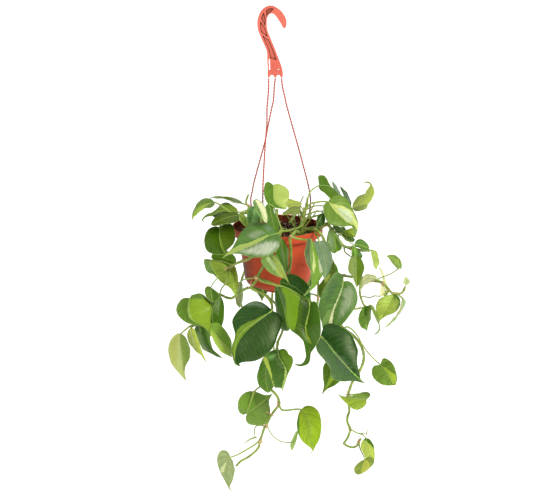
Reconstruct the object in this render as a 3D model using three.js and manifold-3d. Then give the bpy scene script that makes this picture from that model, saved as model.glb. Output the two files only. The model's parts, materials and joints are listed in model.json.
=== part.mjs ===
// Potted heartleaf philodendron in a hanging nursery pot.
// Units: millimetres, +Z up, -Y towards the viewer. The origin is the seat of the
// hanger's hook: the highest point of the throat, where it bears on a rod or nail.
import * as THREE from 'three';
import { mergeVertices } from 'three/addons/utils/BufferGeometryUtils.js';
import Module from 'manifold-3d';

const wasm = await Module();
wasm.setup();

// ---- driving dimensions (mm) ----
const POT_X = 10;                 // pot axis, X
const RIM_Z = -350.2;             // top of the pot's rim
const RIM_R = 75;                 // outside radius of the rim
const COLLAR_H = 13.4;            // height of the flared collar
const POT_H = 110;                // rim to the underside of the foot
const NECK_R = 66;                // outside radius just under the collar
const BASE_R = 54.5;              // outside radius at the base
const FOOT_R = 24;                // radius of the central foot
const WALL = 2.4;                 // wall thickness
const DRAIN_R = 3.2;              // drainage holes
const SOIL_Z = -362;              // level of the potting mix
const LUG_ANGLES = [-110, 129, 37]; // where the three strands reach the rim, degrees
const LUG_R = 67.5;               // radius at which a strand meets its lug
const LUG_HOLE_R = 2.2;
const HOOK_T = 6;                 // thickness of the hook plate
const POCKET_DEPTH = 1.7;         // recess in each face of the hook
const STRAND_R = 1.1;             // strand radius
const LEAF_T = 0.7;               // leaf blade thickness
const GAP = 0.35;                 // clearance between touching pieces

// ---- helpers ----
const V3 = (a) => new THREE.Vector3(a[0], a[1], a[2]);
function toSolid(geometry) {
  const g = geometry.clone();
  for (const name of Object.keys(g.attributes)) if (name !== 'position') g.deleteAttribute(name);
  const m = mergeVertices(g, 1e-4);
  const s = new wasm.Manifold(new wasm.Mesh({
    numProp: 3,
    vertProperties: new Float32Array(m.attributes.position.array),
    triVerts: new Uint32Array(m.index.array),
  }));
  return s;
}
function toGeometry(solid) {
  const m = solid.getMesh();
  const g = new THREE.BufferGeometry();
  const n = m.vertProperties.length / m.numProp;
  const pos = new Float32Array(n * 3);
  for (let i = 0; i < n; i++) for (let k = 0; k < 3; k++) pos[i * 3 + k] = m.vertProperties[i * m.numProp + k];
  g.setAttribute('position', new THREE.BufferAttribute(pos, 3));
  g.setIndex(new THREE.BufferAttribute(new Uint32Array(m.triVerts), 1));
  g.computeVertexNormals();
  return g;
}
// Joining leaves a few hair-thin facets where two surfaces meet: short edges are closed up,
// and needle-like facets are turned onto the facet beside them.
function tidy(geometry, tol = 0.04, thin = 0.012) {
  const p = geometry.attributes.position;
  const at = Array.from({ length: p.count }, (_, i) => new THREE.Vector3().fromBufferAttribute(p, i));
  let tris = [];
  for (let i = 0; i < geometry.index.count; i += 3) tris.push([0, 1, 2].map((k) => geometry.index.getX(i + k)));
  const normal = (t) => at[t[1]].clone().sub(at[t[0]]).cross(at[t[2]].clone().sub(at[t[0]]));
  const close = () => {
    const around = at.map(() => []);
    tris.forEach((t) => t.forEach((v) => around[v].push(t)));
    const ring = (v) => new Set(around[v].flat().filter((w) => w !== v));
    for (const t of tris) {
      for (let k = 0; k < 3; k++) {
        const a = t[k], b = t[(k + 1) % 3];
        if (at[a].distanceTo(at[b]) > tol) continue;
        const rb = ring(b);
        if ([...ring(a)].filter((v) => rb.has(v)).length !== 2) continue;
        const moved = around[b].filter((s) => !s.includes(a));
        const fine = moved.every((s) => {
          const n = normal(s);
          return n.length() < 0.01 || n.dot(normal(s.map((v) => (v === b ? a : v)))) > 0;
        });
        if (!fine) continue;
        moved.forEach((s) => { s[s.indexOf(b)] = a; });
        tris = tris.filter((s) => !(s.includes(a) && s.includes(b)));
        return true;
      }
    }
    return false;
  };
  const turn = () => {
    const owner = new Map();
    tris.forEach((t) => { for (let k = 0; k < 3; k++) owner.set(t[k] + '_' + t[(k + 1) % 3], t); });
    const height = (t) => {
      const e = [0, 1, 2].map((k) => at[t[k]].distanceTo(at[t[(k + 1) % 3]]));
      const m = Math.max(...e);
      return [normal(t).length() / m, e.indexOf(m)];
    };
    for (const t of tris) {
      const [h, k] = height(t);
      if (h > thin) continue;
      const a = t[k], b = t[(k + 1) % 3], c = t[(k + 2) % 3];
      const u = owner.get(b + '_' + a);
      const d = u.find((v) => v !== a && v !== b);
      if (d === c || owner.has(c + '_' + d) || owner.has(d + '_' + c)) continue;
      const n = normal(u), f = [a, d, c], g = [d, b, c];
      if (normal(f).dot(n) <= 0 || normal(g).dot(n) <= 0) continue;
      if (Math.min(height(f)[0], height(g)[0]) <= Math.min(h, height(u)[0])) continue;
      tris = tris.filter((s) => s !== t && s !== u);
      tris.push(f, g);
      return true;
    }
    return false;
  };
  for (let i = 0; i < 400 && (close() || turn()); i++);
  const used = new Map();
  const index = tris.flat().map((v) => { if (!used.has(v)) used.set(v, used.size); return used.get(v); });
  const pos = [];
  for (const v of used.keys()) pos.push(at[v].x, at[v].y, at[v].z);
  const g = new THREE.BufferGeometry();
  g.setAttribute('position', new THREE.Float32BufferAttribute(pos, 3));
  g.setIndex(index);
  g.computeVertexNormals();
  return g;
}
function largest(solid) {
  const parts = solid.decompose();
  parts.sort((a, b) => b.volume() - a.volume());
  return parts[0];
}
// A round stem: a polygon section carried along a smooth curve, tapering from r0 to r1.
// Each section's plane halves the angle between the chords on its two sides.
function sweep(points, r0, r1, sides = 6, step = 12) {
  const curve = new THREE.CatmullRomCurve3(points.map(V3), false, 'centripetal');
  const n = Math.max(2, Math.round(curve.getLength() / step));
  const c = curve.getSpacedPoints(n);
  const pos = [], idx = [];
  const u = new THREE.Vector3(0.31, 0.87, 0.4);
  for (let i = 0; i <= n; i++) {
    const d = c[Math.min(i + 1, n)].clone().sub(c[Math.max(i - 1, 0)]).normalize();
    u.addScaledVector(d, -u.dot(d)).normalize();
    const w = d.clone().cross(u);
    const r = r0 + ((r1 - r0) * i) / n;
    for (let j = 0; j < sides; j++) {
      const a = (2 * Math.PI * j) / sides;
      const v = c[i].clone().addScaledVector(u, r * Math.cos(a)).addScaledVector(w, r * Math.sin(a));
      pos.push(v.x, v.y, v.z);
    }
  }
  for (let i = 0; i < n; i++) for (let j = 0; j < sides; j++) {
    const a = i * sides + j, b = i * sides + ((j + 1) % sides);
    idx.push(a, b, b + sides, a, b + sides, a + sides);
  }
  for (let j = 1; j < sides - 1; j++) idx.push(0, j + 1, j, n * sides, n * sides + j, n * sides + j + 1);
  const g = new THREE.BufferGeometry();
  g.setAttribute('position', new THREE.Float32BufferAttribute(pos, 3));
  g.setIndex(idx);
  return g;
}
// A leaf blade: rows across the blade from one margin over the midrib to the other,
// as a thin closed sheet of even thickness. With half = 1 or 2, only one side of the midrib.
function blade(rows, thick = LEAF_T, half = 0) {
  const [P, M, Q] = rows;
  const n = P.length;
  const verts = [];
  const key = new Map();
  const add = (p) => {
    const k = p.map((v) => v.toFixed(3)).join(',');
    if (!key.has(k)) { key.set(k, verts.length); verts.push(V3(p)); }
    return key.get(k);
  };
  const ip = P.map(add), im = M.map(add), iq = Q.map(add);
  const tris = [];
  const tri = (a, b, c, side) => { if (a !== b && b !== c && a !== c) tris.push([a, b, c, side]); };
  const facing = (a, b, c) => verts[b].clone().sub(verts[a]).cross(verts[c].clone().sub(verts[a]));
  const quad = (a, b, c, d, side) => {
    // a concave field is split along its other diagonal
    if (facing(a, b, c).dot(facing(a, c, d)) >= 0 || facing(a, b, d).dot(facing(b, c, d)) < 0) { tri(a, b, c, side); tri(a, c, d, side); }
    else { tri(a, b, d, side); tri(b, c, d, side); }
  };
  for (let i = 0; i < n - 1; i++) {
    quad(ip[i], ip[i + 1], im[i + 1], im[i], 1);
    quad(im[i], im[i + 1], iq[i + 1], iq[i], 2);
  }
  const nor = verts.map(() => new THREE.Vector3());
  for (const [a, b, c, side] of tris) {
    if (half && side !== half) continue;
    const f = verts[b].clone().sub(verts[a]).cross(verts[c].clone().sub(verts[a]));
    nor[a].add(f); nor[b].add(f); nor[c].add(f);
  }
  nor.forEach((v) => v.normalize());
  const N = verts.length;
  const pos = [];
  for (const s of [0.5, -0.5]) verts.forEach((v, i) => pos.push(v.x + nor[i].x * thick * s, v.y + nor[i].y * thick * s, v.z + nor[i].z * thick * s));
  const idx = [];
  const edges = new Map();
  for (const [a, b, c, side] of tris) {
    if (half && side !== half) continue;
    idx.push(a, b, c, a + N, c + N, b + N);
    for (const [p, q] of [[a, b], [b, c], [c, a]]) {
      const r = q + '_' + p;
      if (edges.has(r)) edges.delete(r); else edges.set(p + '_' + q, [p, q]);
    }
  }
  for (const [p, q] of edges.values()) idx.push(p, p + N, q + N, p, q + N, q);
  const g = new THREE.BufferGeometry();
  g.setAttribute('position', new THREE.Float32BufferAttribute(pos, 3));
  g.setIndex(idx);
  return g;
}
// Blades that fold over themselves are built half by half and joined.
const FOLDED = ['leaf_15', 'leaf_24', 'small_l29', 'small_l34'];
function bladeSolid(name, thick = LEAF_T) {
  if (!FOLDED.includes(name)) return toSolid(blade(LEAVES[name], thick));
  return toSolid(blade(LEAVES[name], thick, 1)).add(toSolid(blade(LEAVES[name], thick, 2)));
}
const plant = new THREE.Group();
const mat = (hex, roughness = 0.5, metalness = 0) => new THREE.MeshStandardMaterial({ color: hex, roughness, metalness, side: THREE.FrontSide });
const MAT = {
  pot: mat(0xb4502f, 0.55), soil: mat(0x2a1a10, 0.95), hanger: mat(0xe87058, 0.45),
  leaf: mat(0x5c8a34, 0.4), stem: mat(0x8fa83c, 0.5),
};
function addPiece(name, geometry, material) {
  const mesh = new THREE.Mesh(geometry, material);
  mesh.name = name;
  plant.add(mesh);
  return mesh;
}

// ---- pot: one moulded shell with a flared collar, a central foot, three hanging lugs ----
const lathe = (profile, seg) => {
  const g = new THREE.LatheGeometry(profile.map(([r, z]) => new THREE.Vector2(r, z)), seg);
  g.rotateX(Math.PI / 2);
  return g;
};
const potProfile = [
  [0, -POT_H], [FOOT_R, -POT_H], [FOOT_R + 0.6, -POT_H + 11], [BASE_R - 9, -POT_H + 11.2], [BASE_R - 3.5, -POT_H + 13.5], [BASE_R, -POT_H + 20],
  [NECK_R, -COLLAR_H - 1.4], [RIM_R - 1.6, -COLLAR_H], [RIM_R, -COLLAR_H + 0.8], [RIM_R, -0.8], [RIM_R - 0.8, 0],
  [RIM_R - WALL, 0], [RIM_R - WALL, -COLLAR_H + 2.2], [NECK_R - WALL + 0.4, -COLLAR_H - 1.6], [BASE_R - WALL, -POT_H + 20],
  [BASE_R - WALL - 3, -POT_H + 15], [BASE_R - 9, -POT_H + 13.6], [0, -POT_H + 13.6],
];
let pot = toSolid(lathe(potProfile, 40));
for (let i = 0; i < 6; i++) {
  const a = (i * Math.PI) / 3 + 0.3;
  const hole = new THREE.CylinderGeometry(DRAIN_R, DRAIN_R, 12, 8);
  hole.rotateX(Math.PI / 2);
  hole.translate(36 * Math.cos(a), 36 * Math.sin(a), -POT_H + 12);
  pot = pot.subtract(toSolid(hole));
}
for (const deg of LUG_ANGLES) {
  const a = (deg * Math.PI) / 180;
  const lug = new THREE.BoxGeometry(11, 11, 2.6);
  lug.translate(LUG_R + 0.6, 0, -6.5);
  lug.rotateZ(a);
  const hole = new THREE.CylinderGeometry(LUG_HOLE_R, LUG_HOLE_R, 8, 8);
  hole.rotateX(Math.PI / 2);
  hole.translate(LUG_R * Math.cos(a), LUG_R * Math.sin(a), -6.5);
  pot = pot.add(toSolid(lug)).subtract(toSolid(hole));
}
pot = largest(pot).translate([POT_X, 0, RIM_Z]);
addPiece('pot', toGeometry(pot), MAT.pot);

// ---- potting mix, filling the pot to just under the lip ----
const depth = SOIL_Z - RIM_Z;
const inner = (z) => (BASE_R - WALL) + ((NECK_R - WALL + 0.4) - (BASE_R - WALL)) * ((z + POT_H - 20) / (POT_H - 20 - COLLAR_H - 1.6));
const fill = toSolid(lathe([
  [0, -POT_H + 13.6 + GAP], [BASE_R - 10.5, -POT_H + 13.6 + GAP], [BASE_R - WALL - 4.2, -POT_H + 16.2], [BASE_R - WALL - GAP - 0.2, -POT_H + 21],
  [inner(-COLLAR_H - 4) - GAP - 0.2, -COLLAR_H - 4], [inner(-COLLAR_H - 4) - 1.5, depth - 1.5], [inner(-COLLAR_H - 4) - 5, depth], [0, depth],
], 40));
const soil = largest(fill).translate([POT_X, 0, RIM_Z]);
addPiece('potting_mix', toGeometry(soil), MAT.soil);

// ---- hanger: hook plate with recessed faces, a slot, a small hole and three teeth ----
const HOOK_OUTLINE = [[21.6,-24.6],[23.8,-19.9],[24,-14.7],[23.2,-9.6],[21,-4.9],[18.2,-0.6],[14.9,3.4],[10.8,6.6],[6.4,9.4],[1.7,11.5],[-3.5,11.5],[-8.4,10],[-12.8,7.2],[-16.4,3.5],[-19,-1],[-20.9,-5.8],[-22.3,-10.8],[-22.7,-16],[-22.5,-21.2],[-21.8,-26.3],[-20.1,-31.2],[-18,-36],[-16,-40.7],[-13.9,-45.5],[-11.7,-50.2],[-9.5,-54.9],[-7.7,-59.8],[-7,-64.9],[-6.9,-70.1],[-6.8,-75.3],[-6.6,-80.5],[-6.3,-85.7],[-6,-90.9],[-6.3,-96],[-6.3,-101.2],[-4.5,-104.1],[-2.9,-102.2],[-2.1,-100.4],[-0.8,-99.1],[0.6,-98.6],[2.1,-99.1],[3.4,-100.4],[4.4,-102.2],[6,-104.1],[7.6,-102.2],[8.5,-100.4],[9.8,-99.1],[11.3,-98.6],[12.7,-99.1],[13.9,-100.4],[14.7,-102.2],[16.1,-104.1],[18.2,-101.2],[18.2,-96],[17.7,-92],[16.8,-88],[15.6,-84.2],[14.2,-80.3],[12.8,-76.5],[11.4,-72.7],[9.9,-68.9],[8.5,-65.1],[7.1,-61.2],[5.7,-57.5],[4.1,-53.7],[2.4,-50],[0.8,-46.2],[-0.7,-42.5],[-2.2,-38.7],[-3.8,-34.9],[-5.3,-31.1],[-6.5,-27.3],[-7.3,-23.3],[-7.5,-19.2],[-7.5,-15.1],[-7.5,-11.1],[-6.9,-7.1],[-5,-3.5],[-2.1,-0.7],[1.8,-0.4],[5.1,-2.6],[7.7,-5.7],[10.1,-9],[12.4,-12.4],[14.5,-15.9],[16.5,-19.4],[18.4,-23]];
const HOOK_POCKETS = [[[3.5,7.2],[0.9,7.7],[-1.7,7.6],[-4.3,7.1],[-6.7,5.8],[-8.9,4.3],[-8,-6.8],[-7.1,-4.7],[-6.1,-2.6],[-4.5,-1],[-2.8,0.4],[-0.7,1.4]],
  [[-12.1,1.1],[-13.4,-0.7],[-14.6,-2.6],[-15.5,-4.7],[-16.3,-6.9],[-16.9,-9.1],[-10,-20.4],[-10.1,-18.4],[-9.9,-16.4],[-9.7,-14.4],[-9.4,-12.5],[-9,-10.6]],
  [[-17.7,-12.8],[-18.2,-16.3],[-18.2,-19.7],[-17.9,-23.2],[-17.4,-26.7],[-16.7,-30.2],[-5.7,-38.6],[-6.7,-35.6],[-7.6,-32.7],[-8.5,-29.7],[-9.2,-26.8],[-9.7,-23.8]],
  [[-15,-34.8],[-11.9,-42],[-8.8,-49.3],[-5.6,-56.4],[-3.1,-63.9],[-2.2,-71.6],[8.1,-75],[6.2,-68.3],[3.9,-61.8],[1.3,-55.4],[-1.4,-49],[-4.2,-42.6]]];
const HOOK_HOLES = [[[-4.5,-73.8],[-3.5,-73.1],[-2.6,-73.8],[-2.3,-81.5],[-1.9,-91.2],[-2.9,-91.8],[-3.9,-91.5],[-4.2,-83.1]],
  [[12.6,-90.2],[12.2,-89.3],[11.3,-88.9],[10.4,-89.3],[10,-90.2],[10.4,-91.1],[11.3,-91.5],[12.2,-91.1]]];
const plate = (outline, thick, y0) => {
  const shape = new THREE.Shape(outline.map(([x, z]) => new THREE.Vector2(x, z)));
  const g = new THREE.ExtrudeGeometry(shape, { depth: thick, bevelEnabled: false, steps: 1 });
  g.rotateX(Math.PI / 2);         // outline in XZ, thickness along -Y
  g.translate(0, y0 + thick, 0);
  return g;
};
let hook = toSolid(plate(HOOK_OUTLINE, HOOK_T, -HOOK_T / 2));
for (const pocket of HOOK_POCKETS) {
  hook = hook.subtract(toSolid(plate(pocket, POCKET_DEPTH + 1, HOOK_T / 2 - POCKET_DEPTH)));
  hook = hook.subtract(toSolid(plate(pocket, POCKET_DEPTH + 1, -HOOK_T / 2 - 1)));
}
for (const opening of HOOK_HOLES) hook = hook.subtract(toSolid(plate(opening, HOOK_T + 2, -HOOK_T / 2 - 1)));
addPiece('hanger_hook', toGeometry(largest(hook)), MAT.hanger);

// ---- three strands and the clips that hold them in the pot's lugs ----
const STRANDS = {
  front: [[-4.5,-0.2,-104.9],[-4.8,-5,-122.8],[-6.1,-9.1,-138.4],[-7.3,-13.3,-154],[-7.4,-18.7,-174.2],[-10,-27.2,-206.1],[-13.4,-42.4,-263],[-14.1,-50.7,-294.2],[-13.1,-63.4,-342]],
  left: [[6,0.2,-105],[4.2,4.3,-122.7],[3.3,8.6,-141.5],[0,12.1,-156.9],[-6.2,19.3,-188.9],[-11.6,25.5,-216.9],[-28.4,39.7,-282],[-31.9,43.6,-300.1],[-35.1,47.4,-318.3],[-32.5,52.5,-342]],
  right: [[16.1,0.1,-105],[17.8,2.7,-119.2],[22.7,6.5,-141.1],[26.1,9.2,-156.4],[50.5,24.7,-246.3],[64.5,34.8,-306.6],[63.9,40.6,-342]] };
Object.entries(STRANDS).forEach(([name, points], i) => {
  addPiece('strand_' + name, sweep(points, STRAND_R, STRAND_R, 8, 34), MAT.hanger);
  const a = (LUG_ANGLES[i] * Math.PI) / 180;
  const clip = new THREE.LatheGeometry([
    [0, -10.6], [1.2, -10.4], [3.1, -8.9], [3.1, -8.2], [1.8, -8.2], [1.8, -4.8], [3.4, -4.8], [3.4, 1.5], [2.6, 6.2], [0, 6.2],
  ].map(([r, z]) => new THREE.Vector2(r, z)), 10);
  clip.rotateX(Math.PI / 2);
  clip.translate(POT_X + LUG_R * Math.cos(a), LUG_R * Math.sin(a), RIM_Z);
  const e = V3(points[points.length - 1]), d = e.clone().sub(V3(points[points.length - 2])).normalize();
  const socket = sweep([e.clone().addScaledVector(d, -12).toArray(), e.clone().addScaledVector(d, GAP).toArray()], STRAND_R + GAP, STRAND_R + GAP, 8, 30);
  addPiece('clip_' + name, toGeometry(largest(toSolid(clip).subtract(toSolid(socket)))), MAT.hanger);
});

// ---- leaf blades: [margin, midrib, other margin], base to tip ----
const LEAVES = {
  leaf_04: [[[10.2,-120.3,-331.4],[0.2,-108.9,-322.7],[-13.8,-101.5,-318.8],[-29,-98.8,-319.8],[-42,-102.1,-326.9],[-51,-109.5,-337.6],[-58.5,-117.6,-349.1],[-67.5,-124.2,-359.7],[-78,-129.5,-369.5]],
    [[10.2,-120.3,-331.4],[10.2,-120.3,-331.4],[6.6,-120.4,-332.3],[-8.4,-121.3,-336.7],[-22.5,-124.4,-343.1],[-37.1,-125.4,-348.8],[-52.3,-123.9,-353.2],[-66.6,-124.5,-359.8],[-78,-129.5,-369.5]],
    [[10.2,-120.3,-331.4],[13.9,-138.7,-340.9],[7.8,-153.7,-350.7],[-4.7,-158.7,-357.5],[-19.4,-155.9,-360.8],[-34.3,-147.9,-361.1],[-49.1,-137.7,-360.3],[-64.2,-130.8,-362.6],[-78,-129.5,-369.5]]],
  small_l02: [[[-94,-25,-303.9],[-106,1.3,-304.2],[-118.5,5.6,-308.4],[-124.8,-13.5,-314.9],[-129.3,-33.6,-321.9],[-126,-60.2,-327.3]],
    [[-94,-25,-303.9],[-94,-25,-303.9],[-106.1,-21,-308],[-118.5,-21.3,-313.5],[-126.7,-34.6,-320.7],[-126,-60.2,-327.3]],
    [[-94,-25,-303.9],[-95.7,-54,-305.6],[-106.7,-43.5,-309.2],[-115.3,-46,-314.7],[-123.6,-48.1,-321.2],[-126,-60.2,-327.3]]],
  small_l03: [[[-47.9,0,-312.6],[-56.8,-18.4,-301.1],[-67.7,-22.7,-296],[-79.5,-16.8,-296.2],[-91.5,-10.7,-297.6],[-103.3,3.7,-304.7]],
    [[-47.9,0,-312.6],[-47.9,0,-312.6],[-60.4,-0.5,-308.7],[-74.2,-3.8,-303.6],[-88.6,-3.1,-301.7],[-103.3,3.7,-304.7]],
    [[-47.9,0,-312.6],[-59.7,21.2,-317.5],[-70.2,15.1,-312],[-80.9,8.2,-307],[-92,5.3,-305],[-103.3,3.7,-304.7]]],
  leaf_03: [[[-54.9,-24.6,-320.9],[-60.8,-8.2,-316.5],[-70,4.3,-313.7],[-80.3,9,-313.5],[-88,-1.6,-317.8],[-95,-13.5,-322.7],[-104.2,-17.6,-325.9],[-112.4,-24.9,-330.3],[-109.2,-40,-334.6]],
    [[-54.9,-24.6,-320.9],[-54.9,-24.6,-320.9],[-57.5,-23.8,-320.8],[-68.5,-20.1,-320.6],[-79.6,-17.1,-321],[-90.3,-18.6,-323.2],[-100.7,-20.6,-326],[-110.3,-25,-329.7],[-109.2,-40,-334.6]],
    [[-54.9,-24.6,-320.9],[-58,-39.8,-324.1],[-65.9,-47.7,-326.2],[-74.4,-52,-327.8],[-83.6,-48.7,-328.6],[-92,-37.2,-327.7],[-100.7,-27.8,-327.5],[-109.4,-27.4,-330],[-109.2,-40,-334.6]]],
  leaf_06: [[[-85,-36,-344.1],[-95.6,-36,-342.9],[-104.4,-44.6,-346.8],[-108.3,-57.8,-353.7],[-108.4,-71.5,-361.2],[-104.4,-84,-368.4],[-95.6,-91.4,-373],[-84.8,-92.7,-374.4],[-74.6,-87.8,-372.7]],
    [[-85,-36,-344.1],[-85,-36,-344.1],[-85,-38.1,-345.2],[-84.8,-47,-350.1],[-84.3,-55.7,-355],[-83.3,-64.2,-359.8],[-81.7,-72.6,-364.5],[-78.6,-80.4,-368.7],[-74.6,-87.8,-372.7]],
    [[-85,-36,-344.1],[-77.4,-33.1,-338.8],[-68,-36,-336.9],[-61.2,-47.4,-340.7],[-58.8,-60.1,-346.9],[-58.8,-71.3,-353.7],[-61.8,-79.6,-360.6],[-68.4,-83.5,-366.5],[-74.6,-87.8,-372.7]]],
  leaf_11: [[[-58.8,-20.8,-408.9],[-59,-21.1,-401.3],[-63,-20.6,-395.1],[-68.7,-19.7,-390.7],[-75.6,-18.7,-388.4],[-83,-17.6,-388.4],[-90.3,-16.6,-389.9],[-97,-15.6,-393.3],[-100.4,-15,-400.3]],
    [[-58.8,-20.8,-408.9],[-58.8,-20.8,-408.9],[-60.3,-20.6,-408.3],[-66.6,-19.7,-405.6],[-73,-18.7,-403.2],[-79.7,-17.7,-401.5],[-86.5,-16.8,-400.5],[-93.4,-15.9,-400.3],[-100.4,-15,-400.3]],
    [[-58.8,-20.8,-408.9],[-62.5,-24.7,-413.7],[-68,-27.4,-416.6],[-74.7,-28.4,-416.8],[-81.3,-28,-415.6],[-87.5,-26.2,-413.2],[-92.9,-23.2,-409.8],[-96.8,-19.2,-405.2],[-100.4,-15,-400.3]]],
  leaf_12: [[[-68.6,-60,-409.7],[-77.6,-54.4,-400.6],[-90.6,-52.1,-396.4],[-100.5,-54.7,-399.7],[-94.8,-61.9,-410.7],[-87.8,-69.1,-421.2],[-77.4,-76,-428.6],[-65.9,-83.2,-434.4],[-58.1,-95,-442.7]],
    [[-68.6,-60,-409.7],[-68.6,-60,-409.7],[-67.6,-60.9,-410.9],[-63.6,-64.8,-416],[-60.6,-69.6,-421.4],[-58.4,-75.2,-426.8],[-57,-81.4,-432.2],[-57,-88.1,-437.6],[-58.1,-95,-442.7]],
    [[-68.6,-60,-409.7],[-65,-50.3,-405.6],[-58.4,-49.1,-408.2],[-56.5,-56,-414.2],[-55,-63.1,-420.3],[-54,-70.6,-426.3],[-54.1,-78.7,-432],[-55.4,-86.9,-437.6],[-58.1,-95,-442.7]]],
  small_l07b: [[[-86.5,-31.2,-402.5],[-100.2,-27.3,-400.9],[-111.7,-25.1,-404.1],[-108.9,-29.6,-416.7],[-98.5,-34.2,-423.7],[-88.2,-38,-431.4]],
    [[-86.5,-31.2,-402.5],[-86.5,-31.2,-402.5],[-94.4,-31,-407.3],[-98.5,-32.4,-415.6],[-95,-35.2,-424.5],[-88.2,-38,-431.4]],
    [[-86.5,-31.2,-402.5],[-84.1,-30.4,-408.7],[-82.9,-29.9,-415.4],[-83.1,-31.4,-421.5],[-85.2,-34.5,-426.7],[-88.2,-38,-431.4]]],
  small_l08: [[[-50.2,-44,-434.8],[-57,-32.7,-443.7],[-59.5,-31.6,-454.4],[-60.3,-34,-464.2],[-58.5,-41.5,-472.2],[-52.1,-56.8,-475.5]],
    [[-50.2,-44,-434.8],[-50.2,-44,-434.8],[-51.5,-44.9,-444.8],[-52.4,-47.4,-455.5],[-52.5,-51.5,-465.7],[-52.1,-56.8,-475.5]],
    [[-50.2,-44,-434.8],[-47.2,-53,-440.5],[-46.9,-56.9,-448.5],[-46.8,-60.4,-456.7],[-48.3,-60.9,-465.7],[-52.1,-56.8,-475.5]]],
  leaf_17: [[[-132.5,-85,-450.1],[-144.7,-98.1,-447],[-152.1,-112.2,-453.7],[-150.8,-120.3,-464.9],[-142,-119.6,-475.7],[-130.2,-114.5,-483.4],[-117.2,-109,-488.7],[-105.4,-106.5,-496.1],[-97.8,-108.4,-507.5]],
    [[-132.5,-85,-450.1],[-132.5,-85,-450.1],[-133.1,-87.3,-452.5],[-134.9,-96.4,-462.7],[-133.1,-103.6,-473.4],[-125.2,-106.4,-482.5],[-114.2,-105.5,-489.1],[-104,-105.4,-496.9],[-97.8,-108.4,-507.5]],
    [[-132.5,-85,-450.1],[-124,-81.2,-444],[-112,-80.6,-444.1],[-103.2,-85.7,-451.7],[-96.8,-92.8,-460.7],[-97.4,-97.1,-472.3],[-98.7,-100.9,-484],[-97,-104.4,-495.9],[-97.8,-108.4,-507.5]]],
  small_l10a: [[[-98.8,-72,-435.2],[-105.9,-74.9,-433.5],[-108.3,-83.3,-438.1],[-106.3,-89.9,-444.1],[-101.9,-93.9,-449.7],[-95.3,-94.4,-453.9]],
    [[-98.8,-72,-435.2],[-98.8,-72,-435.2],[-98.4,-77.8,-439.4],[-97.7,-83.8,-444.2],[-96.7,-89.3,-449],[-95.3,-94.4,-453.9]],
    [[-98.8,-72,-435.2],[-92.2,-77.2,-438],[-86.2,-82.7,-441.5],[-83.9,-88.9,-446.5],[-88.3,-93.2,-451.3],[-95.3,-94.4,-453.9]]],
  leaf_18: [[[-84.9,-60.2,-452.1],[-94.5,-71.3,-449.4],[-103,-81.1,-450.8],[-107.5,-87.2,-458.1],[-107.9,-89.5,-467.9],[-106.1,-89.9,-478.1],[-102.9,-89.6,-488.2],[-98,-87.6,-498],[-90.7,-82.3,-506.7]],
    [[-84.9,-60.2,-452.1],[-84.9,-60.2,-452.1],[-86,-61.7,-453.8],[-90.8,-67.8,-461],[-95,-73.3,-468.8],[-96.9,-77.5,-477.7],[-96.4,-80.2,-487.3],[-94.1,-81.7,-497],[-90.7,-82.3,-506.7]],
    [[-84.9,-60.2,-452.1],[-80.5,-62,-458.8],[-78.1,-64.8,-466.2],[-77.3,-68.2,-473.8],[-77.4,-71.6,-481.3],[-78.3,-74.4,-489],[-79.9,-76.8,-496.7],[-83.6,-79.5,-503.6],[-90.7,-82.3,-506.7]]],
  leaf_24: [[[-149.4,-60,-519.3],[-161.4,-49.7,-525.8],[-169,-45.8,-538.2],[-171.4,-47.2,-550.9],[-171,-51.7,-562.8],[-166.1,-60.5,-572.1],[-157.9,-72,-578.6],[-148.7,-84.1,-583.9],[-139.4,-96.4,-588.9]],
    [[-149.4,-60,-519.3],[-149.4,-60,-519.3],[-149.7,-60.7,-522.3],[-149.9,-64.4,-534.3],[-148.3,-69.7,-545.8],[-146.9,-75.3,-557.2],[-145,-81.6,-568.2],[-142.5,-88.7,-578.8],[-139.4,-96.4,-588.9]],
    [[-149.4,-60,-519.3],[-140.7,-69.4,-523],[-135.7,-76.7,-530.5],[-133.4,-81.9,-539.7],[-133.9,-85.1,-549.8],[-137.6,-85.7,-560.2],[-141.6,-86.1,-570.7],[-142.4,-90,-580.4],[-139.4,-96.4,-588.9]]],
  small_l12: [[[-132.4,-66,-506.3],[-139.7,-48.4,-525.7],[-136.4,-50.8,-539.9],[-126.2,-67.2,-545.8],[-114.3,-85.3,-549.3],[-105.6,-98.4,-557.2]],
    [[-132.4,-66,-506.3],[-132.4,-66,-506.3],[-128.6,-69.3,-520.5],[-123.2,-75.4,-535.1],[-115,-85.8,-546.9],[-105.6,-98.4,-557.2]],
    [[-132.4,-66,-506.3],[-122.6,-83.1,-509.8],[-118.7,-87.2,-521.7],[-114.7,-90.6,-533.8],[-110.5,-93.7,-545.9],[-105.6,-98.4,-557.2]]],
  leaf_23: [[[-118.9,-72,-501.6],[-124.3,-95.9,-498.8],[-121.2,-102.7,-506.9],[-117.5,-107.8,-515.4],[-114.3,-114.4,-523.4],[-107.1,-105.1,-532.8],[-98.5,-91.9,-542.4],[-89.7,-81.3,-551.4],[-80.2,-67.2,-559.6]],
    [[-118.9,-72,-501.6],[-118.9,-72,-501.6],[-118,-73.4,-503.8],[-114.1,-78.8,-512.9],[-110.1,-83.5,-522.1],[-105.2,-86.1,-531.6],[-98.1,-83.2,-541.2],[-89.5,-76.4,-550.5],[-80.2,-67.2,-559.6]],
    [[-118.9,-72,-501.6],[-111,-56.9,-507],[-105.3,-54.2,-515.2],[-101.9,-57.9,-522.9],[-100.1,-65.1,-529.8],[-97.8,-72.3,-536.6],[-93.4,-74.7,-544.1],[-87.2,-71.8,-552],[-80.2,-67.2,-559.6]]],
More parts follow.
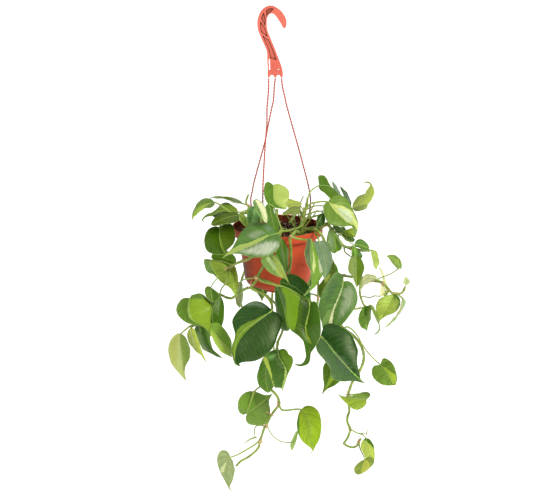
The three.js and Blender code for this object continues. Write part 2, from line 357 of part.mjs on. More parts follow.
  leaf_21: [[[-96.4,-97.6,-489.5],[-98.5,-111.1,-493.7],[-97,-119.7,-499.7],[-94,-125.4,-506.4],[-90.1,-128.6,-513.5],[-84.9,-129,-520.7],[-78.9,-127.2,-527.8],[-71.7,-120.9,-534.8],[-64,-112.9,-541.5]],
    [[-96.4,-97.6,-489.5],[-96.4,-97.6,-489.5],[-95,-98.3,-491.4],[-89.4,-101,-499.3],[-83.9,-103.8,-507.4],[-78.7,-106.4,-515.7],[-73.4,-108.4,-524.1],[-68.2,-110.2,-532.7],[-64,-112.9,-541.5]],
    [[-96.4,-97.6,-489.5],[-88.5,-87.1,-490.2],[-81.4,-86.2,-496.9],[-75.1,-86.6,-504.1],[-69.5,-87.9,-511.5],[-66.1,-92.1,-519.3],[-65.1,-99.1,-526.7],[-64.7,-106.4,-534],[-64,-112.9,-541.5]]],
  leaf_19: [[[0.8,-125,-457.5],[-15.2,-131.6,-441.8],[-35,-139.2,-439.4],[-51.8,-144.8,-449.7],[-61.8,-148.3,-467.2],[-57.8,-147.7,-488.5],[-63,-153,-507.5],[-61.6,-157.6,-527.4],[-48.4,-159.7,-540]],
    [[0.8,-125,-457.5],[0.8,-125,-457.5],[-3,-126.6,-459.9],[-19,-132.8,-469.9],[-35.5,-138.2,-479.3],[-49.8,-143.6,-491.4],[-57.4,-149.7,-508.2],[-59.1,-155.6,-526.7],[-48.4,-159.7,-540]],
    [[0.8,-125,-457.5],[15.2,-131.2,-465.8],[15.8,-140.7,-479.9],[8.9,-149.7,-493.9],[2.5,-158.4,-508],[-9.3,-162.4,-520.3],[-24.8,-161.9,-529.1],[-42.3,-159.5,-532.2],[-48.4,-159.7,-540]]],
  leaf_15: [[[59.9,-149.9,-436.1],[38.7,-143.9,-422.5],[15,-139,-413.3],[21.1,-145.7,-431.3],[21.6,-155.3,-455.4],[30.2,-163.2,-477.4],[49.1,-171.3,-493],[53.8,-178.2,-517.1],[34.6,-172.7,-529.9]],
    [[59.9,-149.9,-436.1],[59.9,-149.9,-436.1],[60,-151.8,-440.3],[57.1,-158.4,-458],[54,-164,-475.8],[59.7,-171.8,-492.3],[60,-177.2,-510],[52.4,-178.7,-527.3],[34.6,-172.7,-529.9]],
    [[59.9,-149.9,-436.1],[72.8,-166.9,-435.5],[76,-178.4,-449.7],[77.4,-189.7,-464],[74.2,-187.4,-482.6],[67.1,-182.9,-500.8],[61.2,-182.2,-517.7],[50.7,-182.6,-530.3],[34.6,-172.7,-529.9]]],
  leaf_16: [[[60.6,-121.7,-440.9],[62.5,-116.4,-432.4],[60.3,-111,-423.5],[54.9,-106.3,-415.7],[47.3,-102.5,-409.6],[38.2,-99.8,-405.4],[27.9,-99.4,-404.7],[18.8,-102.5,-408.9],[12.8,-107.6,-416.1]],
    [[60.6,-121.7,-440.9],[60.6,-121.7,-440.9],[59,-121,-439.6],[52.5,-118,-434],[45.7,-114.9,-428.6],[38.5,-111.9,-423.8],[30.4,-109.7,-420.1],[21.8,-108.3,-417.6],[12.8,-107.6,-416.1]],
    [[60.6,-121.7,-440.9],[53.3,-127.9,-441.5],[45.8,-130.4,-439.4],[38.6,-131.1,-436.5],[31.9,-130.3,-433],[26,-127,-429.1],[20.8,-122,-425],[16.2,-115.5,-420.8],[12.8,-107.6,-416.1]]],
  leaf_08: [[[0.8,-100,-369.2],[-9.4,-95.6,-374.4],[-17.1,-93.2,-381.7],[-13.3,-98.5,-390.7],[-6.6,-105,-397.6],[2.6,-111.8,-401.6],[12.6,-116.8,-404.3],[22.5,-121.3,-407.1],[29.1,-124.2,-415.1]],
    [[0.8,-100,-369.2],[0.8,-100,-369.2],[1.8,-101.2,-370.9],[6.1,-106.3,-378.1],[11.3,-111.8,-384.6],[15.6,-115.7,-392.1],[19.9,-118.9,-399.8],[24.4,-121.8,-407.4],[29.1,-124.2,-415.1]],
    [[0.8,-100,-369.2],[7.1,-117.6,-368.2],[11.7,-125.2,-372],[15.3,-127.1,-378.2],[18.2,-128.4,-384.9],[20.9,-128.7,-392],[23.8,-128.3,-399.3],[26.7,-128.4,-406.4],[29.1,-124.2,-415.1]]],
  small_l19: [[[15.2,-85.3,-348.4],[8,-105.3,-354.2],[7.6,-113.2,-365.6],[10.7,-113.5,-379],[16,-108.3,-393.2],[23.3,-98.3,-408]],
    [[15.2,-85.3,-348.4],[15.2,-85.3,-348.4],[17.3,-89.5,-361.8],[19.7,-93,-376.9],[21.8,-95.8,-392.4],[23.3,-98.3,-408]],
    [[15.2,-85.3,-348.4],[23.7,-76.3,-361.1],[27.2,-76.7,-374],[27.8,-81.6,-386.2],[26.7,-88.5,-397.8],[23.3,-98.3,-408]]],
  small_l21: [[[-27.6,-101.9,-282],[-27.8,-116,-287],[-24.2,-121.7,-293.9],[-19.7,-123.2,-301.4],[-14.6,-122.6,-308.9],[-7.4,-114.9,-315.8]],
    [[-27.6,-101.9,-282],[-27.6,-101.9,-282],[-21.5,-103.4,-289.2],[-16.1,-107,-297.7],[-11.9,-111.8,-306.6],[-7.4,-114.9,-315.8]],
    [[-27.6,-101.9,-282],[-18.8,-90.4,-284.9],[-12.2,-91.2,-292.4],[-8.1,-96.5,-300.5],[-5.7,-103.4,-308.7],[-7.4,-114.9,-315.8]]],
  leaf_01: [[[3.3,-23.5,-276.6],[-5.3,-26.6,-269.7],[-11.4,-40.5,-273.5],[-12.1,-53.3,-281.1],[-10.9,-63.8,-289.1],[-5.5,-69,-296.7],[3.5,-66.7,-302.1],[13.6,-61.9,-305.7],[23.9,-56,-308.4]],
    [[3.3,-23.5,-276.6],[3.3,-23.5,-276.6],[3.2,-25.8,-278],[2.9,-35.3,-283.9],[3.1,-44,-290],[4.9,-51.1,-296.1],[9.8,-55.1,-301.4],[16.6,-56.1,-305.2],[23.9,-56,-308.4]],
    [[3.3,-23.5,-276.6],[9.8,-21,-274.5],[17.1,-22.9,-276],[23.7,-27.2,-278.9],[28.1,-34.5,-283.4],[29.2,-42.9,-289],[27.2,-49.3,-295],[25.2,-52.9,-301.5],[23.9,-56,-308.4]]],
  small_l23: [[[-4,-73.6,-295.2],[-9.8,-91.7,-298.3],[-9,-100.1,-307.5],[-6.3,-103.6,-317.6],[-1.3,-101.1,-328.5],[5.6,-93.9,-339.4]],
    [[-4,-73.6,-295.2],[-4,-73.6,-295.2],[-1.9,-80.1,-305],[0.8,-85.6,-316.2],[3.3,-90.2,-327.7],[5.6,-93.9,-339.4]],
    [[-4,-73.6,-295.2],[2.9,-70.4,-304.2],[7.3,-72.3,-314.2],[11.1,-74.5,-324.4],[11.8,-80.5,-334.2],[5.6,-93.9,-339.4]]],
  small_l24: [[[-27.3,-62,-301.4],[-34.2,-68.8,-302.2],[-38,-74.6,-307.3],[-39.4,-78.2,-314],[-39.2,-79.7,-321.3],[-36.1,-78.7,-328.6]],
    [[-27.3,-62,-301.4],[-27.3,-62,-301.4],[-28.5,-66.5,-307.8],[-30.2,-71,-314.9],[-32.7,-75.1,-321.8],[-36.1,-78.7,-328.6]],
    [[-27.3,-62,-301.4],[-21.7,-66.7,-307.6],[-17.9,-71.8,-314.8],[-20.3,-76.3,-322.3],[-27.2,-78.9,-327.5],[-36.1,-78.7,-328.6]]],
  small_l24b: [[[-50.8,-60,-316],[-52.2,-69,-319.3],[-50,-73.4,-323.5],[-46.5,-74.9,-327.6],[-42.3,-74,-331.7],[-37,-69.6,-334.8]],
    [[-50.8,-60,-316],[-50.8,-60,-316],[-47.6,-63,-320.2],[-43.9,-65.5,-324.9],[-40.2,-67.5,-329.7],[-37,-69.6,-334.8]],
    [[-50.8,-60,-316],[-45.1,-56.9,-317.4],[-40.7,-57.6,-320.9],[-37.8,-60.5,-325.4],[-36.6,-64.7,-330.1],[-37,-69.6,-334.8]]],
  small_l25a: [[[47.5,-19.7,-311.9],[47.8,-12.6,-307.4],[40.2,-9.2,-305.6],[32.5,-6.1,-303.9],[26,-9.4,-306.3],[24.6,-19.2,-312.1]],
    [[47.5,-19.7,-311.9],[47.5,-19.7,-311.9],[42.6,-15.8,-309.8],[36.5,-13.7,-308.7],[30.1,-15,-309.6],[24.6,-19.2,-312.1]],
    [[47.5,-19.7,-311.9],[44.5,-26.4,-314.6],[39.2,-26,-314],[33.9,-26.5,-314.2],[28.7,-25.1,-314.1],[24.6,-19.2,-312.1]]],
  small_l25b: [[[47.1,-40.3,-313.5],[43.7,-24.1,-311.5],[35.5,-30.1,-310.6],[27.7,-42,-310.6],[21,-55.6,-312.1],[16.1,-69.1,-315.3]],
    [[47.1,-40.3,-313.5],[47.1,-40.3,-313.5],[39.5,-43.2,-312.5],[31.2,-50.8,-312.3],[23.4,-60.5,-313.3],[16.1,-69.1,-315.3]],
    [[47.1,-40.3,-313.5],[44.1,-63.5,-314],[37.1,-66.4,-314],[30.1,-67.2,-314.1],[23,-68.1,-314.4],[16.1,-69.1,-315.3]]],
  small_l26: [[[78.4,5.1,-283.3],[78.1,14.3,-272.1],[88.4,13.1,-269.7],[95.9,2,-280.4],[105,-10,-289.7],[115.4,-19.9,-298.4]],
    [[78.4,5.1,-283.3],[78.4,5.1,-283.3],[88.8,2.1,-283.2],[99.8,-3,-285.2],[108.1,-11.5,-291.3],[115.4,-19.9,-298.4]],
    [[78.4,5.1,-283.3],[81.6,-8.8,-288.8],[89,-18.6,-293],[96.3,-25.3,-298],[105.9,-26.1,-300.4],[115.4,-19.9,-298.4]]],
  small_l27: [[[117,30,-310.6],[111.1,25.1,-305.3],[106.8,26.4,-300.1],[103.8,32.2,-295.2],[101.9,40.6,-290.4],[101.3,52.8,-286.2]],
    [[117,30,-310.6],[117,30,-310.6],[113.3,34.9,-305],[109.1,40.4,-298.7],[105,46.2,-292.5],[101.3,52.8,-286.2]],
    [[117,30,-310.6],[115.6,37.4,-305.6],[113.2,43.3,-300.6],[110.1,48.1,-295.6],[106.2,51.4,-290.8],[101.3,52.8,-286.2]]],
  small_l27b: [[[131.9,22,-324.1],[127.5,30.2,-319.6],[123.8,36.5,-314.1],[120.4,41.8,-308],[117.3,45.7,-301.4],[114.8,47.8,-294.2]],
    [[131.9,22,-324.1],[131.9,22,-324.1],[128.7,26.8,-316.5],[125.1,32.4,-308.1],[120.7,39,-300.4],[114.8,47.8,-294.2]],
    [[131.9,22,-324.1],[132.3,13.2,-313.4],[129.6,17.1,-306.3],[125.9,24.1,-300.4],[120.9,34.4,-296.3],[114.8,47.8,-294.2]]],
  leaf_02: [[[92,-33.1,-301.9],[84.1,-43,-307.7],[85,-53.6,-317.3],[89.5,-61.9,-326.5],[99.2,-63.8,-332.5],[111.2,-61.2,-335.6],[123.4,-55.8,-336.8],[131.9,-55.7,-342.6],[136,-60.4,-353]],
    [[92,-33.1,-301.9],[92,-33.1,-301.9],[94.2,-34.2,-303.6],[103.5,-38.2,-310.6],[113.1,-41.5,-317.5],[122.7,-44.3,-324.5],[130.8,-48,-332.7],[136.2,-53.1,-342.5],[136,-60.4,-353]],
    [[92,-33.1,-301.9],[100.7,-26.1,-294.1],[113.4,-23.8,-293],[124.2,-27,-299.4],[130.2,-33,-309.5],[135.7,-38.9,-320.1],[140.1,-44.9,-331],[140,-52.2,-342.4],[136,-60.4,-353]]],
  small_l29: [[[133.7,-5,-320.4],[135.1,7.2,-314.8],[139.6,15,-309.1],[146.2,17.8,-304.1],[153.8,16.5,-300.3],[157.8,23.3,-295.4],[160.5,26.6,-291.4],[161.5,36.1,-285.9],[152.9,40.6,-288.2]],
    [[133.7,-5,-320.4],[133.7,-5,-320.4],[135.6,-3.9,-318.8],[143.4,0.9,-312.4],[150.9,7.1,-305.7],[157.4,15.4,-298.6],[164,24.1,-291.7],[163.1,37,-285.9],[152.9,40.6,-288.2]],
    [[133.7,-5,-320.4],[142.3,-21.2,-320.4],[152.5,-27.6,-316.1],[158,-19.4,-310],[164.4,-10,-302.8],[169.5,2,-295.4],[168.9,21.5,-289],[163,38.4,-284.4],[152.9,40.6,-288.2]]],
  small_l30: [[[116.7,-25.2,-355.5],[121.9,-24.2,-351.4],[128.3,-24.2,-349.1],[134,-25.4,-349.7],[136.4,-28.2,-355.4],[137.8,-31.1,-361.5]],
    [[116.7,-25.2,-355.5],[116.7,-25.2,-355.5],[121.9,-26,-355.7],[127.6,-27.4,-356.7],[132.9,-29.1,-358.8],[137.8,-31.1,-361.5]],
    [[116.7,-25.2,-355.5],[119.8,-23.8,-359.8],[124.1,-24,-362.1],[128.6,-25.2,-363.4],[133.2,-27.8,-363.2],[137.8,-31.1,-361.5]]],
  small_l30b: [[[114.1,-8.6,-351.4],[113,-22.1,-355.3],[115.8,-28.8,-360.4],[120.2,-31.7,-365.6],[126.8,-28,-370.1],[134.5,-20.3,-373.9]],
    [[114.1,-8.6,-351.4],[114.1,-8.6,-351.4],[118.1,-13.4,-356.6],[122.6,-18,-362.5],[128.2,-20.1,-368.2],[134.5,-20.3,-373.9]],
    [[114.1,-8.6,-351.4],[122,-1.6,-353.6],[126.1,-6.8,-359.1],[131.4,-9.1,-364.6],[137.4,-9.8,-369.9],[134.5,-20.3,-373.9]]],
  small_l30c: [[[101.1,-21.7,-343.6],[100.7,-28.2,-346.4],[102.8,-31.4,-349.3],[106,-32.4,-352.1],[110,-30.9,-354.6],[114.1,-28.6,-357.1]],
    [[101.1,-21.7,-343.6],[101.1,-21.7,-343.6],[104.3,-23.6,-346.5],[108.1,-24.8,-349.7],[111.7,-26,-353.1],[114.1,-28.6,-357.1]],
    [[101.1,-21.7,-343.6],[105.8,-19,-344.6],[110,-18.5,-346.8],[113.1,-20.3,-349.9],[114.1,-24.1,-353.5],[114.1,-28.6,-357.1]]],
  small_l31: [[[84.5,-42,-318.1],[78.7,-48.7,-317.9],[74.6,-53.2,-321],[72.7,-54.7,-326.3],[72.5,-54.4,-332.3],[73,-53.4,-338.6]],
    [[84.5,-42,-318.1],[84.5,-42,-318.1],[81.3,-45.5,-322.4],[77.9,-48.8,-327.3],[75.1,-51.4,-332.8],[73,-53.4,-338.6]],
    [[84.5,-42,-318.1],[86.8,-44.7,-323.7],[87.2,-47.8,-329.6],[84.6,-50.9,-335],[79.5,-52.9,-338.5],[73,-53.4,-338.6]]],
  small_l32: [[[95.9,-49.2,-342.3],[91,-55.7,-348.8],[89.3,-61.8,-357],[89.9,-66.5,-365.5],[94.3,-68.1,-373.8],[102.1,-67.4,-379.7]],
    [[95.9,-49.2,-342.3],[95.9,-49.2,-342.3],[99.5,-54.2,-350.3],[102.8,-59.3,-359.6],[103.6,-63.7,-369.5],[102.1,-67.4,-379.7]],
    [[95.9,-49.2,-342.3],[102.5,-56.4,-348.6],[107.7,-62.4,-356.4],[112.9,-69.1,-364],[110.8,-71.4,-372.9],[102.1,-67.4,-379.7]]],
  small_l33: [[[136.2,-35,-374],[139.1,-30.8,-367.9],[146.1,-28.8,-365.6],[152.9,-30.5,-368.6],[158.2,-33.7,-373.5],[159.8,-38.1,-379.6]],
    [[136.2,-35,-374],[136.2,-35,-374],[142,-34.5,-374],[148.4,-34.7,-374.8],[154.4,-36,-376.8],[159.8,-38.1,-379.6]],
    [[136.2,-35,-374],[138.6,-40.6,-376.4],[144.1,-42.1,-377.3],[149.1,-44.4,-379.2],[154.8,-43.9,-380.7],[159.8,-38.1,-379.6]]],
  small_l34: [[[134.3,-38.2,-374],[130.9,-46.4,-376.9],[130.5,-51.2,-381.7],[130.4,-54.8,-386.8],[131.7,-55.4,-392.6],[134.7,-53.2,-398.6]],
    [[134.3,-38.2,-374],[134.3,-38.2,-374],[135.2,-41.9,-379.6],[136.2,-45.7,-386],[136.3,-49.3,-392.4],[134.7,-53.2,-398.6]],
    [[134.3,-38.2,-374],[140.2,-41.2,-379.2],[146.2,-43.7,-384.3],[148.5,-47.3,-391],[142.3,-50.6,-395.6],[134.7,-53.2,-398.6]]],
  leaf_09: [[[136.8,-55.8,-387.7],[129.4,-63.9,-386.3],[125.7,-70.7,-391.5],[124.2,-75.2,-398.1],[124.3,-77.6,-405.4],[128.3,-75.5,-412.7],[133,-72.6,-420.1],[135.6,-71.9,-428],[138.4,-70.6,-436]],
    [[136.8,-55.8,-387.7],[136.8,-55.8,-387.7],[136.9,-56.6,-389.5],[137.4,-59.5,-397.1],[137.6,-62.3,-404.7],[137.5,-65,-412.3],[137.6,-67.3,-420.1],[138,-69.2,-428],[138.4,-70.6,-436]],
    [[136.8,-55.8,-387.7],[144.4,-51.8,-390.6],[148.9,-51.5,-397.1],[151.3,-52.8,-404.4],[150.9,-55.7,-411.5],[148.9,-59.2,-418.2],[146.3,-62.8,-424.7],[143.5,-66.3,-431.2],[138.4,-70.6,-436]]],
  small_l36: [[[168.2,-25,-386.3],[163.3,-37.3,-387.4],[165.1,-39,-394.3],[166.3,-41,-401.3],[168,-41,-408.8],[172.8,-34.7,-416.9]],
    [[168.2,-25,-386.3],[168.2,-25,-386.3],[170.3,-26.9,-393.3],[171.9,-29.3,-401.1],[172.6,-32,-409],[172.8,-34.7,-416.9]],
    [[168.2,-25,-386.3],[174.7,-18.1,-391.6],[177.4,-18.9,-398.9],[178.6,-21.1,-406.1],[176,-27.9,-411.6],[172.8,-34.7,-416.9]]],
  small_l37: [[[213.2,-10,-419.9],[217.2,-7.6,-418.7],[216.1,0.1,-411.3],[210.4,5.7,-405.3],[201.5,6.8,-402.6],[192.2,2.3,-404]],
    [[213.2,-10,-419.9],[213.2,-10,-419.9],[209,-6.6,-415.7],[204.2,-2.5,-411.2],[198.6,0.5,-407.3],[192.2,2.3,-404]],
    [[213.2,-10,-419.9],[209,-19.9,-419.9],[204.4,-16.8,-415.5],[200.3,-11.7,-411.2],[196.6,-4.5,-407.4],[192.2,2.3,-404]]],
  small_l38: [[[173.6,-22,-437.2],[169.3,-28.4,-427.7],[159,-32.4,-424.3],[151.4,-30.8,-430.8],[148.8,-25.7,-442.7],[149.6,-19.7,-455.3]],
    [[173.6,-22,-437.2],[173.6,-22,-437.2],[165.3,-25.1,-433.7],[156.5,-26,-436.2],[151.2,-23.8,-444.5],[149.6,-19.7,-455.3]],
    [[173.6,-22,-437.2],[170.1,-16.3,-443.3],[164.2,-14.9,-445.1],[158.3,-17.1,-447],[153.3,-18.9,-450.3],[149.6,-19.7,-455.3]]],
  small_l39: [[[188,-26,-463.8],[179.2,-43.3,-455],[181.4,-31.4,-447.1],[184.2,-15.3,-440.3],[183.5,-5.5,-431.6],[179,-0.1,-422.3]],
    [[188,-26,-463.8],[188,-26,-463.8],[189.3,-16.2,-454.9],[187.9,-8.2,-444.1],[186,0.2,-433.5],[179,-0.1,-422.3]],
    [[188,-26,-463.8],[197.2,-3.9,-462.8],[195.1,0.9,-452.9],[190,0.3,-441.9],[187.2,6,-432.2],[179,-0.1,-422.3]]],
  leaf_20: [[[202.7,-28.1,-461.4],[194.5,-29.4,-461.6],[186.7,-31.4,-463.8],[179.4,-33.8,-467],[174.7,-36.6,-473],[172.9,-39.5,-480.4],[173.9,-42,-488],[176.4,-44.1,-495.5],[179,-46.1,-502.9]],
    [[202.7,-28.1,-461.4],[202.7,-28.1,-461.4],[201.9,-29,-463],[198.7,-32.9,-469.7],[195.2,-36.3,-476.4],[191.4,-39.2,-483],[187.3,-41.8,-489.6],[183.2,-44.1,-496.2],[179,-46.1,-502.9]],
    [[202.7,-28.1,-461.4],[210.1,-34,-462.7],[213.3,-41.2,-468.5],[211.7,-46.4,-475.7],[207.2,-49.2,-482.6],[200.3,-49,-487.9],[192.5,-47.2,-492],[185,-45.6,-496.6],[179,-46.1,-502.9]]],
  small_l41: [[[219.4,-26,-469.9],[213.5,-49.3,-473.7],[207.9,-54.2,-483.5],[200.4,-62.1,-491.5],[192.7,-65.2,-500.4],[182.8,-63,-508.2]],
    [[219.4,-26,-469.9],[219.4,-26,-469.9],[216.9,-30.4,-483.2],[207,-48.1,-491.5],[196,-59.9,-500.3],[182.8,-63,-508.2]],
    [[219.4,-26,-469.9],[223.9,-6.8,-488.4],[215.1,-29.4,-493.2],[204.9,-48.1,-497.7],[195.2,-56.2,-505.2],[182.8,-63,-508.2]]],
  small_l42: [[[223.9,-16,-448.6],[220.9,-16.2,-446.5],[219.6,-15.3,-443.7],[220.6,-13,-440.9],[222.4,-10.3,-438.5],[224.7,-7.5,-436.4]],
    [[223.9,-16,-448.6],[223.9,-16,-448.6],[224.8,-14.3,-445.7],[225.3,-12.2,-442.6],[225,-9.9,-439.4],[224.7,-7.5,-436.4]],
    [[223.9,-16,-448.6],[228,-16.4,-447.7],[230.6,-15,-444.8],[230,-12.5,-441.4],[227.6,-10,-438.6],[224.7,-7.5,-436.4]]],
  small_l43: [[[161,-58,-470.8],[150.4,-53.4,-477.2],[144.5,-54.3,-487.6],[143.7,-58.7,-498.6],[148.8,-64.7,-507.5],[156.1,-70.6,-513.4]],
    [[161,-58,-470.8],[161,-58,-470.8],[157.5,-59.6,-480.6],[158.1,-65.1,-490.9],[157.5,-68.7,-501.9],[156.1,-70.6,-513.4]],
    [[161,-58,-470.8],[162.8,-71.7,-475.3],[162.4,-74.4,-484],[160.7,-73.8,-493.6],[158.1,-71.5,-503.6],[156.1,-70.6,-513.4]]],
  small_l44: [[[163.5,-57.9,-470.9],[163.8,-85.1,-472.6],[168.9,-84.7,-482.8],[173.6,-81.2,-494.4],[174.1,-86,-503.9],[166.3,-92.7,-509.7]],
    [[163.5,-57.9,-470.9],[163.5,-57.9,-470.9],[169.1,-63.4,-481],[174.6,-68.7,-492.9],[176.6,-77.2,-504.6],[166.3,-92.7,-509.7]],
    [[163.5,-57.9,-470.9],[171.9,-43.8,-484.4],[176.7,-49.7,-493.8],[178.3,-64.9,-500.9],[177.4,-73,-510.3],[166.3,-92.7,-509.7]]],
  leaf_05: [[[62.2,-123.6,-340.4],[54.3,-145.7,-339.2],[52.1,-159.1,-348.5],[53.1,-164.8,-359.9],[57.5,-159.4,-374],[61.3,-156,-387.7],[62.7,-153.5,-401.8],[57.5,-162.8,-411],[49.6,-170,-419.3]],
    [[62.2,-123.6,-340.4],[62.2,-123.6,-340.4],[62.9,-124.7,-343.8],[65.8,-128.8,-358.3],[67.8,-133.2,-372.8],[68,-138.9,-387.1],[67.1,-144.8,-401.1],[60,-156.2,-411.7],[49.6,-170,-419.3]],
    [[62.2,-123.6,-340.4],[67.6,-120.8,-353.3],[72.7,-119.5,-366.5],[77.7,-116.6,-380.2],[81.4,-114.9,-394.1],[78,-125.6,-404.2],[70.6,-139.7,-411.6],[60.7,-154.5,-416.5],[49.6,-170,-419.3]]],
  leaf_07: [[[76.2,-83.4,-355],[67.7,-101.3,-350.8],[68.3,-108.8,-357.6],[71.5,-110.6,-365.8],[74.5,-112.5,-374.1],[77.6,-113.1,-382.7],[79.7,-114.1,-391.6],[81.7,-113.9,-400.8],[83.7,-112.9,-410.3]],
    [[76.2,-83.4,-355],[76.2,-83.4,-355],[76.9,-84.5,-357.2],[79.6,-88.8,-366],[82.6,-92.3,-375.1],[85.4,-95.4,-384.2],[86.5,-100.1,-393.3],[85.6,-106.3,-401.9],[83.7,-112.9,-410.3]],
    [[76.2,-83.4,-355],[85.8,-70.6,-357.6],[91.7,-69.6,-366],[94.9,-72.9,-374.8],[97.4,-76.8,-383.6],[97.8,-82.8,-392.1],[94.9,-91.8,-399.4],[89.9,-102.1,-405.3],[83.7,-112.9,-410.3]]],
  leaf_10: [[[100.9,-61.3,-395.4],[96.8,-62.7,-402.8],[93.9,-66.9,-409.9],[89.4,-68.1,-417.2],[84.1,-68.2,-424.1],[78.4,-66.7,-431.1],[74.5,-68.6,-438.2],[76.2,-79.3,-443.5],[78.8,-90.4,-448.4]],
    [[100.9,-61.3,-395.4],[100.9,-61.3,-395.4],[100.5,-63.4,-397.4],[98.6,-71.2,-405.6],[95,-76.5,-414],[89.8,-79.1,-422.4],[84.6,-81.3,-430.9],[80.9,-85.1,-439.6],[78.8,-90.4,-448.4]],
    [[100.9,-61.3,-395.4],[105.7,-77.5,-398],[107.2,-89.9,-403.4],[105.8,-98.4,-410],[102,-102.1,-417.3],[97,-102.9,-424.6],[91.2,-100.5,-432.3],[85.1,-95.9,-440.3],[78.8,-90.4,-448.4]]],
  leaf_13: [[[114.9,-98.2,-417.3],[109.2,-98.3,-402.3],[95.3,-105.1,-406.7],[86.5,-114.7,-418],[79.6,-121.8,-431],[75.8,-126.9,-445.7],[75.9,-130.1,-461.5],[79.9,-131.2,-477.5],[85.5,-131.4,-493.2]],
    [[114.9,-98.2,-417.3],[114.9,-98.2,-417.3],[114.6,-99.8,-420.3],[111.2,-106.3,-432.6],[105.7,-112.3,-444.3],[100,-117.7,-456.1],[94.5,-122.7,-468.1],[89.7,-127.3,-480.5],[85.5,-131.4,-493.2]],
    [[114.9,-98.2,-417.3],[129.1,-102.3,-418.6],[136.2,-110.6,-430],[137.3,-119,-443.3],[131.3,-125.4,-456],[122.6,-129.9,-467.9],[112.5,-132.9,-479],[100,-133.5,-488.2],[85.5,-131.4,-493.2]]],
  leaf_22: [[[78.4,-144.9,-494.4],[84.6,-135.3,-479],[102.9,-134.1,-478.1],[119.4,-139.4,-486.1],[131.3,-147.3,-498.4],[137.4,-156,-514],[135.4,-165.2,-530.7],[139.5,-173.1,-547.2],[149.4,-177.2,-561.2]],
    [[78.4,-144.9,-494.4],[78.4,-144.9,-494.4],[81.1,-146.5,-496.9],[92,-153.6,-507.6],[101.9,-160.8,-519],[112.8,-166.6,-530],[124,-171.6,-541],[135.6,-175.8,-552],[149.4,-177.2,-561.2]],
    [[78.4,-144.9,-494.4],[70.8,-164.1,-503.1],[76.2,-175.7,-514.3],[85.3,-183.4,-525.5],[92.6,-192.5,-536.8],[100.2,-199.7,-547.2],[116.4,-192.5,-552.2],[133,-183.4,-555.9],[149.4,-177.2,-561.2]]],
  leaf_27: [[[100.2,-104,-556],[92.3,-108.6,-550],[85.3,-115.1,-552.4],[82.9,-119.1,-559.7],[82.9,-121.1,-568.1],[84.2,-122.1,-576.9],[85.1,-122.8,-585.7],[83.3,-124.8,-594],[80.8,-126.7,-602.1]],
    [[100.2,-104,-556],[100.2,-104,-556],[99.5,-105.1,-557.8],[97.1,-109.4,-565.2],[94.4,-113.4,-572.6],[91.6,-117.1,-580.1],[88.4,-120.6,-587.5],[84.8,-123.8,-594.8],[80.8,-126.7,-602.1]],
    [[100.2,-104,-556],[108,-106.9,-560],[113.2,-111,-566.5],[114.3,-115.6,-574.4],[110.1,-119.2,-581.7],[102.6,-121.3,-586.7],[94.2,-122.5,-590.4],[86.8,-124.3,-595.5],[80.8,-126.7,-602.1]]],
  leaf_28: [[[179.5,-80,-566.3],[173,-79,-567.4],[166,-82.1,-571.9],[164.8,-91.1,-578.5],[168.5,-100.4,-583.8],[175.2,-107.7,-587.5],[183.3,-113,-589.6],[192.4,-115.4,-589.3],[201.6,-116.8,-588.3]],
    [[179.5,-80,-566.3],[179.5,-80,-566.3],[180.4,-81.6,-567],[184.5,-87.9,-570],[188.1,-94.1,-573.4],[191.4,-100.1,-577.1],[194.7,-105.9,-580.8],[198,-111.4,-584.6],[201.6,-116.8,-588.3]],
    [[179.5,-80,-566.3],[181.9,-77.5,-558.4],[188.5,-80.9,-555],[195.2,-89.1,-556.7],[200,-97,-560.7],[202.2,-103.6,-566.8],[203.8,-109.7,-573.3],[204,-114.4,-580.5],[201.6,-116.8,-588.3]]],
  leaf_25: [[[11,-110,-531.1],[-1.1,-109.9,-531.6],[-11.2,-112.6,-538.7],[-11.5,-117.2,-548.8],[-6.3,-122.5,-559.1],[-1.4,-126.3,-570.1],[2.4,-128.2,-582.2],[11.5,-129.1,-587.7],[18.1,-130.6,-595.2]],
    [[11,-110,-531.1],[11,-110,-531.1],[11.2,-111,-533.6],[14.2,-115.7,-543.4],[20.2,-120.5,-551.9],[23.6,-124.6,-561.9],[22,-127,-572.9],[18.3,-128.4,-583.9],[18.1,-130.6,-595.2]],
    [[11,-110,-531.1],[21.2,-118.2,-524.9],[27.5,-125.9,-531.3],[34.3,-131.4,-538.1],[33,-131.3,-549.9],[28.1,-129.1,-561.4],[23.9,-128.7,-572.7],[20.5,-130.3,-583.5],[18.1,-130.6,-595.2]]],
  leaf_26: [[[-5.7,-94,-549.3],[-14.2,-88.5,-551.6],[-18.2,-90,-560.3],[-21.5,-91.7,-569.2],[-23.4,-94.2,-578.3],[-23.1,-97.8,-587.1],[-19.9,-102.7,-594.8],[-13.3,-108.9,-599.8],[-4.9,-115.5,-602]],
    [[-5.7,-94,-549.3],[-5.7,-94,-549.3],[-6.2,-94.7,-551.3],[-8.2,-97.6,-559.9],[-9.3,-100.8,-568.5],[-9.4,-104.3,-577.1],[-8.6,-108,-585.5],[-6.8,-111.8,-593.7],[-4.9,-115.5,-602]],
    [[-5.7,-94,-549.3],[0.1,-102.9,-551.9],[3.7,-110.2,-556.8],[5.8,-115.9,-562.9],[6.7,-119.7,-569.9],[6.2,-121.7,-577.6],[4.1,-121.6,-585.9],[0.9,-120.2,-594.3],[-4.9,-115.5,-602]]],
  leaf_31: [[[-40.4,-100,-644.2],[-51.5,-108.8,-639.9],[-56.1,-104,-629.8],[-53.5,-94.7,-620.6],[-45.7,-82.8,-615.2],[-34.1,-70.7,-615.9],[-22.1,-62.3,-622.4],[-10.2,-54.6,-629.5],[2.2,-40.5,-632.3]],
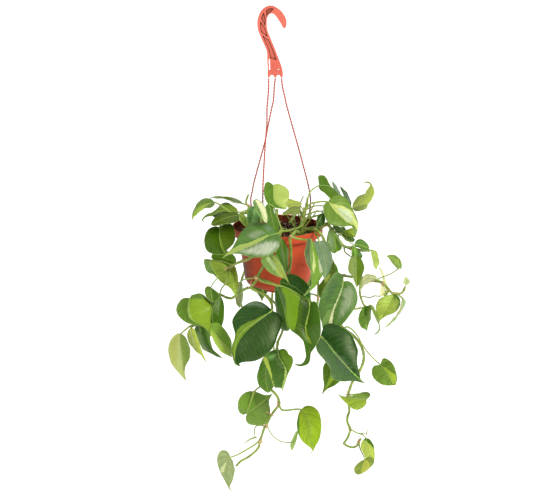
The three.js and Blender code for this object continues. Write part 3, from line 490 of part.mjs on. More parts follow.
    [[-40.4,-100,-644.2],[-40.4,-100,-644.2],[-38.7,-98.1,-643.6],[-31.9,-90,-641.3],[-25.1,-81.3,-639.3],[-18.3,-72,-637.3],[-11.7,-62.1,-635.3],[-4.7,-51.6,-633.8],[2.2,-40.5,-632.3]],
    [[-40.4,-100,-644.2],[-41.3,-114,-651.5],[-31.6,-117,-658.1],[-19,-113.1,-660.6],[-8.1,-102.6,-658.8],[-2.5,-87.4,-652.9],[-2.7,-72.9,-645.2],[-3.8,-58.6,-637.5],[2.2,-40.5,-632.3]]],
  leaf_30: [[[48.7,-92,-640.3],[61.2,-81.4,-637.3],[74.2,-78.5,-645],[81.2,-82.4,-657],[83.2,-89.4,-669.6],[81.8,-97.5,-681.8],[76.9,-106.7,-692.5],[69.5,-116.2,-701.9],[59.1,-126.1,-707.5]],
    [[48.7,-92,-640.3],[48.7,-92,-640.3],[50.5,-92.8,-643],[57.1,-96.5,-654.1],[61.4,-101.4,-665.8],[63.5,-107.3,-677.7],[65.6,-112.6,-689.7],[68.4,-117,-701.9],[59.1,-126.1,-707.5]],
    [[48.7,-92,-640.3],[43.6,-106.3,-645.3],[42.1,-117.4,-652.8],[42.2,-125.4,-661.7],[44.5,-129.6,-671.8],[51.2,-127.6,-682.6],[60.1,-122.6,-692.6],[67.8,-119,-702.6],[59.1,-126.1,-707.5]]],
  small_l56: [[[31.7,-88,-701.3],[33.7,-89.9,-695.2],[35.8,-88.2,-690.7],[38.2,-85.3,-686.9],[41.2,-80.4,-684.3],[44.8,-74.2,-682.6]],
    [[31.7,-88,-701.3],[31.7,-88,-701.3],[36.5,-84.3,-698.8],[39.6,-81.1,-693.5],[42.3,-77.8,-688],[44.8,-74.2,-682.6]],
    [[31.7,-88,-701.3],[32,-92.4,-710.6],[37.6,-88.7,-709.5],[41.2,-83.4,-701.1],[43.9,-78.8,-692],[44.8,-74.2,-682.6]]],
  leaf_32: [[[-68.7,-95,-724.9],[-74.3,-88.2,-716.1],[-86.1,-88,-717.3],[-90.8,-93.2,-727.4],[-89.3,-99.4,-738.2],[-84.9,-105.2,-748.5],[-78.9,-110.2,-758.3],[-72.7,-115.1,-768],[-63.9,-118.5,-775.6]],
    [[-68.7,-95,-724.9],[-68.7,-95,-724.9],[-69.9,-95.9,-726.7],[-74.7,-99.9,-734.4],[-77.2,-104.1,-743],[-76.4,-108.2,-752],[-74.1,-112.2,-760.7],[-70.8,-116.2,-769.2],[-63.9,-118.5,-775.6]],
    [[-68.7,-95,-724.9],[-64.3,-92.6,-732.8],[-62.7,-92.6,-741.1],[-61.5,-93.6,-749],[-62.3,-97.9,-755.4],[-64.2,-103.5,-761.1],[-67.3,-109.9,-765.9],[-69.3,-115.4,-771],[-63.9,-118.5,-775.6]]],
  leaf_29: [[[156.4,-84,-626.7],[163.3,-77,-623],[160.4,-70.6,-618.3],[151.5,-71.1,-617.4],[143,-75.3,-619.3],[134.5,-78.9,-621.2],[125.6,-80.5,-622],[116.8,-79.1,-621.3],[109.6,-73.8,-618.4]],
    [[156.4,-84,-626.7],[156.4,-84,-626.7],[154.5,-84.1,-626.5],[146.5,-84.3,-625.7],[138.6,-84.3,-625],[130.7,-83.8,-624.3],[123,-82.4,-623.3],[115.8,-79.1,-621.4],[109.6,-73.8,-618.4]],
    [[156.4,-84,-626.7],[155.4,-93,-631.7],[148.8,-100.5,-635.1],[140.3,-103.8,-636.1],[132.3,-101.5,-634.3],[126,-95.4,-630.6],[119.6,-89.3,-627.1],[114.1,-81.9,-623],[109.6,-73.8,-618.4]]],
  small_l60a: [[[158.8,-62.6,-703.8],[150.6,-75.9,-705.7],[150,-83.2,-713.6],[153.8,-85.4,-723.1],[159.4,-84.7,-733.1],[167.1,-80.8,-743.1]],
    [[158.8,-62.6,-703.8],[158.8,-62.6,-703.8],[160.7,-67.7,-712.5],[163.4,-72.3,-722.5],[165.6,-76.6,-732.7],[167.1,-80.8,-743.1]],
    [[158.8,-62.6,-703.8],[168.2,-58.2,-710.8],[172.7,-60.7,-720.1],[174.3,-65.4,-729.3],[173.7,-71.4,-738],[167.1,-80.8,-743.1]]],
  small_l60b: [[[156.2,-89.4,-730.1],[148.7,-97.4,-730.4],[142,-105.2,-732.1],[137.4,-112.3,-735.8],[137.7,-116.8,-742],[144.1,-115.4,-746.9]],
    [[156.2,-89.4,-730.1],[156.2,-89.4,-730.1],[154.1,-95.9,-734.1],[151,-102.7,-738.3],[147.5,-109.2,-742.6],[144.1,-115.4,-746.9]],
    [[156.2,-89.4,-730.1],[166.9,-86.2,-728],[171.2,-94,-734.1],[164.1,-103.6,-739.7],[154.8,-111,-744.1],[144.1,-115.4,-746.9]]],
  leaf_14: [[[7.2,-103,-422.5],[5,-101.1,-433.8],[5.8,-103.3,-444.1],[6.6,-105.8,-454.3],[7.9,-108.8,-464.4],[9.7,-112.4,-474.1],[12,-116.3,-483.6],[17.1,-123.7,-490.7],[27.1,-137.5,-487.7]],
    [[7.2,-103,-422.5],[7.2,-103,-422.5],[8.4,-105,-424.7],[13,-113.3,-433.9],[16.8,-120,-443.8],[19.8,-125.5,-454.3],[22.2,-130,-465.3],[24.6,-134,-476.4],[27.1,-137.5,-487.7]],
    [[7.2,-103,-422.5],[17.4,-119.7,-421.1],[25.9,-133.8,-423.5],[31.2,-143,-430.4],[33.6,-147.4,-439.9],[33.9,-148.4,-450.9],[33,-147.1,-462.7],[30.9,-143.8,-474.9],[27.1,-137.5,-487.7]]],
  leaf_33: [[[-37.7,124,-405.6],[-46.1,128.4,-399.2],[-56,127.7,-402.3],[-59.3,124.1,-412.4],[-57.3,119.6,-422.6],[-52.7,114.6,-431.9],[-46.4,109.5,-440.2],[-39.4,104.2,-448],[-34,98.3,-456.5]],
    [[-37.7,124,-405.6],[-37.7,124,-405.6],[-37.5,123.2,-407.7],[-37,119.8,-416],[-36.4,116,-424.3],[-35.8,112,-432.5],[-35.2,107.7,-440.6],[-34.6,103.2,-448.6],[-34,98.3,-456.5]],
    [[-37.7,124,-405.6],[-30.4,130.9,-398.8],[-20.1,133.6,-401.6],[-15.5,131.2,-411.5],[-16.1,126.3,-421.8],[-19.3,120.1,-431.3],[-24.3,113.1,-439.8],[-30,105.8,-447.8],[-34,98.3,-456.5]]],
  leaf_39: [[[-41.4,97.8,-544.6],[-48.1,104,-539.5],[-56.2,105.5,-543.4],[-58.5,103,-552.3],[-57,98.7,-560.9],[-53.6,93.4,-568.6],[-48.8,87.6,-575.4],[-43.5,81.4,-581.7],[-39.5,75.3,-588.8]],
    [[-41.4,97.8,-544.6],[-41.4,97.8,-544.6],[-41.3,97.1,-546.3],[-41,94,-553.6],[-40.7,90.7,-560.8],[-40.4,87.2,-567.9],[-40.1,83.4,-575],[-39.8,79.5,-581.9],[-39.5,75.3,-588.8]],
    [[-41.4,97.8,-544.6],[-35.4,102.7,-538.6],[-27.1,102.5,-541.3],[-24.1,99.5,-549.8],[-24.8,95.4,-558.5],[-27.5,90.8,-566.7],[-31.6,85.8,-574.1],[-36.2,80.7,-581.2],[-39.5,75.3,-588.8]]],
  leaf_36: [[[-16.7,125,-449.7],[-27.5,135,-442.4],[-41.2,136.3,-445.2],[-47.3,129.3,-456.7],[-45.6,119.1,-468.8],[-40.1,108,-479.6],[-32.1,96.7,-488.9],[-23.2,85.3,-497.5],[-16.5,73,-507]],
    [[-16.7,125,-449.7],[-16.7,125,-449.7],[-16.7,123.2,-452.1],[-16.7,115.8,-461.6],[-16.7,108,-471],[-16.6,99.8,-480.3],[-16.6,91.2,-489.3],[-16.6,82.3,-498.2],[-16.5,73,-507]],
    [[-16.7,125,-449.7],[-6.1,135.1,-442.4],[7.6,136.4,-445.3],[13.8,129.4,-456.8],[12.2,119.3,-468.9],[6.7,108.1,-479.6],[-1.2,96.8,-489],[-9.9,85.3,-497.5],[-16.5,73,-507]]],
  leaf_34: [[[23.8,126.9,-432],[12.5,136.6,-426.4],[-0.2,137.9,-430.9],[-4.5,131.3,-442.6],[-1.2,121.6,-453.9],[5.7,111,-463.5],[14.6,100.1,-471.3],[24.4,89.1,-478.3],[32.1,77.2,-486.5]],
    [[23.8,126.9,-432],[23.8,126.9,-432],[24.1,125.2,-434.2],[25.4,118.1,-443.3],[26.8,110.7,-452.2],[28.2,102.8,-461],[29.5,94.7,-469.7],[30.8,86.1,-478.2],[32.1,77.2,-486.5]],
    [[23.8,126.9,-432],[32.7,136.4,-423.6],[46,137.5,-424.4],[53.5,130.9,-434.5],[53.6,121.2,-446.3],[50,110.6,-457.3],[43.9,99.8,-467.2],[36.9,89,-476.5],[32.1,77.2,-486.5]]],
  leaf_35: [[[70.8,109,-437.8],[63.8,117.7,-430],[52.3,121,-431.4],[45.6,117.4,-440.9],[44.8,110.4,-451.7],[47,102,-461.8],[51.4,92.8,-471],[56.6,83.3,-479.7],[59.8,73.5,-489]],
    [[70.8,109,-437.8],[70.8,109,-437.8],[70.4,107.8,-439.8],[68.7,102.9,-448.3],[66.9,97.7,-456.7],[65.1,92.1,-464.9],[63.4,86.2,-473.1],[61.6,80,-481.1],[59.8,73.5,-489]],
    [[70.8,109,-437.8],[81.1,114.4,-432.3],[91.8,113.1,-436.4],[94.5,107.7,-447.1],[90.9,101.2,-457.5],[84.4,94.5,-466.5],[76.1,87.9,-474.1],[67.2,81.2,-481],[59.8,73.5,-489]]],
  leaf_37: [[[46.8,112,-515.8],[37.7,119.9,-509.7],[26.7,121.2,-513.8],[23,116.7,-524.7],[25.1,109.9,-535.3],[30,102.1,-544.7],[36.8,93.8,-552.9],[44.2,85.3,-560.4],[49.9,76.4,-568.8]],
    [[46.8,112,-515.8],[46.8,112,-515.8],[46.9,110.8,-518],[47.4,105.8,-526.7],[47.9,100.5,-535.4],[48.4,94.9,-543.9],[48.9,89,-552.3],[49.4,82.8,-560.6],[49.9,76.4,-568.8]],
    [[46.8,112,-515.8],[55,119.2,-508.5],[66.4,119.6,-510.9],[71.4,114.8,-521.1],[70.5,108.1,-532],[66.8,100.6,-542],[61.1,92.8,-551.1],[54.6,84.9,-559.6],[49.9,76.4,-568.8]]],
  leaf_38: [[[-23.9,106.2,-543.6],[-30.2,112.2,-537.2],[-39.2,112.2,-540],[-42.7,108.6,-548.9],[-42.2,103.6,-558.1],[-39.5,98,-566.7],[-35.3,92,-574.7],[-30.5,85.8,-582.2],[-27.2,79.3,-590.2]],
    [[-23.9,106.2,-543.6],[-23.9,106.2,-543.6],[-24,105.3,-545.5],[-24.5,101.5,-553.2],[-25.1,97.5,-560.8],[-25.6,93.3,-568.3],[-26.2,88.9,-575.7],[-26.7,84.2,-583],[-27.2,79.3,-590.2]],
    [[-23.9,106.2,-543.6],[-16.6,113.1,-538.4],[-8,114.2,-542.8],[-5.8,110.9,-552.3],[-7.7,105.8,-561.3],[-11.5,99.7,-569.3],[-16.9,93.1,-576.4],[-22.8,86.3,-582.9],[-27.2,79.3,-590.2]]],
  small_l04b: [[[-52.5,-55.4,-318.9],[-61.9,-42.8,-316.6],[-73.5,-38.5,-318.7],[-84.6,-37.1,-322.3],[-94.1,-40.6,-327.9],[-98,-53.9,-335.1]],
    [[-52.5,-55.4,-318.9],[-52.5,-55.4,-318.9],[-63.6,-53.3,-321],[-75.5,-52.5,-324.7],[-86.9,-53.1,-329.6],[-98,-53.9,-335.1]],
    [[-52.5,-55.4,-318.9],[-54.3,-71.1,-324.1],[-64.7,-72.4,-327.4],[-75.7,-69,-330.2],[-86.8,-64.5,-333.4],[-98,-53.9,-335.1]]],
};

// ---- stems and petioles: [radius at start, radius at end, points, small blade grown on the end, separate blade to stop short of] ----
const VINES = {
  vine_left_upper: [
    [2.20, 1.40, [[-15.6,-28,-347.1],[-22.1,-30,-331.3],[-30.2,-30,-317.8],[-37.6,-26,-310.4],[-41.7,-22,-305.5],[-40.1,-22,-297.9],[-37.6,-22,-292]], null],
    [1.33, 0.99, [[-35.6,-27.4,-312.3],[-44.9,-36.1,-320.1],[-54.6,-36.6,-323.5],[-64.2,-39.9,-318.9],[-74.6,-38.7,-312.1],[-85.4,-33.7,-305.5],[-94,-25,-303.9],[-95.9,-24.4,-304.6]], 'small_l02'],
    [1.21, 0.90, [[-37.7,-25.9,-310.2],[-39.7,-20.7,-310.6],[-41.7,-15.5,-310.9],[-43.8,-10.3,-311.4],[-45.8,-5.2,-312],[-47.9,0,-312.6],[-49.6,1.3,-312.4]], 'small_l03'],
    [1.38, 1.02, [[-30.1,-30,-317.9],[-35,-29.3,-319.3],[-39.9,-28.6,-320.5],[-45,-27.5,-321],[-49.9,-26.2,-320.9],[-53.7,-25,-320.9]], null, 'leaf_03'],
    [1.23, 0.91, [[-25.8,-30.4,-324.4],[-38.5,-24,-321],[-55.1,-16,-328.1],[-71.5,-18,-334.4],[-82,-27,-340.5],[-84.6,-34.9,-343.7]], null, 'leaf_06'],
    [1.04, 0.77, [[-22.4,-30,-330.7],[-22.6,-43.5,-320.5],[-23.2,-55.7,-309.9],[-25.6,-68.9,-298.6],[-27.5,-85,-288.9],[-27.6,-101.9,-282],[-26.6,-103.8,-282.4]], 'small_l21'],
    [0.96, 0.71, [[-25.8,-30.4,-324.4],[-27,-36.1,-319],[-28,-41.9,-313.7],[-28.4,-48.2,-308.9],[-28,-55,-305.1],[-27.3,-62,-301.4],[-27.4,-64.2,-301.7]], 'small_l24'],
    [0.88, 0.65, [[-23.9,-30.2,-327.8],[-28.9,-34.6,-321.5],[-34.3,-39.4,-315.7],[-41.2,-45.1,-313],[-47.3,-51.9,-313.1],[-50.8,-60,-316],[-49.6,-61.1,-317.5]], 'small_l24b'],
    [1.11, 0.82, [[-25.8,-30.4,-324.4],[-29.7,-36.6,-321.7],[-33.6,-42.8,-319.1],[-39.2,-47.7,-317.6],[-46.2,-51,-317.9],[-52.5,-55.4,-318.9],[-54.7,-55,-319.2]], 'small_l04b'],
  ],
  vine_left_side: [
    [2.40, 1.90, [[2.4,-50,-342],[-5.6,-72,-329.5],[-15.1,-92,-331.7],[-20.8,-88,-351],[-23.3,-80,-369.9],[-33.1,-76,-383.6],[-42.9,-74,-388.9],[-54.3,-70,-394.2],[-62.5,-67,-399.3],[-69.1,-64,-405.5]], null],
    [1.06, 0.78, [[-42.4,-74.1,-388.6],[-46.3,-63.7,-393.5],[-49.7,-53.3,-398],[-52.9,-42.7,-402],[-55.9,-31.8,-405.5],[-58.5,-22,-408.6]], null, 'leaf_11'],
    [1.13, 0.84, [[-66.5,-65.2,-402.9],[-66.8,-63.8,-404.1],[-67,-62.3,-405.3],[-67.3,-60.9,-406.5],[-67.8,-59.9,-408],[-68.1,-59.9,-408.7]], null, 'leaf_12'],
    [1.02, 0.75, [[-61.9,-67.2,-398.9],[-67.9,-60.1,-399.1],[-73.4,-53.2,-399],[-79.3,-46.6,-399],[-84.1,-39.3,-400],[-86.5,-31.2,-402.5],[-88.4,-31.1,-403.6]], 'small_l07b'],
    [0.92, 0.68, [[-69.1,-64,-405.5],[-74.4,-78,-406.7],[-81.5,-86,-410.4],[-88.7,-88,-416.7],[-94.7,-82,-425.6],[-98.8,-72,-435.2],[-99.2,-72,-437.3]], 'small_l10a'],
    [1.26, 0.93, [[-69.1,-64,-405.5],[-70.5,-77.8,-408.9],[-71,-82.9,-416.1],[-73.8,-82.5,-424.8],[-79.7,-72.5,-434.6],[-83.3,-62.1,-444.4],[-84.6,-60.5,-450.9]], null, 'leaf_18'],
  ],
  vine_front: [
    [2.50, 2.10, [[18.6,-58,-344.1],[16.1,-74,-337.3],[12.8,-92,-343.2],[8.8,-88,-359.3],[-2.4,-80,-379.9],[-12.1,-76,-397],[-18.6,-76,-408],[-22.7,-78,-417.6],[-28.4,-80,-426.3],[-34.3,-82,-432.6]], null],
    [2.20, 1.70, [[-34.3,-82,-432.6],[-43,-80,-435.6],[-51.2,-78,-441.8],[-59.4,-76,-449.3],[-66,-72,-454],[-74.5,-62,-455.4],[-82.1,-54,-454.4],[-91.4,-48,-454.7],[-102.1,-48,-458.2],[-109.6,-50,-467.4],[-113,-52,-480.6],[-113.1,-54,-495.6],[-117.9,-58,-504.6],[-122.8,-60,-507.4]], null],
    [2.10, 1.80, [[-34.3,-82,-432.6],[-25.1,-86,-437.1],[-15.4,-90,-440.1],[-7.3,-92,-444.2],[0,-90,-452],[6.5,-86,-459.2],[12.2,-84,-475.2],[17.1,-84,-494.1],[17.9,-86,-505.5],[13.9,-88,-515.1],[10.1,-90,-523.9],[8.7,-90,-533.4]], null],
    [1.43, 1.06, [[-106.9,-49.1,-463],[-110.8,-56.2,-458.1],[-115,-63.5,-453.9],[-120.3,-70.8,-451],[-126.2,-78,-449.6],[-131.7,-84.1,-450.1]], null, 'leaf_17'],
    [1.42, 1.05, [[-119.7,-58.8,-505.9],[-126.5,-59.1,-504.2],[-133.3,-59.4,-505.7],[-139,-59.6,-509.8],[-144.4,-59.8,-514.4],[-148.6,-60,-518.4]], null, 'leaf_24'],
    [1.30, 0.96, [[-119.7,-58.8,-505.9],[-122.2,-60.2,-505],[-124.7,-61.7,-504.1],[-127.4,-63.2,-504.2],[-129.9,-64.6,-505.2],[-132.4,-66,-506.3],[-133.3,-67,-508]], 'small_l12'],
    [1.40, 1.04, [[-113.1,-54,-495.6],[-114.9,-57.6,-496.9],[-116.5,-61.1,-497.8],[-117.6,-64.7,-499],[-118.2,-68.4,-500.3],[-118.7,-70.9,-501.2]], null, 'leaf_23'],
    [1.25, 0.93, [[-113.1,-54,-495.6],[-110.7,-63.7,-496.9],[-108.2,-73.2,-497.3],[-106,-82.8,-497.1],[-102.1,-91.3,-494.5],[-97.1,-96.8,-490.1]], null, 'leaf_21'],
    [1.06, 0.78, [[-22.3,-77.8,-416.8],[-31.5,-74.2,-419.2],[-38.7,-68,-421.9],[-43.8,-60.1,-425.2],[-47.5,-52.1,-429.6],[-50.2,-44,-434.8],[-50.5,-44.2,-436.9]], 'small_l08'],
    [1.22, 0.90, [[4.7,-84.8,-367.7],[3.3,-87.5,-368.9],[2.3,-90.5,-369.6],[1.7,-93.6,-369.6],[1.2,-96.8,-369.4],[1,-98.8,-369.3]], null, 'leaf_08'],
    [1.24, 0.91, [[12.5,-92.3,-344],[13.3,-90.6,-344.1],[14,-89,-344.8],[14.4,-87.7,-345.8],[14.8,-86.5,-347.1],[15.2,-85.3,-348.4],[15.5,-86,-350.5]], 'small_l19'],
    [1.12, 0.83, [[16,-74.3,-337.3],[13,-71,-328.3],[9.8,-68.2,-319.1],[6.6,-69.2,-309.7],[3.3,-72.6,-300.7],[-4,-73.6,-295.2],[-5.6,-75.1,-295.4]], 'small_l23'],
    [1.72, 1.27, [[-6.8,-92,-444.6],[-3.5,-97.1,-448.6],[-0.7,-103.3,-452],[1,-110.2,-454.5],[1.3,-117.5,-456.2],[0.9,-123.8,-457.3]], null, 'leaf_19'],
    [1.72, 1.27, [[-22.3,-77.8,-416.8],[-15.3,-88,-419.9],[-4.8,-104,-418],[6.4,-116,-417.2],[21.5,-124.4,-419.4],[38.9,-128.4,-427.9],[50.6,-133.1,-434.6],[59.3,-148.8,-436]], null, 'leaf_15'],
    [1.39, 1.03, [[-22.3,-77.8,-416.8],[-14.6,-79.2,-420],[-7.1,-82.7,-421.1],[-0.7,-88.1,-421.3],[3.6,-95.3,-421.9],[6.7,-101.9,-422.5]], null, 'leaf_14'],
    [1.34, 0.99, [[10.2,-90,-523.6],[10,-93.9,-525.4],[9.7,-97.8,-527.2],[9.9,-101.8,-528.7],[10.4,-105.9,-529.9],[10.8,-108.9,-530.7]], null, 'leaf_25'],
  ],
  vine_middle: [
    [2.30, 2.00, [[46.2,-56,-348.5],[39.3,-79,-339.1],[30.1,-99,-343.7],[30.5,-99,-356],[31.2,-95,-373.8],[30.4,-90,-392.1],[28.5,-86,-405],[33.2,-82,-433.3],[44.7,-82,-462.2],[54.5,-86,-490],[61.1,-92,-515.4],[74.1,-96,-522.6],[82.3,-98,-537.4],[90.6,-98,-551.3]], null],
    [1.62, 1.20, [[30.8,-97.5,-342.3],[39.3,-99.7,-345.1],[48,-101.9,-346.1],[54.7,-107.7,-345],[58.5,-115.6,-342.7],[61.7,-122.5,-340.7]], null, 'leaf_05'],
    [1.19, 0.88, [[39.4,-81.5,-449.7],[49.1,-83.6,-453.8],[53.8,-92.7,-451.8],[56.2,-102.4,-448.2],[58.3,-112,-444.5],[60.3,-120.6,-441.3]], null, 'leaf_16'],
    [1.17, 0.87, [[90.6,-98,-551.3],[92.5,-99.2,-552.2],[94.4,-100.4,-553.2],[96.3,-101.6,-554.1],[98.2,-102.8,-555.1],[99.2,-103.4,-555.5]], null, 'leaf_27'],
    [1.65, 1.22, [[60.9,-91.9,-515.2],[67.6,-101.5,-512.1],[71.5,-112.1,-508],[74,-123,-503.5],[76.1,-134,-498.9],[78.1,-143.8,-494.9]], null, 'leaf_22'],
  ],
  vine_crown: [
    [2.40, 1.60, [[50,-30,-353.3],[49.1,-30,-343.1],[51.6,-26,-330.6],[54.9,-22,-318.1],[58.1,-20,-306.8],[59,-18,-298]], null],
    [1.60, 1.18, [[49.1,-30,-343.1],[41.4,-52,-341.2],[32.9,-80,-336.2],[23,-104,-331.8],[14.2,-113,-329.3],[10.8,-119.3,-331.2]], null, 'leaf_04'],
    [1.20, 0.89, [[50.5,-27.7,-335.3],[42.4,-17.6,-323.5],[33.6,-7.7,-311],[23.6,-5.8,-298],[14.1,-13.3,-285.2],[4,-22.8,-277.2]], null, 'leaf_01'],
    [0.90, 0.67, [[53.3,-23.8,-324],[52.5,-24,-321],[51.6,-24.3,-318.1],[50.5,-23.7,-315.4],[49,-21.9,-313.6],[47.5,-19.7,-311.9],[45.9,-18.4,-311.2]], 'small_l25a'],
    [1.06, 0.78, [[51.9,-25.6,-329.4],[51.1,-28.1,-325.8],[50.2,-30.7,-322.2],[49.3,-33.6,-319.1],[48.2,-36.9,-316.3],[47.1,-40.3,-313.5],[45.1,-41,-313.2]], 'small_l25b'],
    [1.12, 0.83, [[57.7,-20.4,-308.9],[59.5,-16.7,-300.7],[61.8,-12.8,-293],[66.6,-7.6,-287.6],[72.4,-1.4,-284.9],[78.4,5.1,-283.3],[80.5,4.5,-283.2]], 'small_l26'],
    [0.99, 0.73, [[54.8,-22.1,-318.6],[63.6,-7.4,-317.9],[74.2,5.8,-318.1],[89.1,14.1,-320],[103.2,23.4,-318.1],[117,30,-310.6],[117.7,31.4,-309]], 'small_l27'],
    [1.06, 0.78, [[52.4,-24.8,-327.2],[64.1,-9.6,-326.8],[77.9,3.6,-326.9],[95.8,10.4,-328.2],[114.1,16.4,-328.7],[131.9,22,-324.1],[132.9,23.2,-322.6]], 'small_l27b'],
    [1.39, 1.02, [[54,-22.9,-321.3],[58.6,-23.5,-312.8],[65.5,-24.5,-306.4],[74.6,-26.1,-303.9],[83.9,-28,-302.3],[91,-32.5,-301.9]], null, 'leaf_02'],
    [1.40, 1.03, [[50.8,-27.2,-333.9],[64.1,-12.7,-333.3],[79.6,-0.8,-332.5],[98.7,3.6,-332.1],[118,3,-328.9],[133.7,-5,-320.4],[135.2,-4.1,-319.1]], 'small_l29'],
    [0.89, 0.66, [[49.4,-29.4,-340.3],[56,-31.7,-333],[62.1,-34.6,-325.7],[67,-38.8,-318],[75.5,-41.7,-314.3],[84.5,-42,-318.1],[85.5,-42.9,-319.9]], 'small_l31'],
  ],
  vine_right_rim: [
    [2.40, 2.00, [[55.1,-24,-350.7],[68.2,-24,-347.7],[81.1,-30,-346.2],[90.7,-34,-339.1],[99,-34,-348.6],[107.2,-36,-360.1],[113.8,-38,-369.8],[118.8,-38,-375.3],[128.8,-36,-378.9],[139.6,-34,-381.5],[149,-30,-385],[160.7,-26,-385.8]], null],
    [1.30, 1.00, [[118.8,-38,-375.3],[121,-30,-387.4],[129.6,-26,-395.4],[135.2,-24,-399.4]], null],
    [1.05, 0.78, [[90.1,-33.9,-339.1],[90.4,-38.3,-339.1],[90.5,-42.7,-338.4],[90.8,-47.2,-338],[92.8,-50.3,-339.2],[95.9,-49.2,-342.3],[96.7,-50.3,-344]], 'small_l32'],
    [0.86, 0.63, [[106.7,-35.8,-359.3],[108.7,-35.2,-358.7],[110.6,-33.1,-357.8],[112.6,-31.1,-357],[114.6,-29,-356.2],[116.7,-25.2,-355.5],[118.6,-24.1,-355.3]], 'small_l30'],
    [0.96, 0.71, [[99,-34,-348.5],[102.5,-25.4,-348.3],[105.9,-20.4,-348.1],[108.8,-15.6,-348.9],[111.4,-11.2,-350.1],[114.1,-8.6,-351.4],[115.8,-8.3,-352.7]], 'small_l30b'],
    [0.83, 0.61, [[90.1,-33.9,-339.1],[92.1,-31.1,-340.1],[94,-28.4,-340.7],[96.2,-25.8,-341.4],[98.6,-23.7,-342.5],[101.1,-21.7,-343.6],[102.6,-22.6,-345]], 'small_l30c'],
    [0.88, 0.65, [[99,-34,-348.5],[106.9,-37.1,-352.6],[114.6,-38.4,-357.4],[121.9,-38,-363],[128.6,-36.4,-369],[136.2,-35,-374],[138.4,-34.8,-374]], 'small_l33'],
    [0.92, 0.68, [[127.8,-36.2,-378.6],[129.2,-37.4,-377.6],[130.1,-38.7,-376.4],[131.3,-39.8,-375.3],[132.9,-39.5,-374.4],[134.3,-38.2,-374],[136.2,-37.8,-375.1]], 'small_l34'],
    [1.13, 0.83, [[135.2,-24,-399.4],[135.6,-30.4,-396.9],[136,-36.7,-394.4],[136.3,-43.1,-392],[136.6,-49.4,-389.9],[136.8,-54.7,-388.1]], null, 'leaf_09'],
    [0.95, 0.70, [[160.7,-26,-385.8],[162.3,-25.9,-385.8],[163.8,-25.7,-385.7],[165.3,-25.6,-385.7],[166.8,-25.3,-385.9],[168.2,-25,-386.3],[168.8,-25.6,-388.3]], 'small_l36'],
  ],
  vine_right_low: [
    [2.30, 1.80, [[61.5,-30,-351.6],[70.7,-52,-343],[77.3,-72,-342.9],[81.4,-70,-348.3],[86.8,-60,-362.5],[92.9,-52,-377.4],[97.3,-48,-390.8],[99.2,-46,-406.7],[102.8,-42,-419.9],[118.1,-34,-427],[135.1,-25.7,-431.6],[150.3,-19.7,-434.6],[160.5,-15.5,-439.2],[170.5,-15.7,-441.4],[185.3,-23,-443.2],[193.7,-26.2,-452.2],[200.3,-27.5,-458.7],[207.8,-26.8,-460.4],[216.5,-22.4,-460.7],[221.7,-18.2,-455.5]], null],
    [1.90, 1.50, [[149.3,-24,-434.8],[147.4,-30,-442.5],[146.1,-36,-452.8],[148,-40,-463.7],[152.9,-44,-474.5],[159.5,-46,-477.9]], null],
    [1.50, 1.50, [[153.4,-45,-478.2],[139.4,-50,-479.2],[127.6,-56.1,-478.4],[117.5,-62.5,-482.5],[110.7,-71.4,-493.6],[113.7,-79.8,-501.8]], null],
    [1.00, 0.90, [[146.2,-39.2,-462.2],[154.9,-38.4,-462],[161.8,-37.5,-463.9],[170.3,-39.6,-460.2],[180.7,-39.1,-460.3],[193.7,-36.2,-452.2]], null],
    [1.26, 0.93, [[70.8,-52.3,-342.9],[71.9,-59.1,-350.2],[73.1,-66,-349.4],[74.2,-72.8,-348.9],[75.4,-79.5,-349.7],[76.1,-82.7,-354.1]], null, 'leaf_07'],
    [1.28, 0.95, [[104.2,-41.1,-421.3],[95.1,-48.7,-413.9],[92.9,-54.9,-403.6],[94.6,-60.6,-396.4],[97.6,-62,-395],[99.7,-61.6,-395.3]], null, 'leaf_10'],
    [1.50, 1.11, [[117.8,-34.1,-426.9],[116.5,-47.3,-425.9],[116,-60.2,-424.7],[115.5,-72.9,-422.5],[115.2,-85.6,-419.9],[114.9,-97.1,-417.5]], null, 'leaf_13'],
    [1.03, 0.76, [[184.8,-22.7,-443],[182.8,-21.4,-441.6],[180.6,-21,-440.2],[178.3,-21.2,-439.1],[175.9,-21.6,-438.1],[173.6,-22,-437.2],[171.7,-22.8,-436.3]], 'small_l38'],
    [1.16, 0.86, [[194.1,-26.3,-452.6],[193.8,-26.3,-455.5],[193.3,-26.2,-458.3],[192.5,-26.1,-460.9],[190.5,-26.1,-462.7],[188,-26,-463.8],[186.3,-24.6,-463.4]], 'small_l39'],
    [0.92, 0.68, [[172.4,-16.4,-441.7],[179.5,-15.1,-437.3],[188.3,-13.8,-434.1],[197.2,-12.5,-430.8],[205.6,-11.3,-426.1],[213.2,-10,-419.9],[213.7,-9.1,-418]], 'small_l37'],
    [1.13, 0.84, [[200.8,-27.5,-458.9],[201.5,-27.8,-459.2],[201.6,-28.9,-459.3],[201.8,-29.5,-459.8],[202.2,-29.1,-460.6],[202.3,-29,-460.6]], null, 'leaf_20'],
    [1.34, 0.99, [[207.5,-26.9,-460.4],[210.8,-25.9,-462.4],[213,-26,-464.2],[215.2,-26,-466],[217.3,-26,-467.9],[219.4,-26,-469.9],[219.2,-26.2,-472.1]], 'small_l41'],
    [0.80, 0.59, [[221.7,-18.2,-455.5],[222.3,-17.6,-454.1],[222.9,-17.3,-452.8],[223.3,-16.9,-451.4],[223.6,-16.5,-450],[223.9,-16,-448.6],[224.5,-14.9,-446.8]], 'small_l42'],
    [1.08, 0.80, [[159.5,-46,-477.9],[160,-48.2,-476.2],[160.4,-50.5,-474.6],[160.8,-52.9,-473.2],[160.9,-55.4,-472],[161,-58,-470.8],[160.5,-60,-471.6]], 'small_l43'],
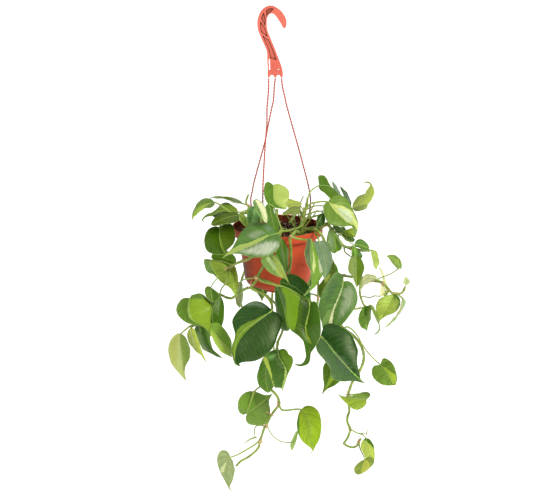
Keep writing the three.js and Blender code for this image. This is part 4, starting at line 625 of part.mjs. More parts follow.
    [1.23, 0.91, [[159.5,-46,-477.9],[161.5,-46.9,-475.5],[162.9,-48.8,-473.6],[163.3,-51.8,-472.5],[163.4,-54.8,-471.7],[163.5,-57.9,-470.9],[164.1,-59.9,-471.5]], 'small_l44'],
  ],
  vine_right_down: [
    [2.30, 1.90, [[114,-70.3,-501.6],[117.7,-78.2,-504.1],[126.7,-80.7,-509.4],[136.6,-81.5,-518.1],[145,-81.9,-529.3],[150.2,-80,-542.2],[151.8,-80,-554.4],[150.1,-80,-564.9],[145.9,-80,-575.4],[141.2,-78,-586.7],[133.9,-78,-597.3],[129.7,-78,-609.6],[127.3,-76,-621],[128.3,-70,-637.7],[129.9,-70,-652],[126.9,-72,-661.9],[127.1,-74,-671.8],[131.3,-74,-682.6],[128.3,-72,-697.9],[121.3,-70,-710.7]], null],
    [1.80, 1.60, [[121.3,-70,-710.7],[128.7,-68,-716.5],[137.3,-66,-719.2],[144.8,-66,-715.9],[147.2,-66,-708.7],[150.5,-66,-703.2]], null],
    [1.10, 0.82, [[118.4,-78.7,-504.5],[124.1,-84.2,-501.2],[132.1,-86,-503.7],[141.2,-86,-515.5],[148.5,-86,-528.8],[158.2,-84,-543.4],[170.1,-82,-557.1],[178.6,-80.2,-565.4]], null, 'leaf_28'],
    [1.13, 0.83, [[127.3,-76,-621],[135.4,-72,-621.9],[144.2,-70.2,-621.5],[153.2,-70.2,-622.8],[158.4,-75.3,-625.2],[156.7,-82.8,-626.5]], null, 'leaf_29'],
    [1.06, 0.79, [[131.3,-74,-682.8],[137.6,-72.6,-687.3],[144.5,-72.1,-691],[151.9,-72.2,-693.6],[156.1,-67.9,-698.5],[158.8,-62.6,-703.8],[159.5,-62.2,-705.8]], 'small_l60a'],
    [0.96, 0.71, [[147.3,-66,-708.6],[147.7,-69.4,-715.4],[150.1,-71.4,-722.4],[153.2,-74.6,-728.3],[154.9,-81.9,-729.7],[156.2,-89.4,-730.1],[155.6,-91.2,-731.2]], 'small_l60b'],
    [0.85, 0.75, [[144.9,-72,-690.7],[151.5,-73.5,-691.1],[158.6,-75,-691.2]], null],
    [1.20, 0.40, [[158.1,-75,-692.3],[159.7,-75.5,-687.4],[160.9,-76,-680.7]], null],
  ],
  vine_bottom_left: [
    [2.30, 1.80, [[8.7,-84,-535.5],[6.6,-84,-549.4],[0.8,-84,-573.9],[-4.9,-86,-594.2],[-1.7,-86,-606.5],[5.8,-86,-614.4],[11.6,-86,-625],[10.8,-86,-636.6],[3.3,-86,-647.2],[-2.5,-86,-657],[-7.8,-88,-666.9],[-12.5,-88,-676.7],[-15.8,-88,-687.5],[-19.2,-88,-698.3],[-21.7,-88,-710],[-30.9,-88,-720.8],[-41,-88,-728.6],[-51,-88,-734.4],[-56.1,-88,-739.8],[-59.4,-88,-743.4]], null],
    [1.60, 1.30, [[-4.9,-86,-594.2],[-14.9,-84,-601.1],[-23.1,-84,-606.4],[-28.9,-84,-612.6]], null],
    [1.20, 0.88, [[0.5,-84.1,-575.1],[0,-85.2,-568.8],[-0.7,-86.4,-563.3],[-1.8,-88.2,-558.1],[-3.6,-90.9,-553.5],[-5.3,-93.3,-550.2]], null, 'leaf_26'],
    [1.36, 1.00, [[-28.9,-84,-612.6],[-31.6,-87.2,-619.5],[-34.4,-90.4,-626.4],[-37.2,-93.6,-633.4],[-39.4,-96.8,-639.7],[-40.2,-99.3,-643.2]], null, 'leaf_31'],
    [1.47, 1.08, [[11.9,-86,-631.6],[14.1,-88,-638.4],[18.2,-90,-642.4],[28.1,-92,-641.6],[38.8,-92,-640],[47.5,-92,-640.3]], null, 'leaf_30'],
    [0.90, 0.67, [[-7.6,-87.9,-666.5],[-4.6,-88,-677.4],[1.1,-88,-687.5],[9.5,-88,-695.5],[20.1,-88,-700.1],[31.7,-88,-701.3],[33.4,-86.8,-700.7]], 'small_l56'],
    [1.24, 0.92, [[-18.7,-88,-696.7],[-28,-89.8,-704.3],[-37.8,-91.3,-710.1],[-47.7,-92.8,-715.7],[-57.9,-94.1,-721],[-67.5,-94.9,-724.5]], null, 'leaf_32'],
    [0.95, 0.85, [[-9.1,-88,-671.4],[-19.1,-86,-671.3],[-25.7,-88,-672.3],[-28.1,-90,-677.7],[-28.4,-92,-689.4]], null],
    [1.60, 0.50, [[-24.9,-91.5,-689.9],[-32.4,-92.5,-691.8],[-39.9,-93.5,-695.9],[-46.5,-94.5,-702.6]], null],
  ],
  vine_back_left: [
    [2.40, 1.60, [[-15.9,20,-353.8],[-26.4,70,-347.8],[-37.1,94,-368.8],[-43.4,102,-399.6],[-44.4,102,-432.2],[-45.7,98,-452.8],[-51.4,92,-470.1],[-56,88,-486.2],[-56,86,-503.8],[-51.6,86,-520.4],[-44.6,84,-538.1],[-40.3,82,-561.4]], null],
    [1.19, 0.88, [[-43.6,102.2,-401.3],[-41.5,106.4,-399.5],[-39.8,110.9,-399.3],[-38.9,115.4,-401],[-38.3,119.7,-403.4],[-37.8,122.9,-405.1]], null, 'leaf_33'],
    [1.12, 0.83, [[-46.3,84.6,-533.3],[-45.1,87.1,-535.5],[-44,89.7,-537.8],[-42.9,92.3,-540.1],[-42.1,95.1,-542.4],[-41.6,96.9,-543.8]], null, 'leaf_39'],
  ],
  vine_back_right: [
    [2.40, 1.60, [[31,24,-351.4],[45.2,72,-345.4],[59.5,94,-365.2],[70.2,98,-398.5],[77.4,95.3,-437.7],[81.2,86.9,-482],[79.7,88,-526.5],[76.4,84,-565.8]], null],
    [1.25, 0.92, [[77.2,95.5,-436],[76.4,99.6,-434.6],[75.8,103.1,-433.9],[75,106.5,-433.6],[73.1,108.8,-435.1],[71.6,108.9,-436.9]], null, 'leaf_35'],
    [1.26, 0.93, [[81,87,-500.6],[73.1,94.8,-500],[65.2,99.3,-500.6],[58.4,103.7,-504.5],[52.6,107.9,-510.2],[47.5,111.5,-515.1]], null, 'leaf_37'],
  ],
  vine_back_mid: [
    [2.40, 1.60, [[7.5,24,-349.6],[9.4,74,-342.4],[9.5,98,-362.7],[7.8,102,-403.2],[4.4,98,-452.8],[0.9,92,-509.4],[0.9,88,-563.5],[4.4,84,-599.3]], null],
    [1.39, 1.03, [[5.2,99.2,-440.9],[0.3,104.6,-439.7],[-4.6,110.2,-438.4],[-9.2,115.6,-440.7],[-13,120.3,-445.1],[-16.1,124.2,-449]], null, 'leaf_36'],
    [1.36, 1.00, [[6.6,101.1,-422.1],[10.3,107,-420.7],[14.1,112.8,-420.7],[17.6,118,-423.5],[20.7,122.4,-427.7],[23.2,126.1,-431.2]], null, 'leaf_34'],
    [1.16, 0.86, [[0.4,90.5,-529.5],[-5.2,94,-530.6],[-10.7,97.6,-531.4],[-15.6,100.7,-534.7],[-19.7,103.4,-539.2],[-23.1,105.7,-542.8]], null, 'leaf_38'],
  ],
};

for (const name of Object.keys(LEAVES)) {
  if (name.startsWith('small_')) continue;
  addPiece(name, FOLDED.includes(name) ? tidy(toGeometry(largest(bladeSolid(name)))) : blade(LEAVES[name]), MAT.leaf);
}
const soilCut = new THREE.CylinderGeometry(RIM_R, RIM_R, 60, 24);
soilCut.rotateX(Math.PI / 2);
soilCut.translate(POT_X, 0, SOIL_Z + GAP - 30);
const soilSolid = toSolid(soilCut);
for (const [name, parts] of Object.entries(VINES)) {
  let solid = null;
  for (const [r0, r1, points, grown, leaf] of parts) {
    const stem = r0 > 1.7;
    let s = toSolid(sweep(points, r0, r1, stem ? 5 : 4, stem ? 16 : 16));
    if (grown) s = s.add(bladeSolid(grown));
    if (leaf) s = largest(s.subtract(bladeSolid(leaf, LEAF_T + 2 * GAP)));
    solid = solid ? solid.add(s) : s;
  }
  const first = V3(parts[0][2][0]);
  if (first.z < SOIL_Z + 1 && Math.hypot(first.x - POT_X, first.y) < RIM_R) solid = solid.subtract(soilSolid);
  addPiece(name, tidy(toGeometry(largest(solid))), MAT.stem);
}

export default plant;
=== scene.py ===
# Potted heartleaf philodendron in a hanging nursery pot.
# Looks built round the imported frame: metres, +Z up, -Y towards the viewer, origin at the hook's seat.
import json
import math
import random
import bpy
import numpy as np
from mathutils import Matrix, Vector

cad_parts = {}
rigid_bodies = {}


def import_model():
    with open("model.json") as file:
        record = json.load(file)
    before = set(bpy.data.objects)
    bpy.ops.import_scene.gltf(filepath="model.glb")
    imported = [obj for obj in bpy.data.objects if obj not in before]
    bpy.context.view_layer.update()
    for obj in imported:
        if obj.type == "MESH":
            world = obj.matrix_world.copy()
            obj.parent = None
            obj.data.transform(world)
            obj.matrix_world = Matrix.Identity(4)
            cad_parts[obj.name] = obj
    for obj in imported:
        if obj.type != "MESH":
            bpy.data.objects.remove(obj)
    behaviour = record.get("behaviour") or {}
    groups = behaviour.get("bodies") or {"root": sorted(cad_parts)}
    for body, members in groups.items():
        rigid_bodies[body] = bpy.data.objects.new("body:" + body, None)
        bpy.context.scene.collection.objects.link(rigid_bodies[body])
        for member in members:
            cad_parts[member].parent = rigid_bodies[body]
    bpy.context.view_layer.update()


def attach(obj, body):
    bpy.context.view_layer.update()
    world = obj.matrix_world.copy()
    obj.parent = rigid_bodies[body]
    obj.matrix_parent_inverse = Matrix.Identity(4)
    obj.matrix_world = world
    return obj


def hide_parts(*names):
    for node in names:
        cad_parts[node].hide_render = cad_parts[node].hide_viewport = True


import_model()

# Leaf blades: margin, midrib and other margin from petiole to tip (mm), and the outlines of their markings.
LEAVES = {
 # L01: the silver-grey markings are painted sheen
 'L01': {'node': 'leaf_04', 'face': 'U', 'L': 98.5, 'n': [-0.164, -0.606, 0.778], 'cols': [(87, 129, 56), (165, 184, 95), (209, 216, 193), (148, 160, 130), (143, 147, 155)], 'kinds': ['crisp', 'fleck_and_sheen', 'fleck_and_sheen', 'fleck_and_sheen'],
  'P': [(10.2,-120.3,-331.4),(5.2,-114.8,-327.1),(0.2,-108.9,-322.7),(-6.5,-104.7,-320.1),(-13.8,-101.5,-318.8),(-21.4,-99.5,-318.6),(-29,-98.8,-319.8),(-36.1,-99.7,-322.6),(-42,-102.1,-326.9),(-46.9,-105.5,-332),(-51,-109.5,-337.6),(-54.7,-113.5,-343.4),(-58.5,-117.6,-349.1),(-62.3,-121.5,-354.8),(-67.5,-124.2,-359.7),(-73.1,-126.5,-364.4),(-78,-129.5,-369.5)],
  'M': [(10.2,-120.3,-331.4),(2.3,-120.4,-333.3),(-5.6,-120.7,-335.4),(-12.9,-122.3,-338.7),(-20.2,-124,-342.1),(-27.6,-125,-345.3),(-35.2,-125.5,-348.2),(-43.1,-125,-350.6),(-51.1,-123.9,-352.8),(-58.9,-123.6,-355.7),(-66.1,-124.3,-359.4),(-72.2,-126.8,-364.3),(-78,-129.5,-369.5)],
  'Q': [(10.2,-120.3,-331.4),(14,-129.5,-335.7),(13.9,-138.7,-340.9),(11.7,-147,-346),(7.8,-153.7,-350.7),(2,-157.3,-354.5),(-4.7,-158.7,-357.5),(-12,-158.1,-359.5),(-19.4,-155.9,-360.8),(-26.9,-152.3,-361.3),(-34.3,-147.9,-361.1),(-41.7,-142.9,-360.8),(-49.1,-137.7,-360.3),(-56.7,-133.4,-360.8),(-64.2,-130.8,-362.6),(-71.2,-130,-365.8),(-78,-129.5,-369.5)],
  'bands': [],
  'pats': [[(276,232.5),(266,235),(256,239.5),(247,243.5),(240,244.8),(233,248.5),(227,253),(221,257),(222,259.5),(228,256.5),(233,253.5),(238,251.5),(244,248.5),(252,246),(258,243),(264,239.5),(270,235)],
   [(243,249.5),(252,246),(262,241.5),(272,239.5),(279,241),(280.5,246),(276,251),(268,255.5),(258,256.5),(247,255),(238,252.5)],
   [(244,236),(252,231),(262,229.5),(268,233),(262,237),(252,240)],
   [(262,224.5),(269,225.5),(274,231),(268,231.5)]]},
 'L02': {'node': 'vine_left_upper', 'face': 'U', 'L': 71.8, 'n': [-0.347, -0.157, 0.925], 'cols': [(102, 137, 31), (157, 187, 47)], 'kinds': ['crisp'],
  'P': [(-94,-25,-303.9),(-96.9,-14.2,-303.3),(-100.8,-5.7,-303.4),(-105.1,0.4,-304.1),(-109.4,5,-304.9),(-113.6,7.3,-306.2),(-117.4,7,-307.7),(-120.3,3.4,-309.6),(-122.4,-2.6,-311.5),(-123.9,-9.5,-313.6),(-125.4,-16.1,-315.7),(-127.3,-21.6,-317.9),(-128.7,-27.9,-320.1),(-129.4,-35,-322.3),(-130,-42.1,-324.6),(-128.7,-50.9,-326.2),(-126,-60.2,-327.3)],
  'M': [(-94,-25,-303.9),(-98.3,-23.6,-305.3),(-102.7,-22.2,-306.8),(-107.1,-20.7,-308.3),(-111.4,-19.6,-309.9),(-115.4,-20,-311.8),(-119.1,-21.6,-313.8),(-122.3,-24.9,-316),(-124.9,-29.4,-318.4),(-126.9,-35.1,-320.9),(-128.2,-41.8,-323.4),(-128.1,-50.2,-325.7),(-126,-60.2,-327.3)],
  'Q': [(-94,-25,-303.9),(-92.2,-38.9,-303.7),(-92.8,-49.2,-304.3),(-95,-54.1,-305.4),(-98.3,-53.4,-306.6),(-101.8,-49.5,-307.7),(-105.4,-44.2,-308.8),(-108.7,-42.5,-310),(-111.7,-42.2,-311.7),(-114,-44.7,-313.5),(-116.2,-46.9,-315.5),(-118.5,-49,-317.5),(-121.1,-49.1,-319.6),(-124.2,-47.8,-321.6),(-126.5,-49.8,-323.4),(-127.2,-54.2,-325.5),(-126,-60.2,-327.3)],
  'bands': [],
  'pats': [[(212,202.3),(206,203.7),(201,205.5),(196.5,208.5),(194,212),(191.5,217),(193,221),(194.8,216.6),(198,215),(201,212),(204,208.5),(207,205.5),(211,203.6)]]},
 'L03': {'node': 'vine_left_upper', 'face': 'D', 'L': 59.4, 'n': [0.262, 0.497, 0.827], 'cols': [(180, 199, 142), (160, 190, 55)], 'kinds': ['crisp'],
  'P': [(-47.9,0,-312.6),(-49.9,-10.2,-307.1),(-52.9,-15.1,-303.8),(-56.1,-17.9,-301.5),(-59.4,-20.2,-299.4),(-62.8,-22.1,-297.6),(-66.2,-22.9,-296.2),(-69.8,-22.3,-295.6),(-73.5,-20.5,-295.6),(-77.2,-18.2,-295.9),(-81,-15.9,-296.4),(-84.7,-14.2,-296.6),(-88.5,-12.4,-297),(-92.2,-10.3,-297.7),(-96,-7.1,-299.2),(-99.7,-1.9,-301.8),(-103.3,3.6,-304.7)],
  'M': [(-47.9,0,-312.6),(-52.5,0.1,-311.3),(-57,-0.2,-309.8),(-61.5,-0.7,-308.3),(-66,-1.7,-306.6),(-70.4,-3,-304.8),(-74.9,-3.9,-303.4),(-79.5,-4.2,-302.3),(-84.2,-4,-301.7),(-88.9,-3,-301.7),(-93.7,-0.9,-302.4),(-98.5,1.6,-303.6),(-103.3,3.6,-304.7)],
  'Q': [(-47.9,0,-312.6),(-51.7,11,-315.8),(-55.4,19.5,-318),(-59,21.5,-317.8),(-62.4,20.2,-316.3),(-65.7,18.8,-314.7),(-68.9,16.2,-312.9),(-72.2,13.3,-310.8),(-75.4,10.7,-309),(-78.8,8.9,-307.6),(-82.3,7.7,-306.6),(-85.7,6.7,-305.9),(-89.3,7.3,-305.7),(-92.7,4.8,-304.9),(-96.3,5.6,-305),(-99.9,6.6,-305.3),(-103.3,3.6,-304.7)],
  'bands': [],
  'pats': [[(240,202.5),(228,199),(214,198),(214,196.8),(226,197.3),(234,199)]]},
 # L04: the dark marking is painted shadow on the lower half of the blade
 'L04': {'node': 'leaf_03', 'face': 'U', 'L': 77.0, 'n': [-0.064, -0.309, 0.949], 'cols': [(136, 163, 60), (35, 68, 7)], 'kinds': ['crisp'],
  'P': [(-54.9,-24.6,-320.9),(-56.5,-14.7,-318.1),(-60.8,-8.2,-316.5),(-65.5,-2.2,-315.1),(-70,4.3,-313.7),(-75,9.3,-312.8),(-80.3,9,-313.5),(-84.6,4.7,-315.4),(-88,-1.6,-317.8),(-91.6,-7.5,-320.2),(-95,-13.5,-322.7),(-99,-17.8,-324.8),(-104.2,-17.6,-325.9),(-108.8,-19.9,-327.8),(-112.4,-24.9,-330.3),(-113.7,-32.6,-333.3),(-109.2,-40,-334.6)],
  'M': [(-54.9,-24.6,-320.9),(-60.6,-22.8,-320.7),(-66.3,-20.9,-320.6),(-72.1,-18.7,-320.5),(-77.9,-17,-320.7),(-83.5,-17.1,-321.6),(-89,-18.1,-322.9),(-94.4,-20,-324.5),(-99.9,-20.6,-325.8),(-105.4,-21,-327.2),(-110.1,-24.5,-329.5),(-113,-31.3,-332.6),(-109.2,-40,-334.6)],
  'Q': [(-54.9,-24.6,-320.9),(-54.5,-34.8,-322.9),(-58,-39.8,-324.1),(-62.1,-43.4,-325.1),(-65.9,-47.7,-326.2),(-70.1,-50.7,-327.1),(-74.4,-52,-327.8),(-79,-51.3,-328.3),(-83.5,-48.7,-328.6),(-88.1,-44.5,-328.6),(-92,-37.2,-327.7),(-96,-30.4,-327.1),(-100.7,-27.8,-327.5),(-105.3,-26.5,-328.4),(-109.4,-27.4,-330),(-111.5,-32.7,-332.5),(-109.2,-40,-334.6)],
  'bands': [],
  'pats': [[(236,212.3),(225,211.6),(219,213),(213,215.5),(213,222),(225,222),(240,216)]]},
 # L05: the blade is painted in shaded tones, olive on the right half
 'L05': {'node': 'leaf_06', 'face': 'U', 'L': 60.8, 'n': [-0.161, -0.47, 0.868], 'cols': [(63, 97, 4), (76, 104, 6), (109, 136, 19)], 'kinds': ['crisp', 'crisp'],
  'P': [(-85,-36,-344.1),(-90.2,-34.7,-342.6),(-95.6,-36,-342.9),(-100.6,-39.2,-344.3),(-104.4,-44.6,-346.8),(-106.9,-50.9,-350.1),(-108.3,-57.8,-353.7),(-108.9,-64.7,-357.4),(-108.4,-71.5,-361.2),(-107,-78,-365),(-104.4,-84,-368.4),(-100.5,-88.5,-371.2),(-95.6,-91.4,-373),(-90.2,-92.5,-374),(-84.8,-92.7,-374.4),(-79.4,-91.4,-374.1),(-74.6,-87.8,-372.7)],
  'M': [(-85,-36,-344.1),(-84.9,-40.6,-346.6),(-84.9,-45.2,-349.1),(-84.7,-49.8,-351.7),(-84.5,-54.3,-354.2),(-84.1,-58.8,-356.7),(-83.5,-63.2,-359.2),(-82.8,-67.6,-361.7),(-81.9,-71.9,-364.1),(-80.5,-76.1,-366.4),(-78.7,-80.1,-368.6),(-76.8,-84,-370.7),(-74.6,-87.8,-372.7)],
  'Q': [(-85,-36,-344.1),(-81.5,-34,-341.2),(-77.4,-33.1,-338.8),(-72.8,-33.4,-337.2),(-68,-36,-336.9),(-63.9,-40.9,-338.2),(-61.2,-47.4,-340.7),(-59.5,-53.9,-343.6),(-58.9,-60.1,-346.9),(-58.6,-65.9,-350.3),(-58.8,-71.3,-353.7),(-59.9,-76,-357.2),(-61.8,-79.6,-360.6),(-65,-81.8,-363.6),(-68.5,-83.5,-366.5),(-71.8,-85.4,-369.4),(-74.6,-87.8,-372.7)],
  'bands': [],
  'pats': [[(220.5,226),(221,236),(222,243),(225,250),(230,248),(234,243),(235.3,235),(232,226),(226,228)],
   [(218.8,226),(220.2,226),(221,236),(222.5,244),(225.5,252.5),(223.5,252.8),(220.5,244),(219.2,236)]]},
 'L06': {'node': 'leaf_11', 'face': 'U', 'L': 43.4, 'n': [0.032, -0.938, 0.344], 'cols': [(103, 151, 18), (120, 158, 48)], 'kinds': ['soft'],
  'P': [(-58.8,-20.9,-408.9),(-58.5,-21.1,-405.1),(-59,-21.1,-401.3),(-60.7,-20.9,-398),(-63,-20.6,-395.1),(-65.7,-20.2,-392.6),(-68.7,-19.8,-390.6),(-72.1,-19.2,-389.2),(-75.6,-18.7,-388.4),(-79.3,-18.1,-388.2),(-83,-17.6,-388.4),(-86.7,-17.1,-389),(-90.3,-16.6,-389.9),(-93.8,-16.1,-391.2),(-97,-15.6,-393.3),(-99,-15.3,-396.6),(-100.4,-14.9,-400.3)],
  'M': [(-58.8,-20.9,-408.9),(-62.1,-20.4,-407.5),(-65.3,-19.9,-406.1),(-68.6,-19.4,-404.7),(-72,-18.9,-403.5),(-75.4,-18.3,-402.5),(-78.9,-17.8,-401.7),(-82.4,-17.3,-401),(-85.9,-16.8,-400.6),(-89.5,-16.4,-400.3),(-93.1,-15.9,-400.3),(-96.7,-15.5,-400.3),(-100.4,-14.9,-400.3)],
  'Q': [(-58.8,-20.9,-408.9),(-60.7,-22.8,-411.3),(-62.5,-24.7,-413.7),(-64.9,-26.4,-415.6),(-68,-27.4,-416.6),(-71.3,-28.1,-416.9),(-74.7,-28.4,-416.8),(-78,-28.3,-416.3),(-81.3,-27.9,-415.6),(-84.5,-27.2,-414.5),(-87.5,-26.2,-413.2),(-90.3,-24.8,-411.6),(-92.9,-23.2,-409.8),(-95,-21.3,-407.6),(-96.8,-19.2,-405.2),(-98.5,-17.2,-402.7),(-100.4,-14.9,-400.3)],
  'bands': [],
  'pats': [[(234,262),(226,258.5),(212,256.5),(226,259.8)]]},
 'L07': {'node': 'leaf_12', 'face': 'D', 'L': 50.9, 'n': [-0.0, 0.827, -0.562], 'cols': [(208, 236, 91)], 'kinds': [],
  'P': [(-68.6,-60,-409.7),(-72.2,-56.8,-404.5),(-77.6,-54.4,-400.6),(-83.9,-52.9,-397.9),(-90.7,-52.1,-396.4),(-97.5,-51.8,-395.5),(-100.5,-54.7,-399.7),(-98.1,-58.4,-405.4),(-94.8,-61.9,-410.7),(-91.3,-65.3,-416),(-87.8,-69.1,-421.1),(-83.1,-72.8,-425.4),(-77.4,-76,-428.6),(-71.3,-79.1,-431.3),(-65.9,-83.2,-434.4),(-61.9,-88.8,-438.6),(-58.1,-95,-442.7)],
  'M': [(-68.6,-60,-409.7),(-66.5,-61.9,-412.4),(-64.3,-63.9,-415),(-62.5,-66.2,-417.7),(-61,-68.8,-420.5),(-59.7,-71.5,-423.3),(-58.6,-74.5,-426.1),(-57.7,-77.6,-429),(-57.1,-80.9,-431.8),(-56.8,-84.3,-434.6),(-56.9,-87.8,-437.4),(-57.4,-91.4,-440.1),(-58.1,-95,-442.7)],
  'Q': [(-68.6,-60,-409.7),(-67.5,-54.8,-407.3),(-65,-50.3,-405.6),(-61.3,-48.2,-405.8),(-58.4,-49.1,-408.2),(-57.3,-52.4,-411.3),(-56.5,-56,-414.2),(-55.6,-59.5,-417.3),(-55,-63.1,-420.3),(-54.4,-66.8,-423.3),(-54,-70.6,-426.3),(-53.9,-74.6,-429.2),(-54.1,-78.7,-432.1),(-54.6,-82.8,-434.9),(-55.4,-86.9,-437.6),(-56.6,-90.9,-440.2),(-58.1,-95,-442.7)],
  'bands': [],
  'pats': []},
 'L07b': {'node': 'vine_left_side', 'face': 'D', 'L': 39.5, 'n': [0.135, 0.981, -0.141], 'cols': [(135, 176, 88)], 'kinds': [],
  'P': [(-86.5,-31.1,-402.5),(-90.8,-29.9,-401.9),(-95,-28.7,-401.3),(-99.3,-27.5,-401),(-103.6,-26.3,-400.7),(-108,-25.1,-400.6),(-111.7,-24.6,-402.4),(-111.7,-25.8,-406.5),(-110.9,-27.3,-410.5),(-109.9,-28.7,-414.5),(-108.2,-30.2,-418.2),(-105.5,-31.8,-421.1),(-101.9,-33.2,-423.3),(-97.7,-34.4,-423.8),(-93.8,-35.3,-425.3),(-90.9,-36.6,-428.3),(-88.2,-38,-431.4)],
  'M': [(-86.5,-31.1,-402.5),(-89.3,-31.1,-404.3),(-92.2,-31,-406),(-95.1,-30.9,-407.7),(-97.5,-31.1,-410),(-98.7,-31.7,-412.9),(-98.5,-32.5,-416.1),(-97.8,-33.4,-419.1),(-96.6,-34.4,-422),(-94.9,-35.3,-424.7),(-92.8,-36.2,-427),(-90.5,-37.1,-429.2),(-88.2,-38,-431.4)],
  'Q': [(-86.5,-31.1,-402.5),(-85.8,-30.9,-404.5),(-85,-30.7,-406.4),(-84.2,-30.4,-408.3),(-83.6,-30.2,-410.4),(-83.2,-30,-412.4),(-83,-29.9,-414.5),(-82.9,-29.8,-416.6),(-82.9,-29.9,-418.6),(-83,-30.8,-420.4),(-83.2,-31.7,-422.2),(-83.7,-32.8,-423.9),(-84.5,-33.8,-425.5),(-85.4,-34.7,-427),(-86.3,-35.8,-428.5),(-87.3,-36.9,-429.9),(-88.2,-38,-431.4)],
  'bands': [],
  'pats': []},
 'L08': {'node': 'vine_front', 'face': 'D', 'L': 43.4, 'n': [0.805, 0.576, -0.14], 'cols': [(158, 167, 73), (228, 248, 225)], 'kinds': ['fleck_and_sheen'],
  'P': [(-50.2,-44,-434.8),(-53.5,-37.6,-436.4),(-55.8,-33.8,-439.6),(-56.9,-32.8,-443.1),(-57.8,-32.1,-446.5),(-58.6,-31.6,-449.8),(-59.3,-31.5,-453.1),(-59.7,-31.8,-456.3),(-60.1,-32.5,-459.4),(-60.3,-33.3,-462.4),(-60.3,-34.5,-465.4),(-60,-36.3,-468.1),(-59.3,-38.9,-470.5),(-58.3,-42.2,-472.6),(-56.7,-46.2,-474.2),(-54.5,-51.3,-475.1),(-52.1,-56.9,-475.5)],
  'M': [(-50.2,-44,-434.8),(-50.7,-44.2,-438.4),(-51.2,-44.5,-442),(-51.6,-45,-445.6),(-52,-45.6,-449.1),(-52.2,-46.5,-452.6),(-52.4,-47.5,-456),(-52.5,-48.7,-459.4),(-52.5,-50.1,-462.7),(-52.5,-51.6,-466),(-52.4,-53.2,-469.2),(-52.3,-55,-472.4),(-52.1,-56.9,-475.5)],
  'Q': [(-50.2,-44,-434.8),(-48.4,-48.5,-435.6),(-47.4,-51.2,-437.5),(-47.2,-52.7,-440),(-47.1,-53.9,-442.5),(-47.1,-55,-445.1),(-46.9,-56.4,-447.5),(-46.8,-57.7,-450),(-46.7,-58.9,-452.5),(-46.8,-59.9,-455.1),(-46.9,-60.8,-457.8),(-47.1,-61.3,-460.5),(-47.6,-61.4,-463.3),(-48.5,-60.8,-466.3),(-49.6,-59.6,-469.4),(-50.9,-58.2,-472.4),(-52.1,-56.9,-475.5)],
  'bands': [],
  'pats': [[(240.5,281),(240,292),(239.6,300),(240,308),(243,304),(243.6,290),(242.6,281)]]},
 'L09': {'node': 'leaf_17', 'face': 'U', 'L': 81.6, 'n': [0.312, -0.725, 0.615], 'cols': [(96, 129, 47), (131, 162, 33), (136, 164, 86)], 'kinds': ['crisp', 'soft'],
  'P': [(-132.5,-85,-450.1),(-138.8,-90.7,-446.9),(-144.7,-98.1,-446.9),(-149,-105.6,-449.7),(-152.1,-112.2,-453.7),(-152.8,-117.5,-459),(-150.8,-120.3,-464.9),(-147,-120.7,-470.6),(-142,-119.6,-475.7),(-136.3,-117.4,-480),(-130.2,-114.5,-483.4),(-123.7,-111.3,-486.1),(-117.2,-109,-488.7),(-111,-107.2,-491.9),(-105.4,-106.5,-496.1),(-101.1,-107.1,-501.6),(-97.8,-108.4,-507.5)],
  'M': [(-132.5,-85,-450.1),(-133.9,-90,-455.3),(-134.8,-94.7,-460.6),(-135,-99.1,-466.1),(-133.9,-102.8,-471.8),(-131.3,-105.5,-477.2),(-126.5,-106.4,-481.6),(-121,-106.3,-485.4),(-115.1,-105.6,-488.6),(-109.4,-105.1,-492.1),(-104.3,-105.3,-496.5),(-100.5,-106.5,-501.8),(-97.8,-108.4,-507.5)],
  'Q': [(-132.5,-85,-450.1),(-130,-82.6,-445.4),(-124,-81.2,-444),(-118,-80,-442.7),(-112,-80.6,-444.1),(-107.1,-82.7,-447.4),(-103.2,-85.7,-451.7),(-99.7,-89.1,-456.1),(-96.8,-92.8,-460.7),(-96.4,-95.1,-466.4),(-97.4,-97.1,-472.3),(-98.4,-99,-478.1),(-98.7,-100.9,-484),(-98.1,-102.4,-490.1),(-97,-104.4,-495.9),(-96.5,-106.2,-501.8),(-97.8,-108.4,-507.5)],
  'bands': [],
  'pats': [[(189.5,299.8),(196,298.8),(203,298.6),(207,301),(210,304.5),(212.8,308),(212.8,337),(209,332),(203,326.5),(196,323),(190.5,318.5),(188.3,312),(188.3,304)],
   [(188.5,300),(190,300),(189.6,311),(191.5,318),(189,317),(187.6,310)]]},
 'L10a': {'node': 'vine_left_side', 'face': 'U', 'L': 29.5, 'n': [0.099, -0.57, 0.816], 'cols': [(106, 139, 54), (51, 92, 5)], 'kinds': ['soft'],
  'P': [(-98.8,-72,-435.2),(-101,-72.2,-434.1),(-103.3,-72.6,-433.1),(-105.6,-74.3,-433.3),(-107.3,-77,-434.2),(-108.2,-79.8,-435.6),(-108.4,-82.4,-437.4),(-108.1,-84.8,-439.2),(-107.7,-87,-441.1),(-106.9,-88.9,-443),(-106,-90.6,-444.8),(-104.7,-92.1,-446.6),(-103.3,-93.2,-448.4),(-101.6,-94.1,-450),(-99.6,-94.4,-451.4),(-97.5,-94.5,-452.6),(-95.3,-94.5,-453.9)],
  'M': [(-98.8,-72,-435.2),(-98.6,-74.1,-436.7),(-98.5,-76.2,-438.2),(-98.3,-78.2,-439.8),(-98.1,-80.2,-441.3),(-97.9,-82.2,-442.9),(-97.7,-84.1,-444.4),(-97.4,-85.9,-446),(-97,-87.7,-447.6),(-96.6,-89.5,-449.1),(-96.2,-91.2,-450.7),(-95.8,-92.8,-452.3),(-95.3,-94.5,-453.9)],
